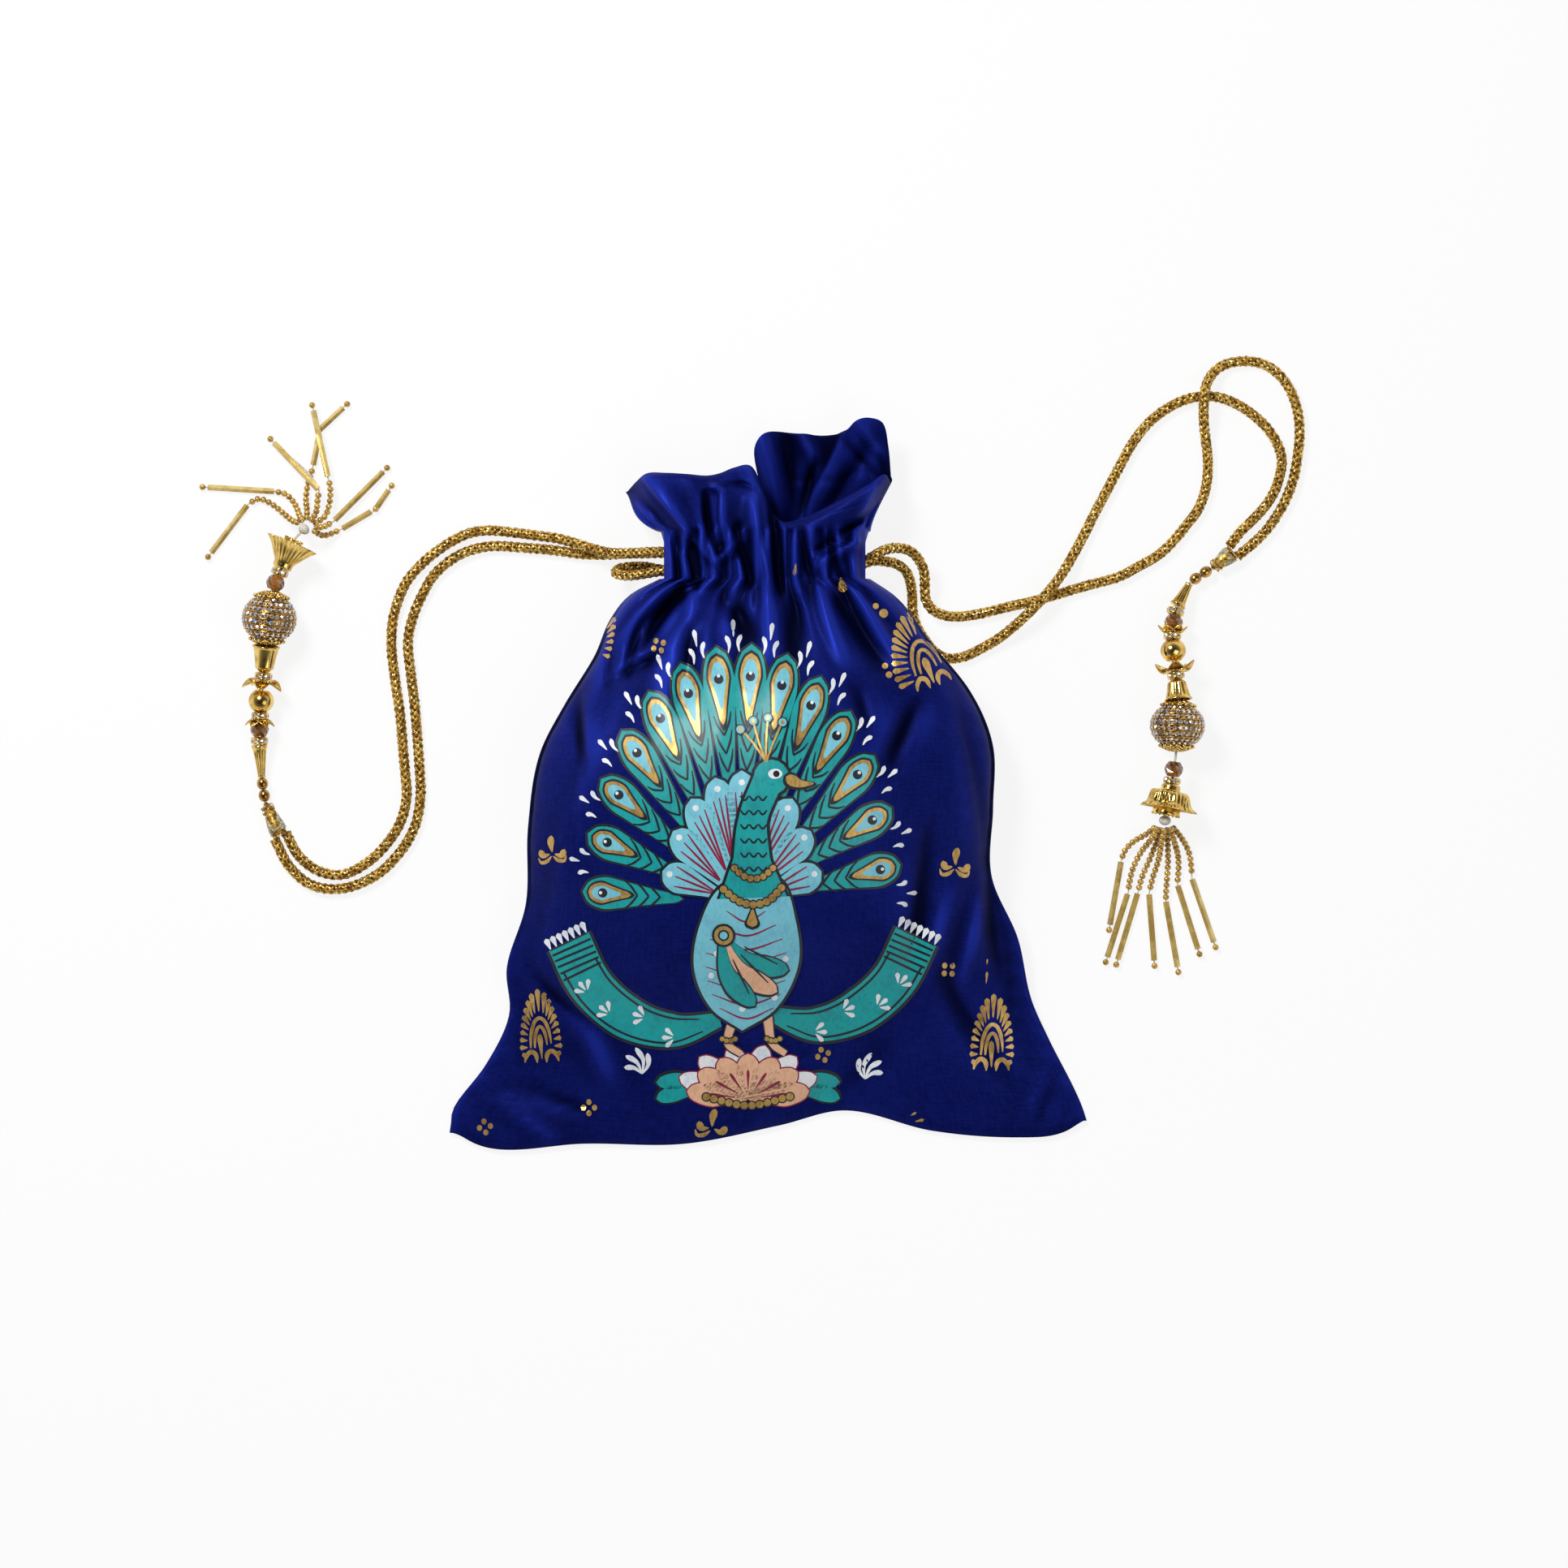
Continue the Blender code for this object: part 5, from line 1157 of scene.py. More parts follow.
# %% Build the two tassels
def tassel(side, thread_points, fringe):
    """Makes every piece of one tassel."""
    spot, stations = places_along(side, thread_points)
    whip_start = np.array(WHIPPING_START[side]) * MM
    pieces = {}

    def finish(name, heap, finishes, slot):
        pieces[name] = make(f"fine_{side}_{name}", heap, finishes, [f"{side}_{name}"])
        return pieces[name]

    finish("whipping", whipping(whip_start, stations[0]), [ZARI, BINDING], "zari_cord")
    for name in ("bead_1", "bead_2"):
        finish(name, round_bead(*spot[name][:2], BEAD_RADIUS, BEAD_RADIUS), [DEEP_GOLD], "polished_gold")
    finish("long_cone", long_cone(*spot["long_cone"][:2], CONE_LENGTH[side]), [GOLD], "polished_gold")
    for index in range(1, 5):
        name = f"rondelle_{index}"
        finish(name, rondelle(*spot[name][:2]), [GOLD, STONES], "clear_stones")
    for name in ("amber_bead_1", "amber_bead_2"):
        finish(name, cut_bead(*spot[name][:2], AMBER_RADIUS, AMBER_LENGTH / 2), [AMBER], "amber_crystal")
    gold_ball = round_bead(*spot["gold_ball"][:2], GOLD_BALL_RADIUS, GOLD_BALL_LENGTH / 2)
    finish("gold_ball", gold_ball, [GOLD], "polished_gold")

    place, axis, _ = spot["petal_cap"]
    heap = Heap()
    petals(heap, place, axis, 6, petal_grid(BORE, 5.3 * MM, 2.3 * MM, -2.1 * MM, 0.8 * MM))
    thick(finish("petal_cap", heap, [GOLD], "polished_gold"))
    place, axis, _ = spot["flower_cap"]
    heap = Heap()
    flower_petal = petal_grid(BORE, 7.3 * MM, 3.5 * MM, -2.6 * MM, 1.3 * MM)
    petals(heap, place + axis * FLOWER_CAP_LENGTH / 3, axis, 5, flower_petal, 0.3)
    thick(finish("flower_cap", heap, [GOLD], "polished_gold"))

    finish("bell_cup", bell_cup(side, *spot["bell_cup"][:2], CUP_LENGTH[side]), [GOLD], "polished_gold")
    place, axis, _ = spot["stone_ball"]
    finish("stone_ball", stone_ball(place, axis, BALL_LENGTH[side]), [DEEP_GOLD, STONES], "clear_stones")
    for name, way in (("lace_cap_1", -1), ("lace_cap_2", 1)):
        finish(name, lace_cap(place, axis, way, BALL_LENGTH[side] / 2), [GOLD], "polished_gold")
    _, axis, start = spot["flower_bell"]
    thick(finish("flower_bell", flower_bell(side, start, axis), [GOLD], "polished_gold"), BELL_WALL)
    place, axis, _ = spot["mouth_tube"]
    length = BELL_LENGTH[side] - strung_pieces(side)[-2][2] + TUBE_SHOWS[side]
    finish("mouth_tube", mouth_tube(place, axis, TUBE_RADIUS[side], length), [GOLD], "polished_gold")

    roots = np.mean([chain[0] for chain, _ in fringe], axis=0) * MM
    along = unit(roots - stations[-1])
    knot = roots - along * KNOT_BEHIND
    heap = Heap()
    line = np.vstack([stations, knot - along * KNOT_LEAD, knot])
    thread_path = route(line, 160)
    heap.add(tube_grid(thread_path, THREAD_PULLED))
    fit(heap, ball_grid(KNOT_RADIUS, 8, 12, 0.8), knot, along)
    thread = finish("thread", heap, [WHITE_THREAD], "binding_thread")
    for index, (chain, bugles) in enumerate(fringe):
        finish(f"fringe_{index + 1}", fringe_strand(chain, bugles),
               [SEED_GLASS, BUGLE_GLASS, WHITE_THREAD], "gold_glass")


tassel("left", LEFT_THREAD, LEFT_FRINGE)
tassel("right", RIGHT_THREAD, RIGHT_FRINGE)

# %% [markdown]
# The pouch is one closed ring of cloth at each height: the front panel from right to left, the
# left side, the back panel and the right side. The panels' plan is blended between four drawn
# edges, and the front swells in a dome. At the neck the rings stand still, and above the channel
# they fan out to the free edge of the ruffle. All of this repeats the frame's outline.

# %% Outline of the pouch
LEFT_SIDE = [
    (-114.4, -127), (-111.5, -117.2), (-99.3, -100.8), (-90.9, -83), (-91.6, -66),
    (-84.6, -43), (-83.6, -15.3), (-79.2, 11.4), (-70.4, 28.7), (-59.8, 46),
    (-53.1, 60.5), (-45.5, 68.8), (-36, 73.6),
]
RIGHT_SIDE = [
    (114.4, -122.5), (111.5, -112.5), (101.2, -91.8), (94.8, -77.4), (89.7, -55.1),
    (80.2, -33), (80.6, -8), (80.4, 14.5), (72.6, 33.1), (57.7, 51.7),
    (45, 67.6), (36, 73.6),
]
BOTTOM_EDGE = [
    (-114.4, -127), (-96, -131.4), (-65.9, -129.4), (-28.9, -129.4), (5.6, -122.7),
    (28.7, -117.4), (60.2, -124.7), (90.2, -127.1), (108, -125.6), (114.4, -122.5),
]
HEIGHT_KNOTS = [0.0, 0.1, 0.22, 0.36, 0.5, 0.64, 0.78, 0.9, 1.0]
CREST_SHARES = [0.043, 0.19, 0.43, 0.76, 0.95, 1.0, 0.9, 0.66, 0.455]
SIDE_HEIGHTS = [1.2, 1.6, 4.0, 10.0, 16.0, 19.0, 19.0, 16.5, 13.25]
DOME_POWERS = [2.4, 2.0, 1.35, 0.95, 0.75, 0.65, 0.6, 0.5, 0.45]
FRONT_RIM = [
    (0, -49.6, 105, 9), (0.05, -46.1, 108.5, 15), (0.10, -42.3, 111.2, 20),
    (0.17, -35.6, 111.3, 24), (0.25, -27.5, 110.8, 26), (0.33, -20.5, 110.3, 25),
    (0.39, -15.8, 111.2, 25), (0.45, -10.9, 113.2, 24), (0.50, -5.3, 114.1, 21),
    (0.53, -2.7, 111, 16), (0.55, -0.7, 105.3, 11.5), (0.57, 1.4, 98.5, 9.5),
    (0.59, 3.2, 95.2, 9.5), (0.61, 6.2, 94.2, 13), (0.65, 12.7, 95, 19),
    (0.72, 19.7, 98, 23), (0.81, 28.5, 102.4, 25), (0.90, 37.2, 107.4, 24),
    (0.96, 43, 110.9, 20), (1, 45.3, 108, 15),
]
BACK_RIM = [
    (0, -49.6, 105, 6.6), (0.05, -45.8, 105.6, 4.5), (0.16, -37.1, 106.2, 3),
    (0.27, -26.9, 105.6, 2.5), (0.38, -16.7, 103.9, 2.5), (0.48, -7.9, 100.5, 2.5),
    (0.54, -1.6, 97, 2.5), (0.57, 1.8, 97, 3), (0.59, -0.4, 104, 4),
    (0.605, -2.4, 112, 6), (0.62, -3.6, 119, 8), (0.64, -2.4, 123.7, 9),
    (0.67, 1.1, 126.6, 9), (0.72, 11.3, 126.2, 8), (0.78, 22, 125.4, 9),
    (0.83, 29.3, 127, 13), (0.86, 33, 130.4, 16.5), (0.89, 37.2, 131.4, 17.5),
    (0.92, 42.3, 129.6, 16), (0.96, 44.4, 120.8, 13.5), (1, 45.3, 110.5, 12.6),
]
SEAM_ROLL = 2.4 * MM
BELLY_DEPTH = 56 * MM
NECK_END_BACK = 3.0 * MM
NECK_END_FRONT = 23.5 * MM
NECK_END_BULGE = 2.0 * MM
CHANNEL_LOW = 73.6 * MM
SLOT_HIGH = 87.0 * MM
CHANNEL_TOP = 90.5 * MM
NECK_FROM = 0.82
RUFFLE_LEAD = 14 * MM
RIM_BULGE = 0.4 * MM
RIM_DIP = 8 * MM
NECK_SWELL = 2.6 * MM
PLEATS_KEPT, PLEATS_END = 0.9, 0.2
SLOT_ROWS_GROWN = (0.1, 0.6)
HEM_ROWS = 15
HEM_GROOVE = 0.5 * MM
HEM_FROM = 8 * MM
LEFT_FLARE, FLARE_FROM, FLARE_OVER = 34 * MM, -22 * MM, 15 * MM
PUCKER_HIGH, PUCKER_STEP, PUCKER_DRIFT = 0.35 * MM, 1.5 * MM, 13 * MM
BACK_GATHERS, BACK_GATHER_HIGH, BACK_GATHER_REACH = 7, 0.8 * MM, 22 * MM
CORNER_SPREAD = 8 * MM
LEFT_BLUNT, RIGHT_BLUNT = (2.0, 1.5), (0.4, 1.4)
ACROSS = 150
SIDE_STEPS = 5
BODY_ROWS = 96
BODY_SPACING = 0.85
EVEN_SPACING = 0.45
BLEND_ROWS = 14
RIM_ROWS = 4
NECK_ROWS = 12
RUFFLE_ROWS = 34
END_COLUMNS = 10
RELIEF_PASSES = 40
SOFT_BEND = 0.6 * MM
OVER_CORDS = 0.2 * MM
FLOOR_FROM, FLOOR_RISES, FLOOR_TO, FLOOR_FALLS = 67 * MM, 5 * MM, 97 * MM, 6 * MM
FLOOR_DROP = 20 * MM
LOWEST_FOLD = 1.0 * MM

# %% [markdown]
# Folds are what make cloth look like cloth. Each one is a line in plan with a height in its
# middle: a ridge if it is above zero, a valley if below. It fades to nothing at both ends and to
# each side like a bell curve. Two widths make a lapped fold: wide on the left of its line and
# steep on the right, or the other way about. The gathers are ridges that start at the drawn neck
# and run down the cloth, each with its own height, width and reach.

# %% Folds
BODY_FOLDS = [
    ([(-25, 72), (-31, 66), (-38, 58), (-44, 49)], -7.5, 2, 3.2),
    ([(-36, 66), (-44, 57), (-47.5, 48), (-49, 40)], -4.6, 2.2, 1.6),
    ([(-37, 46), (-45, 42.5), (-54, 37)], -4.4, 3.6, 1.6),
    ([(-48, 60), (-54.5, 50), (-56, 36)], -2.6, 1.8),
    ([(-35, 70), (-46, 60), (-57, 46), (-61, 30)], 2.4, 2.4),
    ([(-66.5, 32), (-65.5, 20), (-63.5, 6)], -3.4, 1.4, 3.4),
    ([(-24, 62), (-35, 46), (-41, 30)], 2.4, 4.6, 2.6),
    ([(-27.5, 62), (-27.5, 43.3), (-30, 28)], -3, 3.2),
    ([(-62.4, 40), (-63, 13.6), (-66, -12)], 1.8, 7, 2),
    ([(-70, -8), (-74, -40), (-84, -78)], 1.5, 7, 3),
    ([(-14.5, 69), (-11, 61), (-4, 54)], -4.4, 3.8),
    ([(-20, 60), (-21, 46), (-19, 30)], 2, 4),
    ([(4, 72), (1, 52), (-4, 34)], 2.2, 4),
    ([(10.5, 72), (11, 56), (9, 40)], -2.2, 3.6),
    ([(18, 74), (22, 58), (28, 42)], 2.4, 3.6),
    ([(25.5, 70), (33, 57), (41, 43)], -3.6, 3.4),
    ([(34, 66), (44, 52), (54, 38)], 2.2, 3.2),
    ([(31.5, 37), (34, 29), (36.5, 18)], -3, 4),
    ([(56, 33), (50, 21), (43, 6)], -3.4, 3.6),
    ([(62, 44), (66.3, 24), (70.4, 10.7), (75, -16), (80, -50), (86, -78)], 2.2, 2.6, 9),
    ([(71, 22), (76, -4), (82, -36), (92, -76)], -2.4, 3.6),
    ([(-84, -66), (-74, -77), (-63, -86)], -4.4, 3.4, 2.4),
    ([(-72, -80), (-62, -91), (-55, -106)], 3.6, 4.2),
    ([(-94, -82), (-90, -90), (-88, -99)], -3.4, 2.4),
    ([(-110, -102), (-92, -99), (-76, -101)], -3.6, 2.2, 3.4),
    ([(-110, -105), (-88, -109.5), (-62, -117)], -5.4, 3.4, 2.4),
    ([(-110, -108), (-93, -116.5), (-76, -127)], 5, 2.8),
    ([(58, -16), (56, -34), (52, -64)], -3.2, 5, 3),
    ([(69, -34), (64.5, -46), (57, -68)], 2.8, 4),
    ([(79, -30), (76.5, -46), (70, -70)], 4, 3.4, 2.6),
    ([(79.5, -26), (80.5, -48), (84, -68)], -4.6, 1.8, 3),
    ([(85, -42), (89, -70), (96, -100)], -5, 6),
    ([(64, -68), (71, -82), (88, -106)], -3.8, 3.4, 5),
    ([(103, -96), (99, -107), (94, -120)], 5.4, 2.2),
    ([(107, -97), (103, -108), (98, -121)], -4.4, 1.5),
    ([(112, -102), (107, -112), (101, -125)], 5.4, 2.4),
    ([(-30, -112), (0, -104), (34, -104)], 1, 7),
    ([(10, -119), (28, -108), (44, -92)], -1.4, 5),
]
NECK_FOLDS = [
    ([(-44, 110.4), (-31.8, 95.1), (-19, 79.4)], 4.2, 6, 0.8),
    ([(-47.5, 106), (-36, 92), (-24, 77)], -4.6, 2.4),
    ([(-21.4, 104), (-20.4, 94), (-16.7, 82)], -5.5, 1.5, 1.1),
    ([(-15.6, 104), (-15.4, 94), (-13.2, 83)], 3.6, 2.8, 0.9),
    ([(-20.5, 105.4), (-18.4, 106.2), (-15.4, 105)], 3, 1.4),
    ([(-12.5, 107), (-8, 107.6), (-3, 105)], -2.8, 0.9, 2.4),
    ([(-9.4, 92), (-8.4, 84), (-4.6, 71)], -5, 1.5),
    ([(-3.4, 103), (-2.6, 94), (-0.6, 82), (2, 70)], 5.4, 1.3, 3.6),
    ([(2.6, 99), (3.8, 88), (4.6, 79), (6, 69)], -6.5, 1.7),
    ([(-17.5, 79), (-13, 83.5), (-8.8, 87.5)], 4, 1.6),
    ([(-27, 84), (-24.5, 76), (-23.5, 66)], -4.4, 1.5),
    ([(-33.5, 86), (-31, 78), (-30, 68)], -2.6, 1.4),
    ([(-30, 88), (-27.5, 78), (-26.5, 67)], 2.6, 1.8),
    ([(10.5, 88), (10.6, 79), (11.5, 66)], 3, 2.4, 1.2),
    ([(15, 87), (15.6, 79), (18.1, 66)], -4.6, 1.5),
    ([(19.5, 83), (21, 76), (24, 66)], 3, 1.8),
    ([(24.5, 84), (26.4, 76), (29.5, 66)], -4, 1.4),
    ([(29.5, 86), (31, 79), (34, 68)], 2.8, 1.7),
    ([(12, 90), (28, 99), (44, 108.5)], 3.4, 1.2, 4),
    ([(18, 83.6), (31, 91.8), (46, 102.2)], -6.4, 1.7, 1.2),
    ([(20, 79.6), (33, 87.2), (46, 98.6)], 4.6, 1, 2.8),
]
BACK_FOLDS = [
    ([(-1, 126), (2, 112), (6.6, 92)], 4.6, 3, 3.4),
    ([(7.6, 125), (9.4, 112), (11.2, 97)], -2.6, 2.4),
    ([(13, 126), (16.4, 119), (17.6, 112)], 2.6, 2.6, 1.6),
    ([(18, 116), (15.6, 106), (13.6, 95)], -5, 1.3, 1.8),
    ([(29.4, 127), (21, 110), (12.7, 94)], 3.4, 7, 0.8),
    ([(38, 124), (31, 112), (22, 99)], -3, 3),
    ([(31.5, 131), (37, 124), (43, 117)], 2.4, 2.4, 0.9),
    ([(29, 123), (34, 117.6), (40, 111)], -2.2, 1.5),
]
GATHERS = [
    (-0.93, 2.4, 0.045, 22), (-0.79, 3.6, 0.060, 30), (-0.62, 2.2, 0.036, 16), (-0.50, 4, 0.055, 34),
    (-0.34, 1.8, 0.030, 14), (-0.23, 3.8, 0.050, 38), (-0.08, 2.2, 0.034, 18), (0.04, 4.2, 0.055, 34),
    (0.20, 1.8, 0.030, 14), (0.30, 3, 0.040, 24), (0.45, 3.9, 0.055, 32), (0.61, 2, 0.030, 16),
    (0.73, 3.6, 0.055, 34), (0.90, 2.6, 0.048, 22),
]


def folded(spots, folds):
    """Height added at places in plan: deep * exp(-(off / wide)^2) * sin(pi share)^0.6."""
    added = np.zeros(len(spots))
    for line, deep, *widths in folds:
        line = route(np.array(line) * MM, 12)
        run = run_of(line)
        nearest, share, left = np.full(len(spots), np.inf), np.zeros(len(spots)), np.zeros(len(spots), bool)
        for start, end, begun in zip(line[:-1], line[1:], run[:-1]):
            way, reach = end - start, spots - start
            along = np.clip(reach @ way / (way @ way), 0, 1)
            off = np.linalg.norm(reach - along[:, None] * way, axis=1)
            closer = off < nearest
            nearest = np.where(closer, off, nearest)
            share = np.where(closer, (begun + along * np.linalg.norm(way)) / run[-1], share)
            left = np.where(closer, way[0] * reach[:, 1] > way[1] * reach[:, 0], left)
        fade = np.clip(np.sin(np.pi * (0.06 + 0.88 * share)), 0, 1) ** 0.6
        wide = np.where(left, widths[0], widths[-1]) * MM
        added += deep * MM * fade * np.exp(-((nearest / wide) ** 2))
    return added


def gathered(across, below_neck):
    """Ridges down from the neck; each fades as exp(-(below / reach)) and widens a little."""
    added = np.zeros_like(across)
    for middle, high, wide, reach in GATHERS:
        spread = wide * (1 + 0.35 * np.clip(below_neck / (40 * MM), 0, 1))
        added += high * MM * np.exp(-below_neck / (reach * MM)) * np.exp(-(((across - middle) / spread) ** 2))
    return added


# %% The pouch's rings
def plan(across, height):
    """Place on the table of a point of the panel, blended between its four edges."""
    left, right, bottom = (np.array(edge) * MM for edge in (LEFT_SIDE, RIGHT_SIDE, BOTTOM_EDGE))
    share = (across[:, None] + 1) / 2
    left_knots = (left[:, 1] - left[0, 1]) / (left[-1, 1] - left[0, 1])
    right_knots = (right[:, 1] - right[0, 1]) / (right[-1, 1] - right[0, 1])
    bottom_knots = (bottom[:, 0] - bottom[0, 0]) / (bottom[-1, 0] - bottom[0, 0])
    level = np.array([height])
    left_here, right_here = through(left_knots, left, level), through(right_knots, right, level)
    bottom_here = through(bottom_knots, bottom, share[:, 0])
    straight = (1 - share) * bottom[0] + share * bottom[-1]
    return (1 - share) * left_here + share * right_here + (1 - height) * (bottom_here - straight)


def blunted(spots):
    """Plan points drawn in near the two bottom corners by blunt * exp(-(distance / spread)^2)."""
    for edge, way in ((LEFT_SIDE, LEFT_BLUNT), (RIGHT_SIDE, RIGHT_BLUNT)):
        corner = np.array(edge[0]) * MM
        near = np.exp(-((np.linalg.norm(spots - corner, axis=1) / CORNER_SPREAD) ** 2))
        spots = spots + near[:, None] * np.array(way) * MM
    return spots


def ring_from(front, back, bulge):
    """One closed ring: the front from right to left, the left side, the back, the right side."""
    share = np.arange(1, SIDE_STEPS + 1)[:, None] / (SIDE_STEPS + 1)
    swing = np.sin(np.pi * share) * np.array([bulge, 0, 0])
    left = front[-1] * (1 - share) + back[0] * share - swing
    right = back[-1] * (1 - share) + front[0] * share + swing
    return np.vstack([front, left, back, right])


def held_up(heights, floor):
    """Heights kept above a floor, with a soft bend where they meet it."""
    above = heights - floor
    return floor + 0.5 * (above + np.sqrt(above**2 + SOFT_BEND**2))


def body_ring(height, dressed=True):
    """Ring of the body at a height share: a dome over a flat back, folded and gathered."""
    level = np.array([height])
    crest = through(HEIGHT_KNOTS, CREST_SHARES, level)[0, 0] * BELLY_DEPTH
    side = through(HEIGHT_KNOTS, SIDE_HEIGHTS, level)[0, 0] * MM
    power = through(HEIGHT_KNOTS, DOME_POWERS, level)[0, 0]
    neckness = np.clip((height - NECK_FROM) / (1 - NECK_FROM), 0, 1) ** 2
    half_roll = SEAM_ROLL / 2 + neckness * ((NECK_END_FRONT - NECK_END_BACK) / 2 - SEAM_ROLL / 2)
    even = np.linspace(1, -1, ACROSS + 1)
    across = EVEN_SPACING * even + (1 - EVEN_SPACING) * np.sin(even * math.pi / 2)
    spots = blunted(plan(across, height))
    dome = (1 - np.abs(across) ** (2 + 4 * neckness)) ** power
    below_neck = (1 - height) * (CHANNEL_LOW - BOTTOM_EDGE[0][1] * MM)
    inside = dome**0.5
    front_height = side + half_roll + (crest - side - half_roll) * dome
    if dressed:
        front_height = front_height + gathered(across, below_neck) * np.minimum(1, inside * 1.3)
        front_height += folded(spots, BODY_FOLDS) * inside
    edge = np.clip((np.abs(across) - 0.86) / 0.12, 0, 1) * np.clip(height / 0.08, 0, 1) * (1 - neckness)
    wander = 3 * np.sin(spots[:, 1] / PUCKER_DRIFT)
    front_height += PUCKER_HIGH * edge * np.sin(spots[:, 1] / PUCKER_STEP + wander)
    front_height = np.maximum(front_height, side + half_roll * 0.6)
    lift = NECK_BACK * neckness
    rising = np.clip((np.abs(across) - 0.7) / 0.3, 0, 1) ** 1.5
    drawn = BACK_GATHER_HIGH * math.exp(-below_neck / BACK_GATHER_REACH) * neckness
    back_gathers = drawn * np.sin(math.pi * BACK_GATHERS * (across + 1) / 2) ** 2
    back_height = lift + (side - half_roll - lift) * rising - back_gathers
    front = np.column_stack([spots, front_height])
    back = np.column_stack([spots, back_height])[::-1]
    return ring_from(front, back, SEAM_ROLL / 2 + neckness * (NECK_END_BULGE - SEAM_ROLL / 2))


def ruffle_rings(neck):
    """Rings above the channel: cubics from the neck to the free edge, whose pleats soon fade."""
    base = neck.copy()
    base[:, 1] = CHANNEL_TOP
    even = (np.linspace(1, -1, ACROSS + 1) + 1) / 2
    front_rim, back_rim = np.array(FRONT_RIM), np.array(BACK_RIM)
    front = through(front_rim[:, 0], front_rim[:, 1:] * MM, even)
    back = through(back_rim[:, 0], back_rim[:, 1:] * MM, even[::-1])
    rim = ring_from(front, back, RIM_BULGE)
    lead, rise = np.tile([0, RUFFLE_LEAD, 0], (len(rim), 1)), np.zeros((len(rim), 3))
    lead[:, 0] -= LEFT_FLARE * np.clip((FLARE_FROM - base[:, 0]) / FLARE_OVER, 0, 1)
    rise[: ACROSS + 1, 2] = -RIM_DIP
    pleats = np.zeros_like(base)
    pleats[: ACROSS + 1, 2] = PLEATS_KEPT * MM * relief(base[None])[0, : ACROSS + 1]
    calm = base - pleats
    rings = [base]
    for share in np.linspace(0, 1, RUFFLE_ROWS + 1)[1:]:
        ring = hermite(calm, lead, rim, (rim - calm) * 0.8 + rise, share)
        rings.append(ring + pleats * max(0.0, 1 - share / PLEATS_END) ** 2)
    return rings


def draw_in(ring, grown):
    """Moves the sides of a ring above the slots in; grown is the share of their bulge that stays."""
    end = abs(ring[ACROSS, 0])
    out = np.abs(ring[:, 0]) > end
    ring[out, 0] -= (1 - grown) * (ring[out, 0] - np.sign(ring[out, 0]) * end)


def from_the_ends():
    """0 at both ends of a panel, and 1 from a few columns in."""
    column = np.arange(ACROSS + 1)
    return np.clip(np.minimum(column, column[::-1]) / END_COLUMNS, 0, 1)[None]


def swell_neck(upper):
    """Swells and folds the front of the upper rows; this fades in from below and at the rim."""
    rows, columns = upper.shape[:2]
    fade = np.ones(rows)
    fade[:BLEND_ROWS] = np.linspace(0, 1, BLEND_ROWS) ** 2
    fade[-RIM_ROWS:] = np.linspace(1, 0.5, RIM_ROWS)
    fade = np.repeat(fade[:, None], columns, axis=1)
    fade[:, ACROSS + 1:] = 0
    fade[:, : ACROSS + 1] *= from_the_ends()
    neck_folds = folded(upper[..., :2].reshape(-1, 2), NECK_FOLDS).reshape(rows, columns)
    upper[..., 2] += (NECK_SWELL + neck_folds) * fade


def keep_over_cords(front):
    """Holds the front above the cords in the channel; elsewhere the floor drops away."""
    low, high = (front[..., 1] - FLOOR_FROM) / FLOOR_RISES, (FLOOR_TO - front[..., 1]) / FLOOR_FALLS
    over_cords = np.clip(low, 0, 1) * np.clip(high, 0, 1)
    floor = body_ring(1.0, False)[: ACROSS + 1, 2][None] + OVER_CORDS - (1 - over_cords) * FLOOR_DROP
    front[..., 2] = held_up(front[..., 2], floor)


def fold_back_lobe(inner):
    """Folds the back panel's part of the ruffle, and keeps it off the table."""
    grow = np.clip(np.linspace(0, 2.4, len(inner)), 0, 1)[:, None] * from_the_ends()
    lift = folded(inner[..., :2].reshape(-1, 2), BACK_FOLDS).reshape(inner.shape[:2]) * grow
    inner[..., 2] = np.maximum(inner[..., 2] + lift, LOWEST_FOLD)


def pouch_rings():
    """Rings from the bottom seam to the free edge, and the rows where the side slots begin and end."""
    rings = [body_ring(height) for height in np.linspace(0, 1, BODY_ROWS + 1) ** BODY_SPACING]
    neck = rings[-1]
    slot_low = len(rings) - 1
    for share in np.linspace(0, 1, NECK_ROWS + 1)[1:]:
        ring = neck.copy()
        ring[:, 1] = CHANNEL_LOW + (SLOT_HIGH - CHANNEL_LOW) * share
        rings.append(ring)
    slot_high = len(rings) - 1
    rings = np.array(rings + ruffle_rings(neck))
    for step, grown in enumerate(SLOT_ROWS_GROWN):
        draw_in(rings[slot_high + step], grown)
    upper = rings[slot_low - BLEND_ROWS:]
    swell_neck(upper)
    hem = rings[-HEM_ROWS - 1:-HEM_ROWS + 1]
    hem[..., 2] -= HEM_GROOVE * (hem[..., 0] > HEM_FROM)
    keep_over_cords(upper[:, : ACROSS + 1])
    first = ACROSS + 1 + SIDE_STEPS
    fold_back_lobe(rings[slot_high + 1:, first:first + ACROSS + 1])
    return rings, slot_low, slot_high


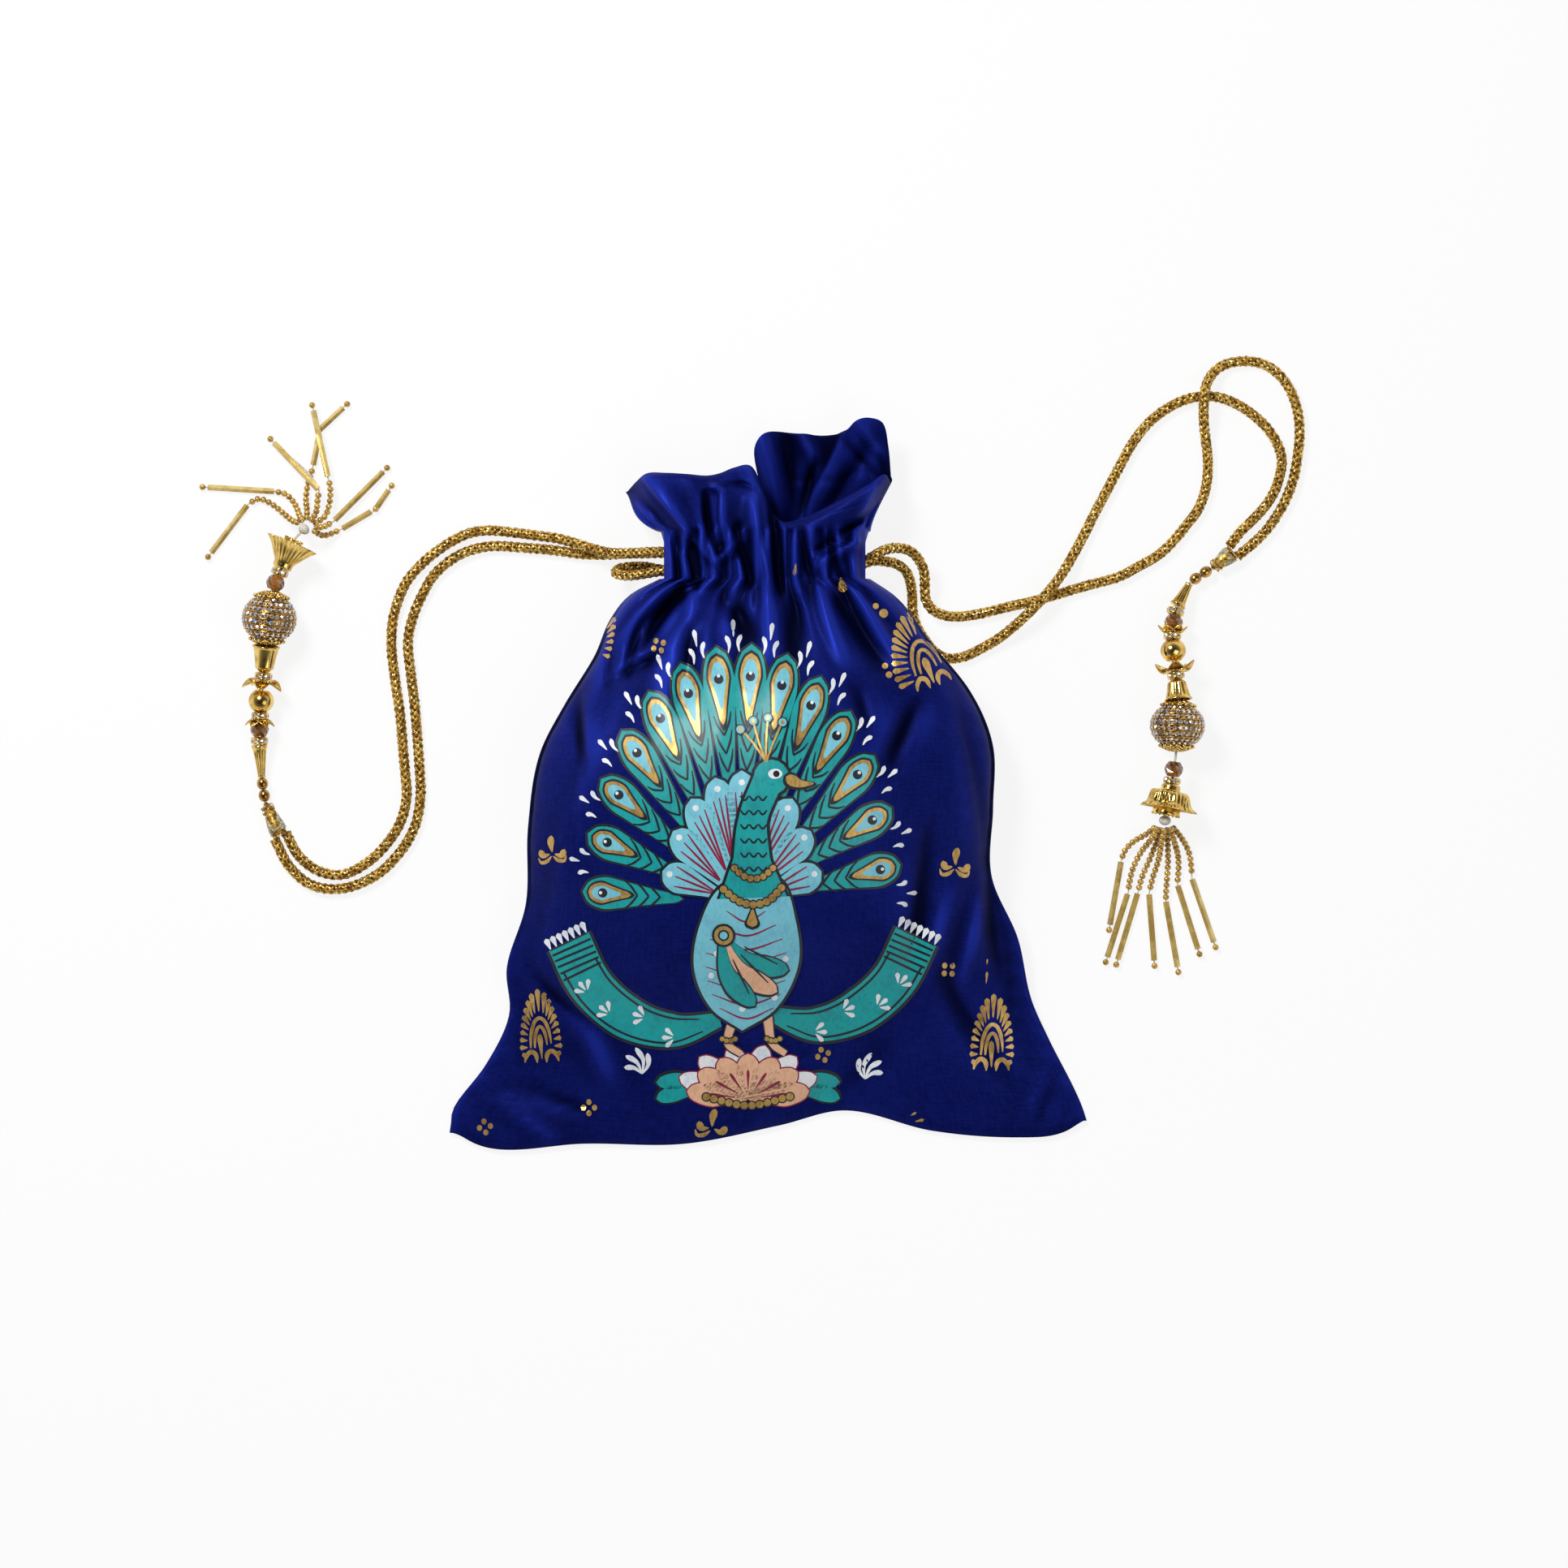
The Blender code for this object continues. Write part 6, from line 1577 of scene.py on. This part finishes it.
def cloth_faces(shape, slot_low, slot_high):
    """Faces between the rings, without the two side slots, and with the bottom seam closed."""
    rows, columns = shape
    faces = grid_faces(rows, columns, False, True).reshape(rows - 1, columns, 4)
    keep = np.ones((rows - 1, columns), bool)
    left_side = np.arange(ACROSS, ACROSS + SIDE_STEPS + 1)
    right_side = np.arange(columns - SIDE_STEPS - 1, columns)
    keep[slot_low:slot_high, np.concatenate([left_side, right_side])] = False
    front = np.arange(ACROSS + 1)
    back = ACROSS + SIDE_STEPS + 1 + ACROSS - front
    seam = np.stack([front[:-1], front[1:], back[1:], back[:-1]], axis=1)
    ends = []
    for side in (np.append(left_side, left_side[-1] + 1), np.append(right_side, 0)):
        for step in range(len(side) // 2):
            quad = [side[step], side[step + 1], side[-step - 2], side[-step - 1]]
            ends.append(list(dict.fromkeys(int(corner) for corner in quad)))
    return faces[keep].tolist() + seam.tolist() + [quad for quad in ends if len(quad) > 2]


def pouch():
    """One skin of cloth, closed at the bottom seam, open at the rim and at the two side slots."""
    rings, slot_low, slot_high = pouch_rings()
    faces = cloth_faces(rings.shape[:2], slot_low, slot_high)
    mesh = bpy.data.meshes.new("fine_pouch")
    mesh.from_pydata(rings.reshape(-1, 3).tolist(), [], faces)
    mesh.polygons.foreach_set("use_smooth", np.ones(len(faces), bool))
    lay_out_cloth(mesh, rings)
    # The satin reads this relief to paint shade into the hollows and a highlight onto the crests.
    mesh.attributes.new("relief", "FLOAT", "POINT").data.foreach_set("value", relief(rings).ravel())
    face_outwards(mesh, False)
    mesh.materials.append(SATIN)
    mesh.materials.append(SATIN_BACK)
    made = in_scene("fine_pouch", mesh)
    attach(made, "root")
    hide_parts("pouch")
    return made


def relief(rings):
    """Height in mm over the average of the cloth to both sides: below zero in a hollow."""
    smooth = rings[..., 2]
    for _ in range(RELIEF_PASSES):
        smooth = (np.roll(smooth, 1, axis=1) + smooth + np.roll(smooth, -1, axis=1)) / 3
    return (rings[..., 2] - smooth) / MM


def lay_out_cloth(mesh, rings):
    """UV in metres of cloth: distance round the middle ring, and distance up from the seam."""
    up = run_of(rings[:, ACROSS // 2])
    round_way = run_of(rings[len(rings) // 4])
    u, v = np.meshgrid(round_way, up)
    place = np.stack([u, v], axis=-1).reshape(-1, 2)
    corners = np.empty(len(mesh.loops), np.int32)
    mesh.loops.foreach_get("vertex_index", corners)
    layer = mesh.uv_layers.new(name="cloth")
    layer.data.foreach_set("uv", place[corners].ravel())


# Two panels side by side; each tapers from the width of the bottom seam to that of the top hem
CLOTH_WALL = 0.6 * MM

bag = pouch()
wall = bag.modifiers.new("cloth", "SOLIDIFY")
wall.thickness = CLOTH_WALL
wall.offset = -1
wall.use_rim = True
wall.material_offset = 1
wall.material_offset_rim = 1


# %% [markdown]
# The strip inside the neck keeps the cords in two rows. It is a flat ring with half-round ends,
# and its hems reach out to the pouch.

# %% Casing
HEM_INSET = 1.5 * MM
STRIP_INSET = 1.4 * MM
STRIP_ROWS = (72.6, 74, 87.8, 89.2)
LINING_ROWS = (89.6, 88.2, 73.6, 72.2)


def stadium(half_width, low, high, y, corners=20):
    """A flat ring with half-round ends at height y."""
    radius = (high - low) / 2
    turn = np.linspace(-math.pi / 2, math.pi / 2, corners)
    right = np.column_stack([half_width - radius + radius * np.cos(turn), radius * np.sin(turn)])
    around_ring = np.vstack([right, -right])
    return np.column_stack([around_ring[:, 0], np.full(2 * corners, y), around_ring[:, 1] + (low + high) / 2])


def casing():
    """Eight rings: four on the outside of the strip and four on the inside."""
    hem_low, hem_high = NECK_BACK + CLOTH + GAP, NECK_FRONT - CLOTH - GAP
    low, high = CORD_BACK + CORD_DIAMETER / 2 + CORD_EASE, CORD_FRONT - CORD_DIAMETER / 2 - CORD_EASE
    hem_half = NECK_WIDTH / 2 - HEM_INSET
    half = TURN_CENTRE + (high - low) / 2 - STRIP_INSET
    hem, strip = (hem_half, hem_low, hem_high), (half, low, high)
    inwards = np.array([-CLOTH, CLOTH, -CLOTH])
    outside = [stadium(*edge, y * MM) for edge, y in zip((hem, strip, strip, hem), STRIP_ROWS)]
    inside = [stadium(*(edge + inwards), y * MM) for edge, y in zip((hem, strip, strip, hem), LINING_ROWS)]
    heap = Heap()
    heap.add(np.array(outside + inside), wrap_rows=True)
    return make("fine_channel_casing", heap, [SATIN_BACK], ["channel_casing"])


print("casing faces:", len(casing().data.polygons))

# %% [markdown]
# The front is painted by hand: small gold ornaments all over, and a peacock above a lotus in the
# middle. Each brush mark is a flat grid in plan. A ray is dropped from every point of it onto the
# cloth, so the mark follows the folds, and each coat lies a twentieth of a millimetre above the
# last. A stroke is a curve with a width at each point, and a petal is a stroke shaped like a club.

# %% Brush marks
def paint(name, colour, worn, roughness=0.42, metal=0.0):
    """Flat paint with a little brush grain; it is thinner and darker in small worn patches."""
    finish = Finish(name, metallic=metal, roughness=roughness)
    brush = finish.noise(finish.object_place((1.0, 0.35, 1.0)), 900.0, 3.0)
    cloud = finish.noise(finish.object_place(), 120.0, 3.0)
    wear = (brush * 0.5 + cloud * 0.5).above(0.42, 0.68)
    return finish.feed({
        "base_color": finish.mix(wear, colour, worn), "normal": finish.bump(brush, 0.35, 0.06 * MM),
    })


GILT = paint("gold_paint", (0.62, 0.40, 0.12), (0.34, 0.19, 0.05), 0.38, 0.55)
TEAL = paint("teal_paint", (0.0, 0.34, 0.34), (0.0, 0.25, 0.27))
SKY = paint("sky_paint", (0.19, 0.57, 0.68), (0.14, 0.46, 0.58))
PEACH = paint("peach_paint", (0.82, 0.48, 0.3), (0.7, 0.38, 0.22))
WHITE = paint("white_paint", (0.82, 0.84, 0.84), (0.6, 0.66, 0.74))
MAROON = paint("maroon_paint", (0.27, 0.01, 0.05), (0.16, 0.008, 0.04))
BLACK = paint("black_paint", (0.004, 0.006, 0.01), (0.008, 0.012, 0.03))
MARK_STEP = 0.7
COAT = 0.05 * MM
FIRST_COAT = 0.07 * MM
RAY_START = 0.2

bag_tree = BVHTree.FromPolygons([vertex.co.copy() for vertex in bag.data.vertices],
                                [list(face.vertices) for face in bag.data.polygons])


def cloth_height(x, y):
    """Height of the front under a point in plan, or none where the point is off the bag."""
    hit = bag_tree.ray_cast((x, y, RAY_START), (0, 0, -1))
    return None if hit[0] is None else hit[0].z


def slope_and_side(line):
    """Direction of a plan line at each point, and the direction square to it."""
    slope = unit(np.gradient(line, axis=0))
    return slope, np.stack([-slope[:, 1], slope[:, 0]], axis=1)


class Painting:
    """Marks by paint; each is a grid of plan points in mm and the coat that it belongs to."""

    def __init__(self, name):
        self.name, self.marks = name, {}

    def grid(self, colour, coat, points):
        """Keeps a mark if all its points lie on the bag."""
        laid = np.zeros(points.shape[:2] + (3,))
        for spot in np.ndindex(points.shape[:2]):
            x, y = points[spot] * MM
            height = cloth_height(x, y)
            if height is None:
                return
            laid[spot] = (x, y, height + FIRST_COAT + coat * COAT)
        self.marks.setdefault(colour, Heap()).add(laid, 0, True, False, False)

    def stroke(self, colour, coat, points, widths):
        """A ribbon on the curve through points, with its widths spread evenly along it."""
        rough = route(points, 40)
        line = route(points, max(4, int(run_of(rough)[-1] / MARK_STEP) + 2))
        share = np.linspace(0, 1, len(line))
        width = np.interp(share, np.linspace(0, 1, len(widths)), widths)
        _, across = slope_and_side(line)
        steps = np.linspace(-0.5, 0.5, max(3, int(max(widths) / MARK_STEP) + 2))
        self.grid(colour, coat, line[:, None] + across[:, None] * (width[:, None] * steps)[..., None])

    def petal(self, colour, coat, root, tip, wide, bend=0.0, belly=0.72):
        """Club-shaped: narrow at the root, widest at belly and round at the tip."""
        root, tip = np.array(root, float), np.array(tip, float)
        way = tip - root
        middle = (root + tip) / 2 + bend * np.array([-way[1], way[0]])
        share = np.linspace(0, 1, 22)
        grown = (0.22 + 0.78 * np.clip(share / belly, 0, 1) ** 1.2) * np.clip(share * 14, 0, 1) ** 0.5
        closing = np.sqrt(np.clip(1 - (np.clip(share - belly, 0, 1) / (1 - belly)) ** 2, 0, 1))
        self.stroke(colour, coat, [root, middle, tip], wide * grown * closing)

    def dot(self, colour, coat, middle, radius, tall=1.0):
        """A round or oval dot."""
        turn = np.linspace(0, 2 * np.pi, 17)
        rim = np.stack([np.cos(turn), tall * np.sin(turn)], axis=1)
        share = np.linspace(0, 1, max(2, int(radius / MARK_STEP) + 2))
        self.grid(colour, coat, np.array(middle, float) + radius * share[:, None, None] * rim[None])

    def blob(self, colour, coat, outline, middle, grow=0.0):
        """A closed outline filled towards its middle; grow pushes the outline outwards."""
        closed = np.vstack([outline, outline[:1]])
        rim = route(closed, int(run_of(closed)[-1] / MARK_STEP)) - np.array(middle, float)
        length = np.linalg.norm(rim, axis=1, keepdims=True)
        rim = rim * (1 + grow / length)
        share = np.linspace(0, 1, int(length.max() / MARK_STEP) + 2)
        self.grid(colour, coat, np.array(middle, float) + share[:, None, None] * rim[None])

    def edged(self, colour, coat, root, tip, wide, bend=0.0, belly=0.72, line=1.9, edge=BLACK):
        """A petal with a dark line round it: a wider one lies under it."""
        root, tip = np.array(root, float), np.array(tip, float)
        way = (tip - root) / np.linalg.norm(tip - root)
        self.petal(edge, coat, root - way * line / 2, tip + way * line / 2, wide + line, bend, belly)
        self.petal(colour, coat + 1, root, tip, wide, bend, belly)

    def beads(self, coat, points, count, radius):
        """A string of gold beads with dark rims."""
        for spot in route(points, count):
            self.dot(BLACK, coat, spot, radius + 0.45)
            self.dot(GILT, coat + 1, spot, radius)

    def hand_over(self):
        """One piece for each paint."""
        for colour, heap in self.marks.items():
            make(f"{self.name}_{colour.name}", heap, [colour], [])


# %% [markdown]
# The gold ornaments are old ones: a fan of petals round a double arch with a drop in it, three
# leaves, and dots in fours. An ornament is drawn upright in its own millimetres, then turned and
# moved to its place.

# %% Gold ornaments
PETAL_STEP = 3.0
LEAVES = (
    ((0.2, 0.8), (0.5, 7.2), 2.7, 0.06), ((-0.8, 0.3), (-4.6, 2.2), 2.6, 0.35),
    ((0.9, 0.2), (5.2, 1.6), 2.6, -0.35),
)


def placed(points, place, turn, size):
    """Points turned by degrees, scaled and moved to a place."""
    cosine, sine = math.cos(math.radians(turn)), math.sin(math.radians(turn))
    points = np.atleast_2d(points) * size
    return points @ np.array([[cosine, sine], [-sine, cosine]]) + np.array(place, float)


def fan(work, place, turn, size, start, end, half=5.0, reach=3.3):
    """Petals side by side between two ovals, a double arch, a drop and two curls."""
    angle = np.radians(np.linspace(start, end, 120))
    across, up = np.cos(angle), np.sin(angle)
    inner = np.stack([half * across, 1.0 + np.where(up > 0, 13.6, 6.0) * up], axis=1)
    outer = inner + np.stack([reach * across, (1.2 + 7.8 * np.maximum(0, up)) * up], axis=1)
    walked = run_of(outer)
    for at in np.linspace(0, walked[-1], int(walked[-1] / PETAL_STEP) + 1):
        ends = [[np.interp(at, walked, oval[:, axis]) for axis in (0, 1)] for oval in (inner, outer)]
        root, tip = placed(ends, place, turn, size)
        work.petal(GILT, 0, root, tip, 0.7 * PETAL_STEP * size, 0, 0.82)
    for share, high, wide in ((0.48, 9.0, 1.3), (0.8, 12.3, 1.4)):
        angle = np.linspace(math.pi, 0.12, 9)
        arch = np.stack([share * half * np.cos(angle), 0.8 + (high - 0.8) * np.sin(angle)], axis=1)
        widths = np.array([0.7, wide, wide, wide, 0.5]) * size
        work.stroke(GILT, 0, placed(arch, place, turn, size), widths)
    tip, root = placed([(-0.3, 6.2), (0.1, -3.8)], place, turn, size)
    work.petal(GILT, 0, root, tip, 0.42 * half * size)
    for side in (-1, 1):
        curl = np.array([(1.8, -5.0), (2.3, -1.6), (4.0, -0.6), (6.0, -2.6), (6.5, -4.6)]) * (side, 1)
        widths = np.array([0.3, 1.6, 1.8, 1.7, 1.4, 0.5]) * size
        work.stroke(GILT, 0, placed(curl, place, turn, size), widths)


def sprig(work, place, turn, size):
    """Three leaves, one upright and two that curl away, over two curled strokes."""
    for root, tip, wide, bend in LEAVES:
        root, tip = placed([root, tip], place, turn, size)
        work.petal(GILT, 0, root, tip, wide * size, bend, 0.6)
    for side in (-1, 1):
        curl = np.array([(0.3, -0.6), (2.4, -2.4), (4.6, -2.6), (5.4, -0.8)]) * (side, 1)
        widths = np.array([0.4, 1.5, 1.3, 0.4]) * size
        work.stroke(GILT, 0, placed(curl, place, turn, size), widths)


def four_dots(work, place, turn):
    """Four oval dots in a cross."""
    for spot in placed([(0, 2.0), (0, -2.0), (2.0, 0), (-2.0, 0)], place, turn, 1.0):
        work.dot(GILT, 0, spot, 0.95, 1.15)


FOUR_DOTS = (((-37.7, 49.4), 30), ((65.7, -66.2), 42), ((20.9, -97), 20), ((-63.3, -116.3), 0),
             ((-100.8, -123.3), 10))
SINGLE_DOTS = (((39.6, 63.6), 1.1), ((42.4, 61.0), 1.6), ((42.8, 42.2), 1.1), ((44.2, 39.0), 1.2))
SINGLE_STROKES = (
    ((79.4, -71.5), (79.7, -67), 0.9), ((79.6, -64.6), (79.8, -62.4), 0.6),
    ((54, -121.4), (57.4, -120.6), 1.2), ((52.4, -119.2), (54.6, -118), 1),
    ((27, 74), (28.2, 68.6), 3.4), ((11.2, 78.8), (10.6, 74.4), 1.6),
)

ornaments = Painting("ornament")
fan(ornaments, (59, 39.6), 20, 1, 30, 196, 6.6, 6.4)
fan(ornaments, (81.6, -98.2), -2, 0.98, -22, 204)
fan(ornaments, (-80.4, -95.4), 3, 0.94, -22, 204)
fan(ornaments, (-62.5, 47), -18, 0.9, 0, 60)
sprig(ornaments, (67.8, -29.6), -4, 1)
sprig(ornaments, (-75.8, -25), 6, 0.95)
sprig(ornaments, (-19.3, -124), -8, 1.05)
for place, turn in FOUR_DOTS:
    four_dots(ornaments, place, turn)
for spot, radius in SINGLE_DOTS:
    ornaments.dot(GILT, 0, spot, radius)
for root, tip, wide in SINGLE_STROKES:
    ornaments.petal(GILT, 0, root, tip, wide)
ornaments.hand_over()
print("ornaments laid on the cloth")

# %% [markdown]
# The peacock spreads its train behind it. The train's feathers stand on an oval: the tip of each
# is at (wide cos a, high sin a) from the middle. Every feather has an eye of gold, sky blue and
# black. Two teal bands fall to the sides, with a fine line inside each edge, white petals in
# threes and a striped end with white tassels.

# %% The peacock and the lotus
TRAIN_MIDDLE = np.array([-8.0, -42.0])
TRAIN_WIDE, TRAIN_HIGH = 58.0, 94.0
VEIN = ((0.3, 0.16), (1.3, 0.32), (1.5, 0.42))
LOTUS_WIDE = 1.35


def at_angle(degrees, wide=1.0, high=1.0):
    """Point of an oval round nought at an angle: (wide cos a, high sin a)."""
    angle = math.radians(degrees)
    return np.array([wide * math.cos(angle), high * math.sin(angle)])


def on_train(angle, share):
    """Plan point at an angle of the train, at a share of the way out."""
    return TRAIN_MIDDLE + share * at_angle(angle, TRAIN_WIDE, TRAIN_HIGH)


def eye_feather(work, angle, coat):
    """One feather of the train, with its eye and its barbs."""
    work.edged(TEAL, coat, on_train(angle, 0.36), on_train(angle, 0.98), 11.5, 0, 0.74)
    for share in (0.5, 0.57, 0.64):
        middle = on_train(angle, share)
        for side in (-1, 1):
            bent = on_train(angle + side * 3.2, share + 0.05)
            tip = on_train(angle + side * 4.2, share + 0.085)
            work.stroke(BLACK, coat + 2, [middle, bent, tip], [0.7, 0.85, 0.4])
    work.petal(BLACK, coat + 2, on_train(angle, 0.655), on_train(angle, 0.957), 8.9, 0, 0.66)
    work.petal(GILT, coat + 3, on_train(angle, 0.68), on_train(angle, 0.945), 7.4, 0, 0.66)
    work.petal(SKY, coat + 4, on_train(angle, 0.74), on_train(angle, 0.925), 5.2, 0, 0.6)
    work.dot(BLACK, coat + 5, on_train(angle, 0.855), 1.7)
    work.dot(WHITE, coat + 6, on_train(angle, 0.868), 0.6)


def train(work):
    """Eye feathers, white commas in threes between their tips, and shorter sky-blue feathers."""
    for angle in range(8, 180, 13):
        eye_feather(work, angle + 0.5, 0)
    for angle in range(2, 180, 13):
        for turn, reach in ((-2.1, 1.0), (0.0, 1.06), (2.1, 1.0)):
            root, tip = on_train(angle + turn, reach - 0.055), on_train(angle + turn * 1.3, reach + 0.015)
            work.petal(WHITE, 0, root, tip, 1.7, -0.06 * turn)
    for angle in range(14, 170, 19):
        root, tip = on_train(angle, 0.1), on_train(angle, 0.5)
        work.edged(SKY, 7, root, tip, 11, 0, 0.7)
        for side in (-3.5, 0, 3.5):
            vein = [on_train(angle + side * lean, out) for lean, out in VEIN]
            work.stroke(MAROON, 9, vein, [0.5, 0.8, 0.8, 0.4])
        work.dot(WHITE, 9, on_train(angle, 0.455), 1.1)


def side_train(work, points, way):
    """A falling teal band; its end has stripes and a row of white tassels."""
    widths = [5.0, 12.0, 15.5, 16.0, 16.0]
    work.stroke(BLACK, 0, points, np.array(widths) + 2.4)
    work.stroke(TEAL, 1, points, widths)
    line = route(points, 60)
    slope, across = slope_and_side(line)
    inset = np.interp(np.linspace(0, 1, 60), np.linspace(0, 1, 5), widths)[:, None] / 2 - 1.6
    for side in (-1, 1):
        border = line + side * across * inset
        work.stroke(BLACK, 2, border[6::9], [0.5, 0.8, 0.8, 0.8, 0.8])
    for index in (14, 24, 34, 43):
        spot = line[index] + across[index] * (2.6 if index % 4 else -2.6) * way
        for side in (-0.95, 0, 0.95):
            lean = unit(slope[index] + side * across[index])
            work.petal(WHITE, 3, spot + 0.9 * lean, spot + 5.0 * lean, 1.8)
    for index in range(49, 60, 2):
        stripe = [line[index] + reach * across[index] for reach in (-7.6, 0.0, 7.6)]
        work.stroke(BLACK, 2, stripe, [0.8, 0.9, 0.8])
    for share in np.linspace(-0.9, 0.9, 7):
        root = line[-1] + across[-1] * 8 * share
        work.petal(WHITE, 3, root, root + slope[-1] * 4.4, 2.2)


BODY = np.array([
    (-8, -88), (-19, -80), (-25, -66), (-23, -50), (-15, -36), (5.5, -34),
    (11, -48), (12, -64), (4, -80),
])
BODY_MIDDLE, HEAD = (-7.0, -60.0), (2.4, 2.6)
BODY_DOTS = ((-17.0, -60.0), (-14.0, -72.0), (-8.0, -80.0), (3.5, -76.0), (7.5, -62.0), (-19.0, -68.0))
WING_ROOT = np.array([-15.5, -53.0])
WING_FEATHERS = ((12, (8.5, -66.0), TEAL), (14, (4.5, -74.0), PEACH), (16, (-3.5, -79.0), TEAL))
ROUNDEL = (-14.5, -53.5)
ROUNDEL_RINGS = ((19, BLACK, 4.2), (20, GILT, 3.4), (21, BLACK, 2.0), (22, SKY, 1.4))


def bird(work):
    """Body with maroon lines and white dots, a wing, a beaded neck, and the head with its crest."""
    work.blob(BLACK, 10, BODY, BODY_MIDDLE, 1.1)
    work.blob(SKY, 11, BODY, BODY_MIDDLE)
    neck = [(-4, -40), (-4.5, -26), (-4, -12), (1, 1)]
    work.stroke(BLACK, 12, neck, [26, 15, 12.2, 12.4])
    work.stroke(TEAL, 13, neck, [23.8, 12.8, 10, 10.4])
    work.dot(BLACK, 12, HEAD, 7.3)
    work.dot(TEAL, 13, HEAD, 6.2)
    for height in (-30.0, -25.0, -20.0, -15.0, -10.0, -5.0):
        for x in (-7.0, -3.8, -0.6):
            scale = [(x - 1.5, height + 1.0), (x, height - 0.6), (x + 1.5, height + 1.0)]
            work.stroke(BLACK, 14, scale, [0.5, 0.8, 0.5])
    for index, height in enumerate(range(-82, -46, 5)):
        half = 14.5 * math.sin(math.pi * (index + 1.6) / 9.5) ** 0.6
        belly_line = [(-6.5 - half, height + 2.2), (-6.5, height - 1.6), (-6.5 + half, height + 2.2)]
        work.stroke(MAROON, 12, belly_line, [0.3, 0.7, 0.7, 0.3])
    for spot in BODY_DOTS:
        work.dot(WHITE, 13, spot, 1.1)
    for coat, tip, colour in WING_FEATHERS:
        work.edged(colour, coat, WING_ROOT, tip, 7.4, -0.14, 0.66, 1.5)
        quill = [WING_ROOT + share * (tip - WING_ROOT) for share in (0.35, 0.62, 0.84)]
        work.stroke(BLACK, coat + 2, quill, [0.4, 0.9, 0.4])
    for coat, colour, radius in ROUNDEL_RINGS:
        work.dot(colour, coat, ROUNDEL, radius)
    work.beads(15, [(-14.5, -37), (-9.5, -41), (-4, -42.5), (1.5, -41), (6, -36.5)], 11, 1.3)
    work.beads(15, [(-10.6, -29.5), (-7, -32.5), (-3.8, -33.3), (-0.5, -32.5), (3, -29.5)], 8, 1.15)
    work.edged(GILT, 15, (-4.2, -44), (-4.4, -50.5), 3.8)
    work.dot(WHITE, 14, (3.8, 3.8), 2.5, 0.72)
    work.dot(BLACK, 15, (4.2, 3.8), 1.15)
    work.edged(GILT, 13, (17.5, 0.4), (7.6, 2.8), 4, 0.12)
    for tip in ((-8.5, 19.5), (-4.0, 22.5), (1.2, 23.6), (6.4, 22.0)):
        work.stroke(GILT, 13, [(0.6, 8), (0.5 * tip[0], 15), tip], [0.7, 0.7, 0.7])
        work.dot(BLACK, 13, tip, 1.9)
        work.dot(SKY, 14, tip, 1.45)
        work.dot(GILT, 15, tip, 0.7)


def lotus(work):
    """Two rows of petals on a gold bead string, with teal leaves beside it and the bird's feet on it."""
    middle = np.array([-6.0, -113.0])
    for side in (-1, 1):
        for high in (-2.0, 4.0):
            root, tip = middle + (side * 8.0, 0.5), middle + (side * 33.0, 2.0 + high)
            work.edged(TEAL, 0, root, tip, 6, side * 0.12)
    for angle in (24, 50, 77, 103, 130, 156):
        tip = middle + 20.0 * at_angle(angle, LOTUS_WIDE)
        work.edged(WHITE, 2, middle, tip, 8.4, 0, 0.55, 1, MAROON)
    for angle in (10, 37, 63, 90, 117, 143, 170):
        tip = middle + 16.5 * at_angle(angle, LOTUS_WIDE)
        work.edged(PEACH, 4, middle, tip, 8.8, 0, 0.55, 1, MAROON)
        inner = middle + 0.66 * (tip - middle)
        work.petal(MAROON, 6, middle + 0.2 * (tip - middle), inner, 1.1)
    work.beads(6, [middle + (-15, 0.8), middle + (0, -2.4), middle + (15, 0.8)], 12, 1.35)
    for x, foot in ((-11.0, -13.0), (1.0, 3.0)):
        leg = [(x, -83.0), (foot, -93.0), (foot + 4.5, -96.5)]
        work.stroke(BLACK, 8, leg, [4.4, 3.8, 3.2])
        work.stroke(PEACH, 9, leg, [3.4, 2.8, 2.2])
        work.beads(12, [(foot - 2.2, -91), (foot + 0.2, -91.8), (foot + 2.4, -91)], 4, 0.85)


def comma_sprig(work, place, way):
    """White commas that fan out from one point."""
    for angle, length in ((20, 7.0), (48, 9.0), (76, 10.0), (104, 8.0)):
        work.petal(WHITE, 0, place, place + length * at_angle(angle, way), 2, 0.16 * way)


picture = Painting("picture")
train(picture)
side_train(picture, [(-16, -84), (-32, -88), (-48, -84), (-62, -72), (-70, -56)], 1)
side_train(picture, [(2, -82), (18, -86), (32, -82), (46, -70), (54, -54)], -1)
bird(picture)
lotus(picture)
comma_sprig(picture, (-44, -104), -1)
comma_sprig(picture, (36, -106), 1)
picture.hand_over()
print("picture laid on the cloth")
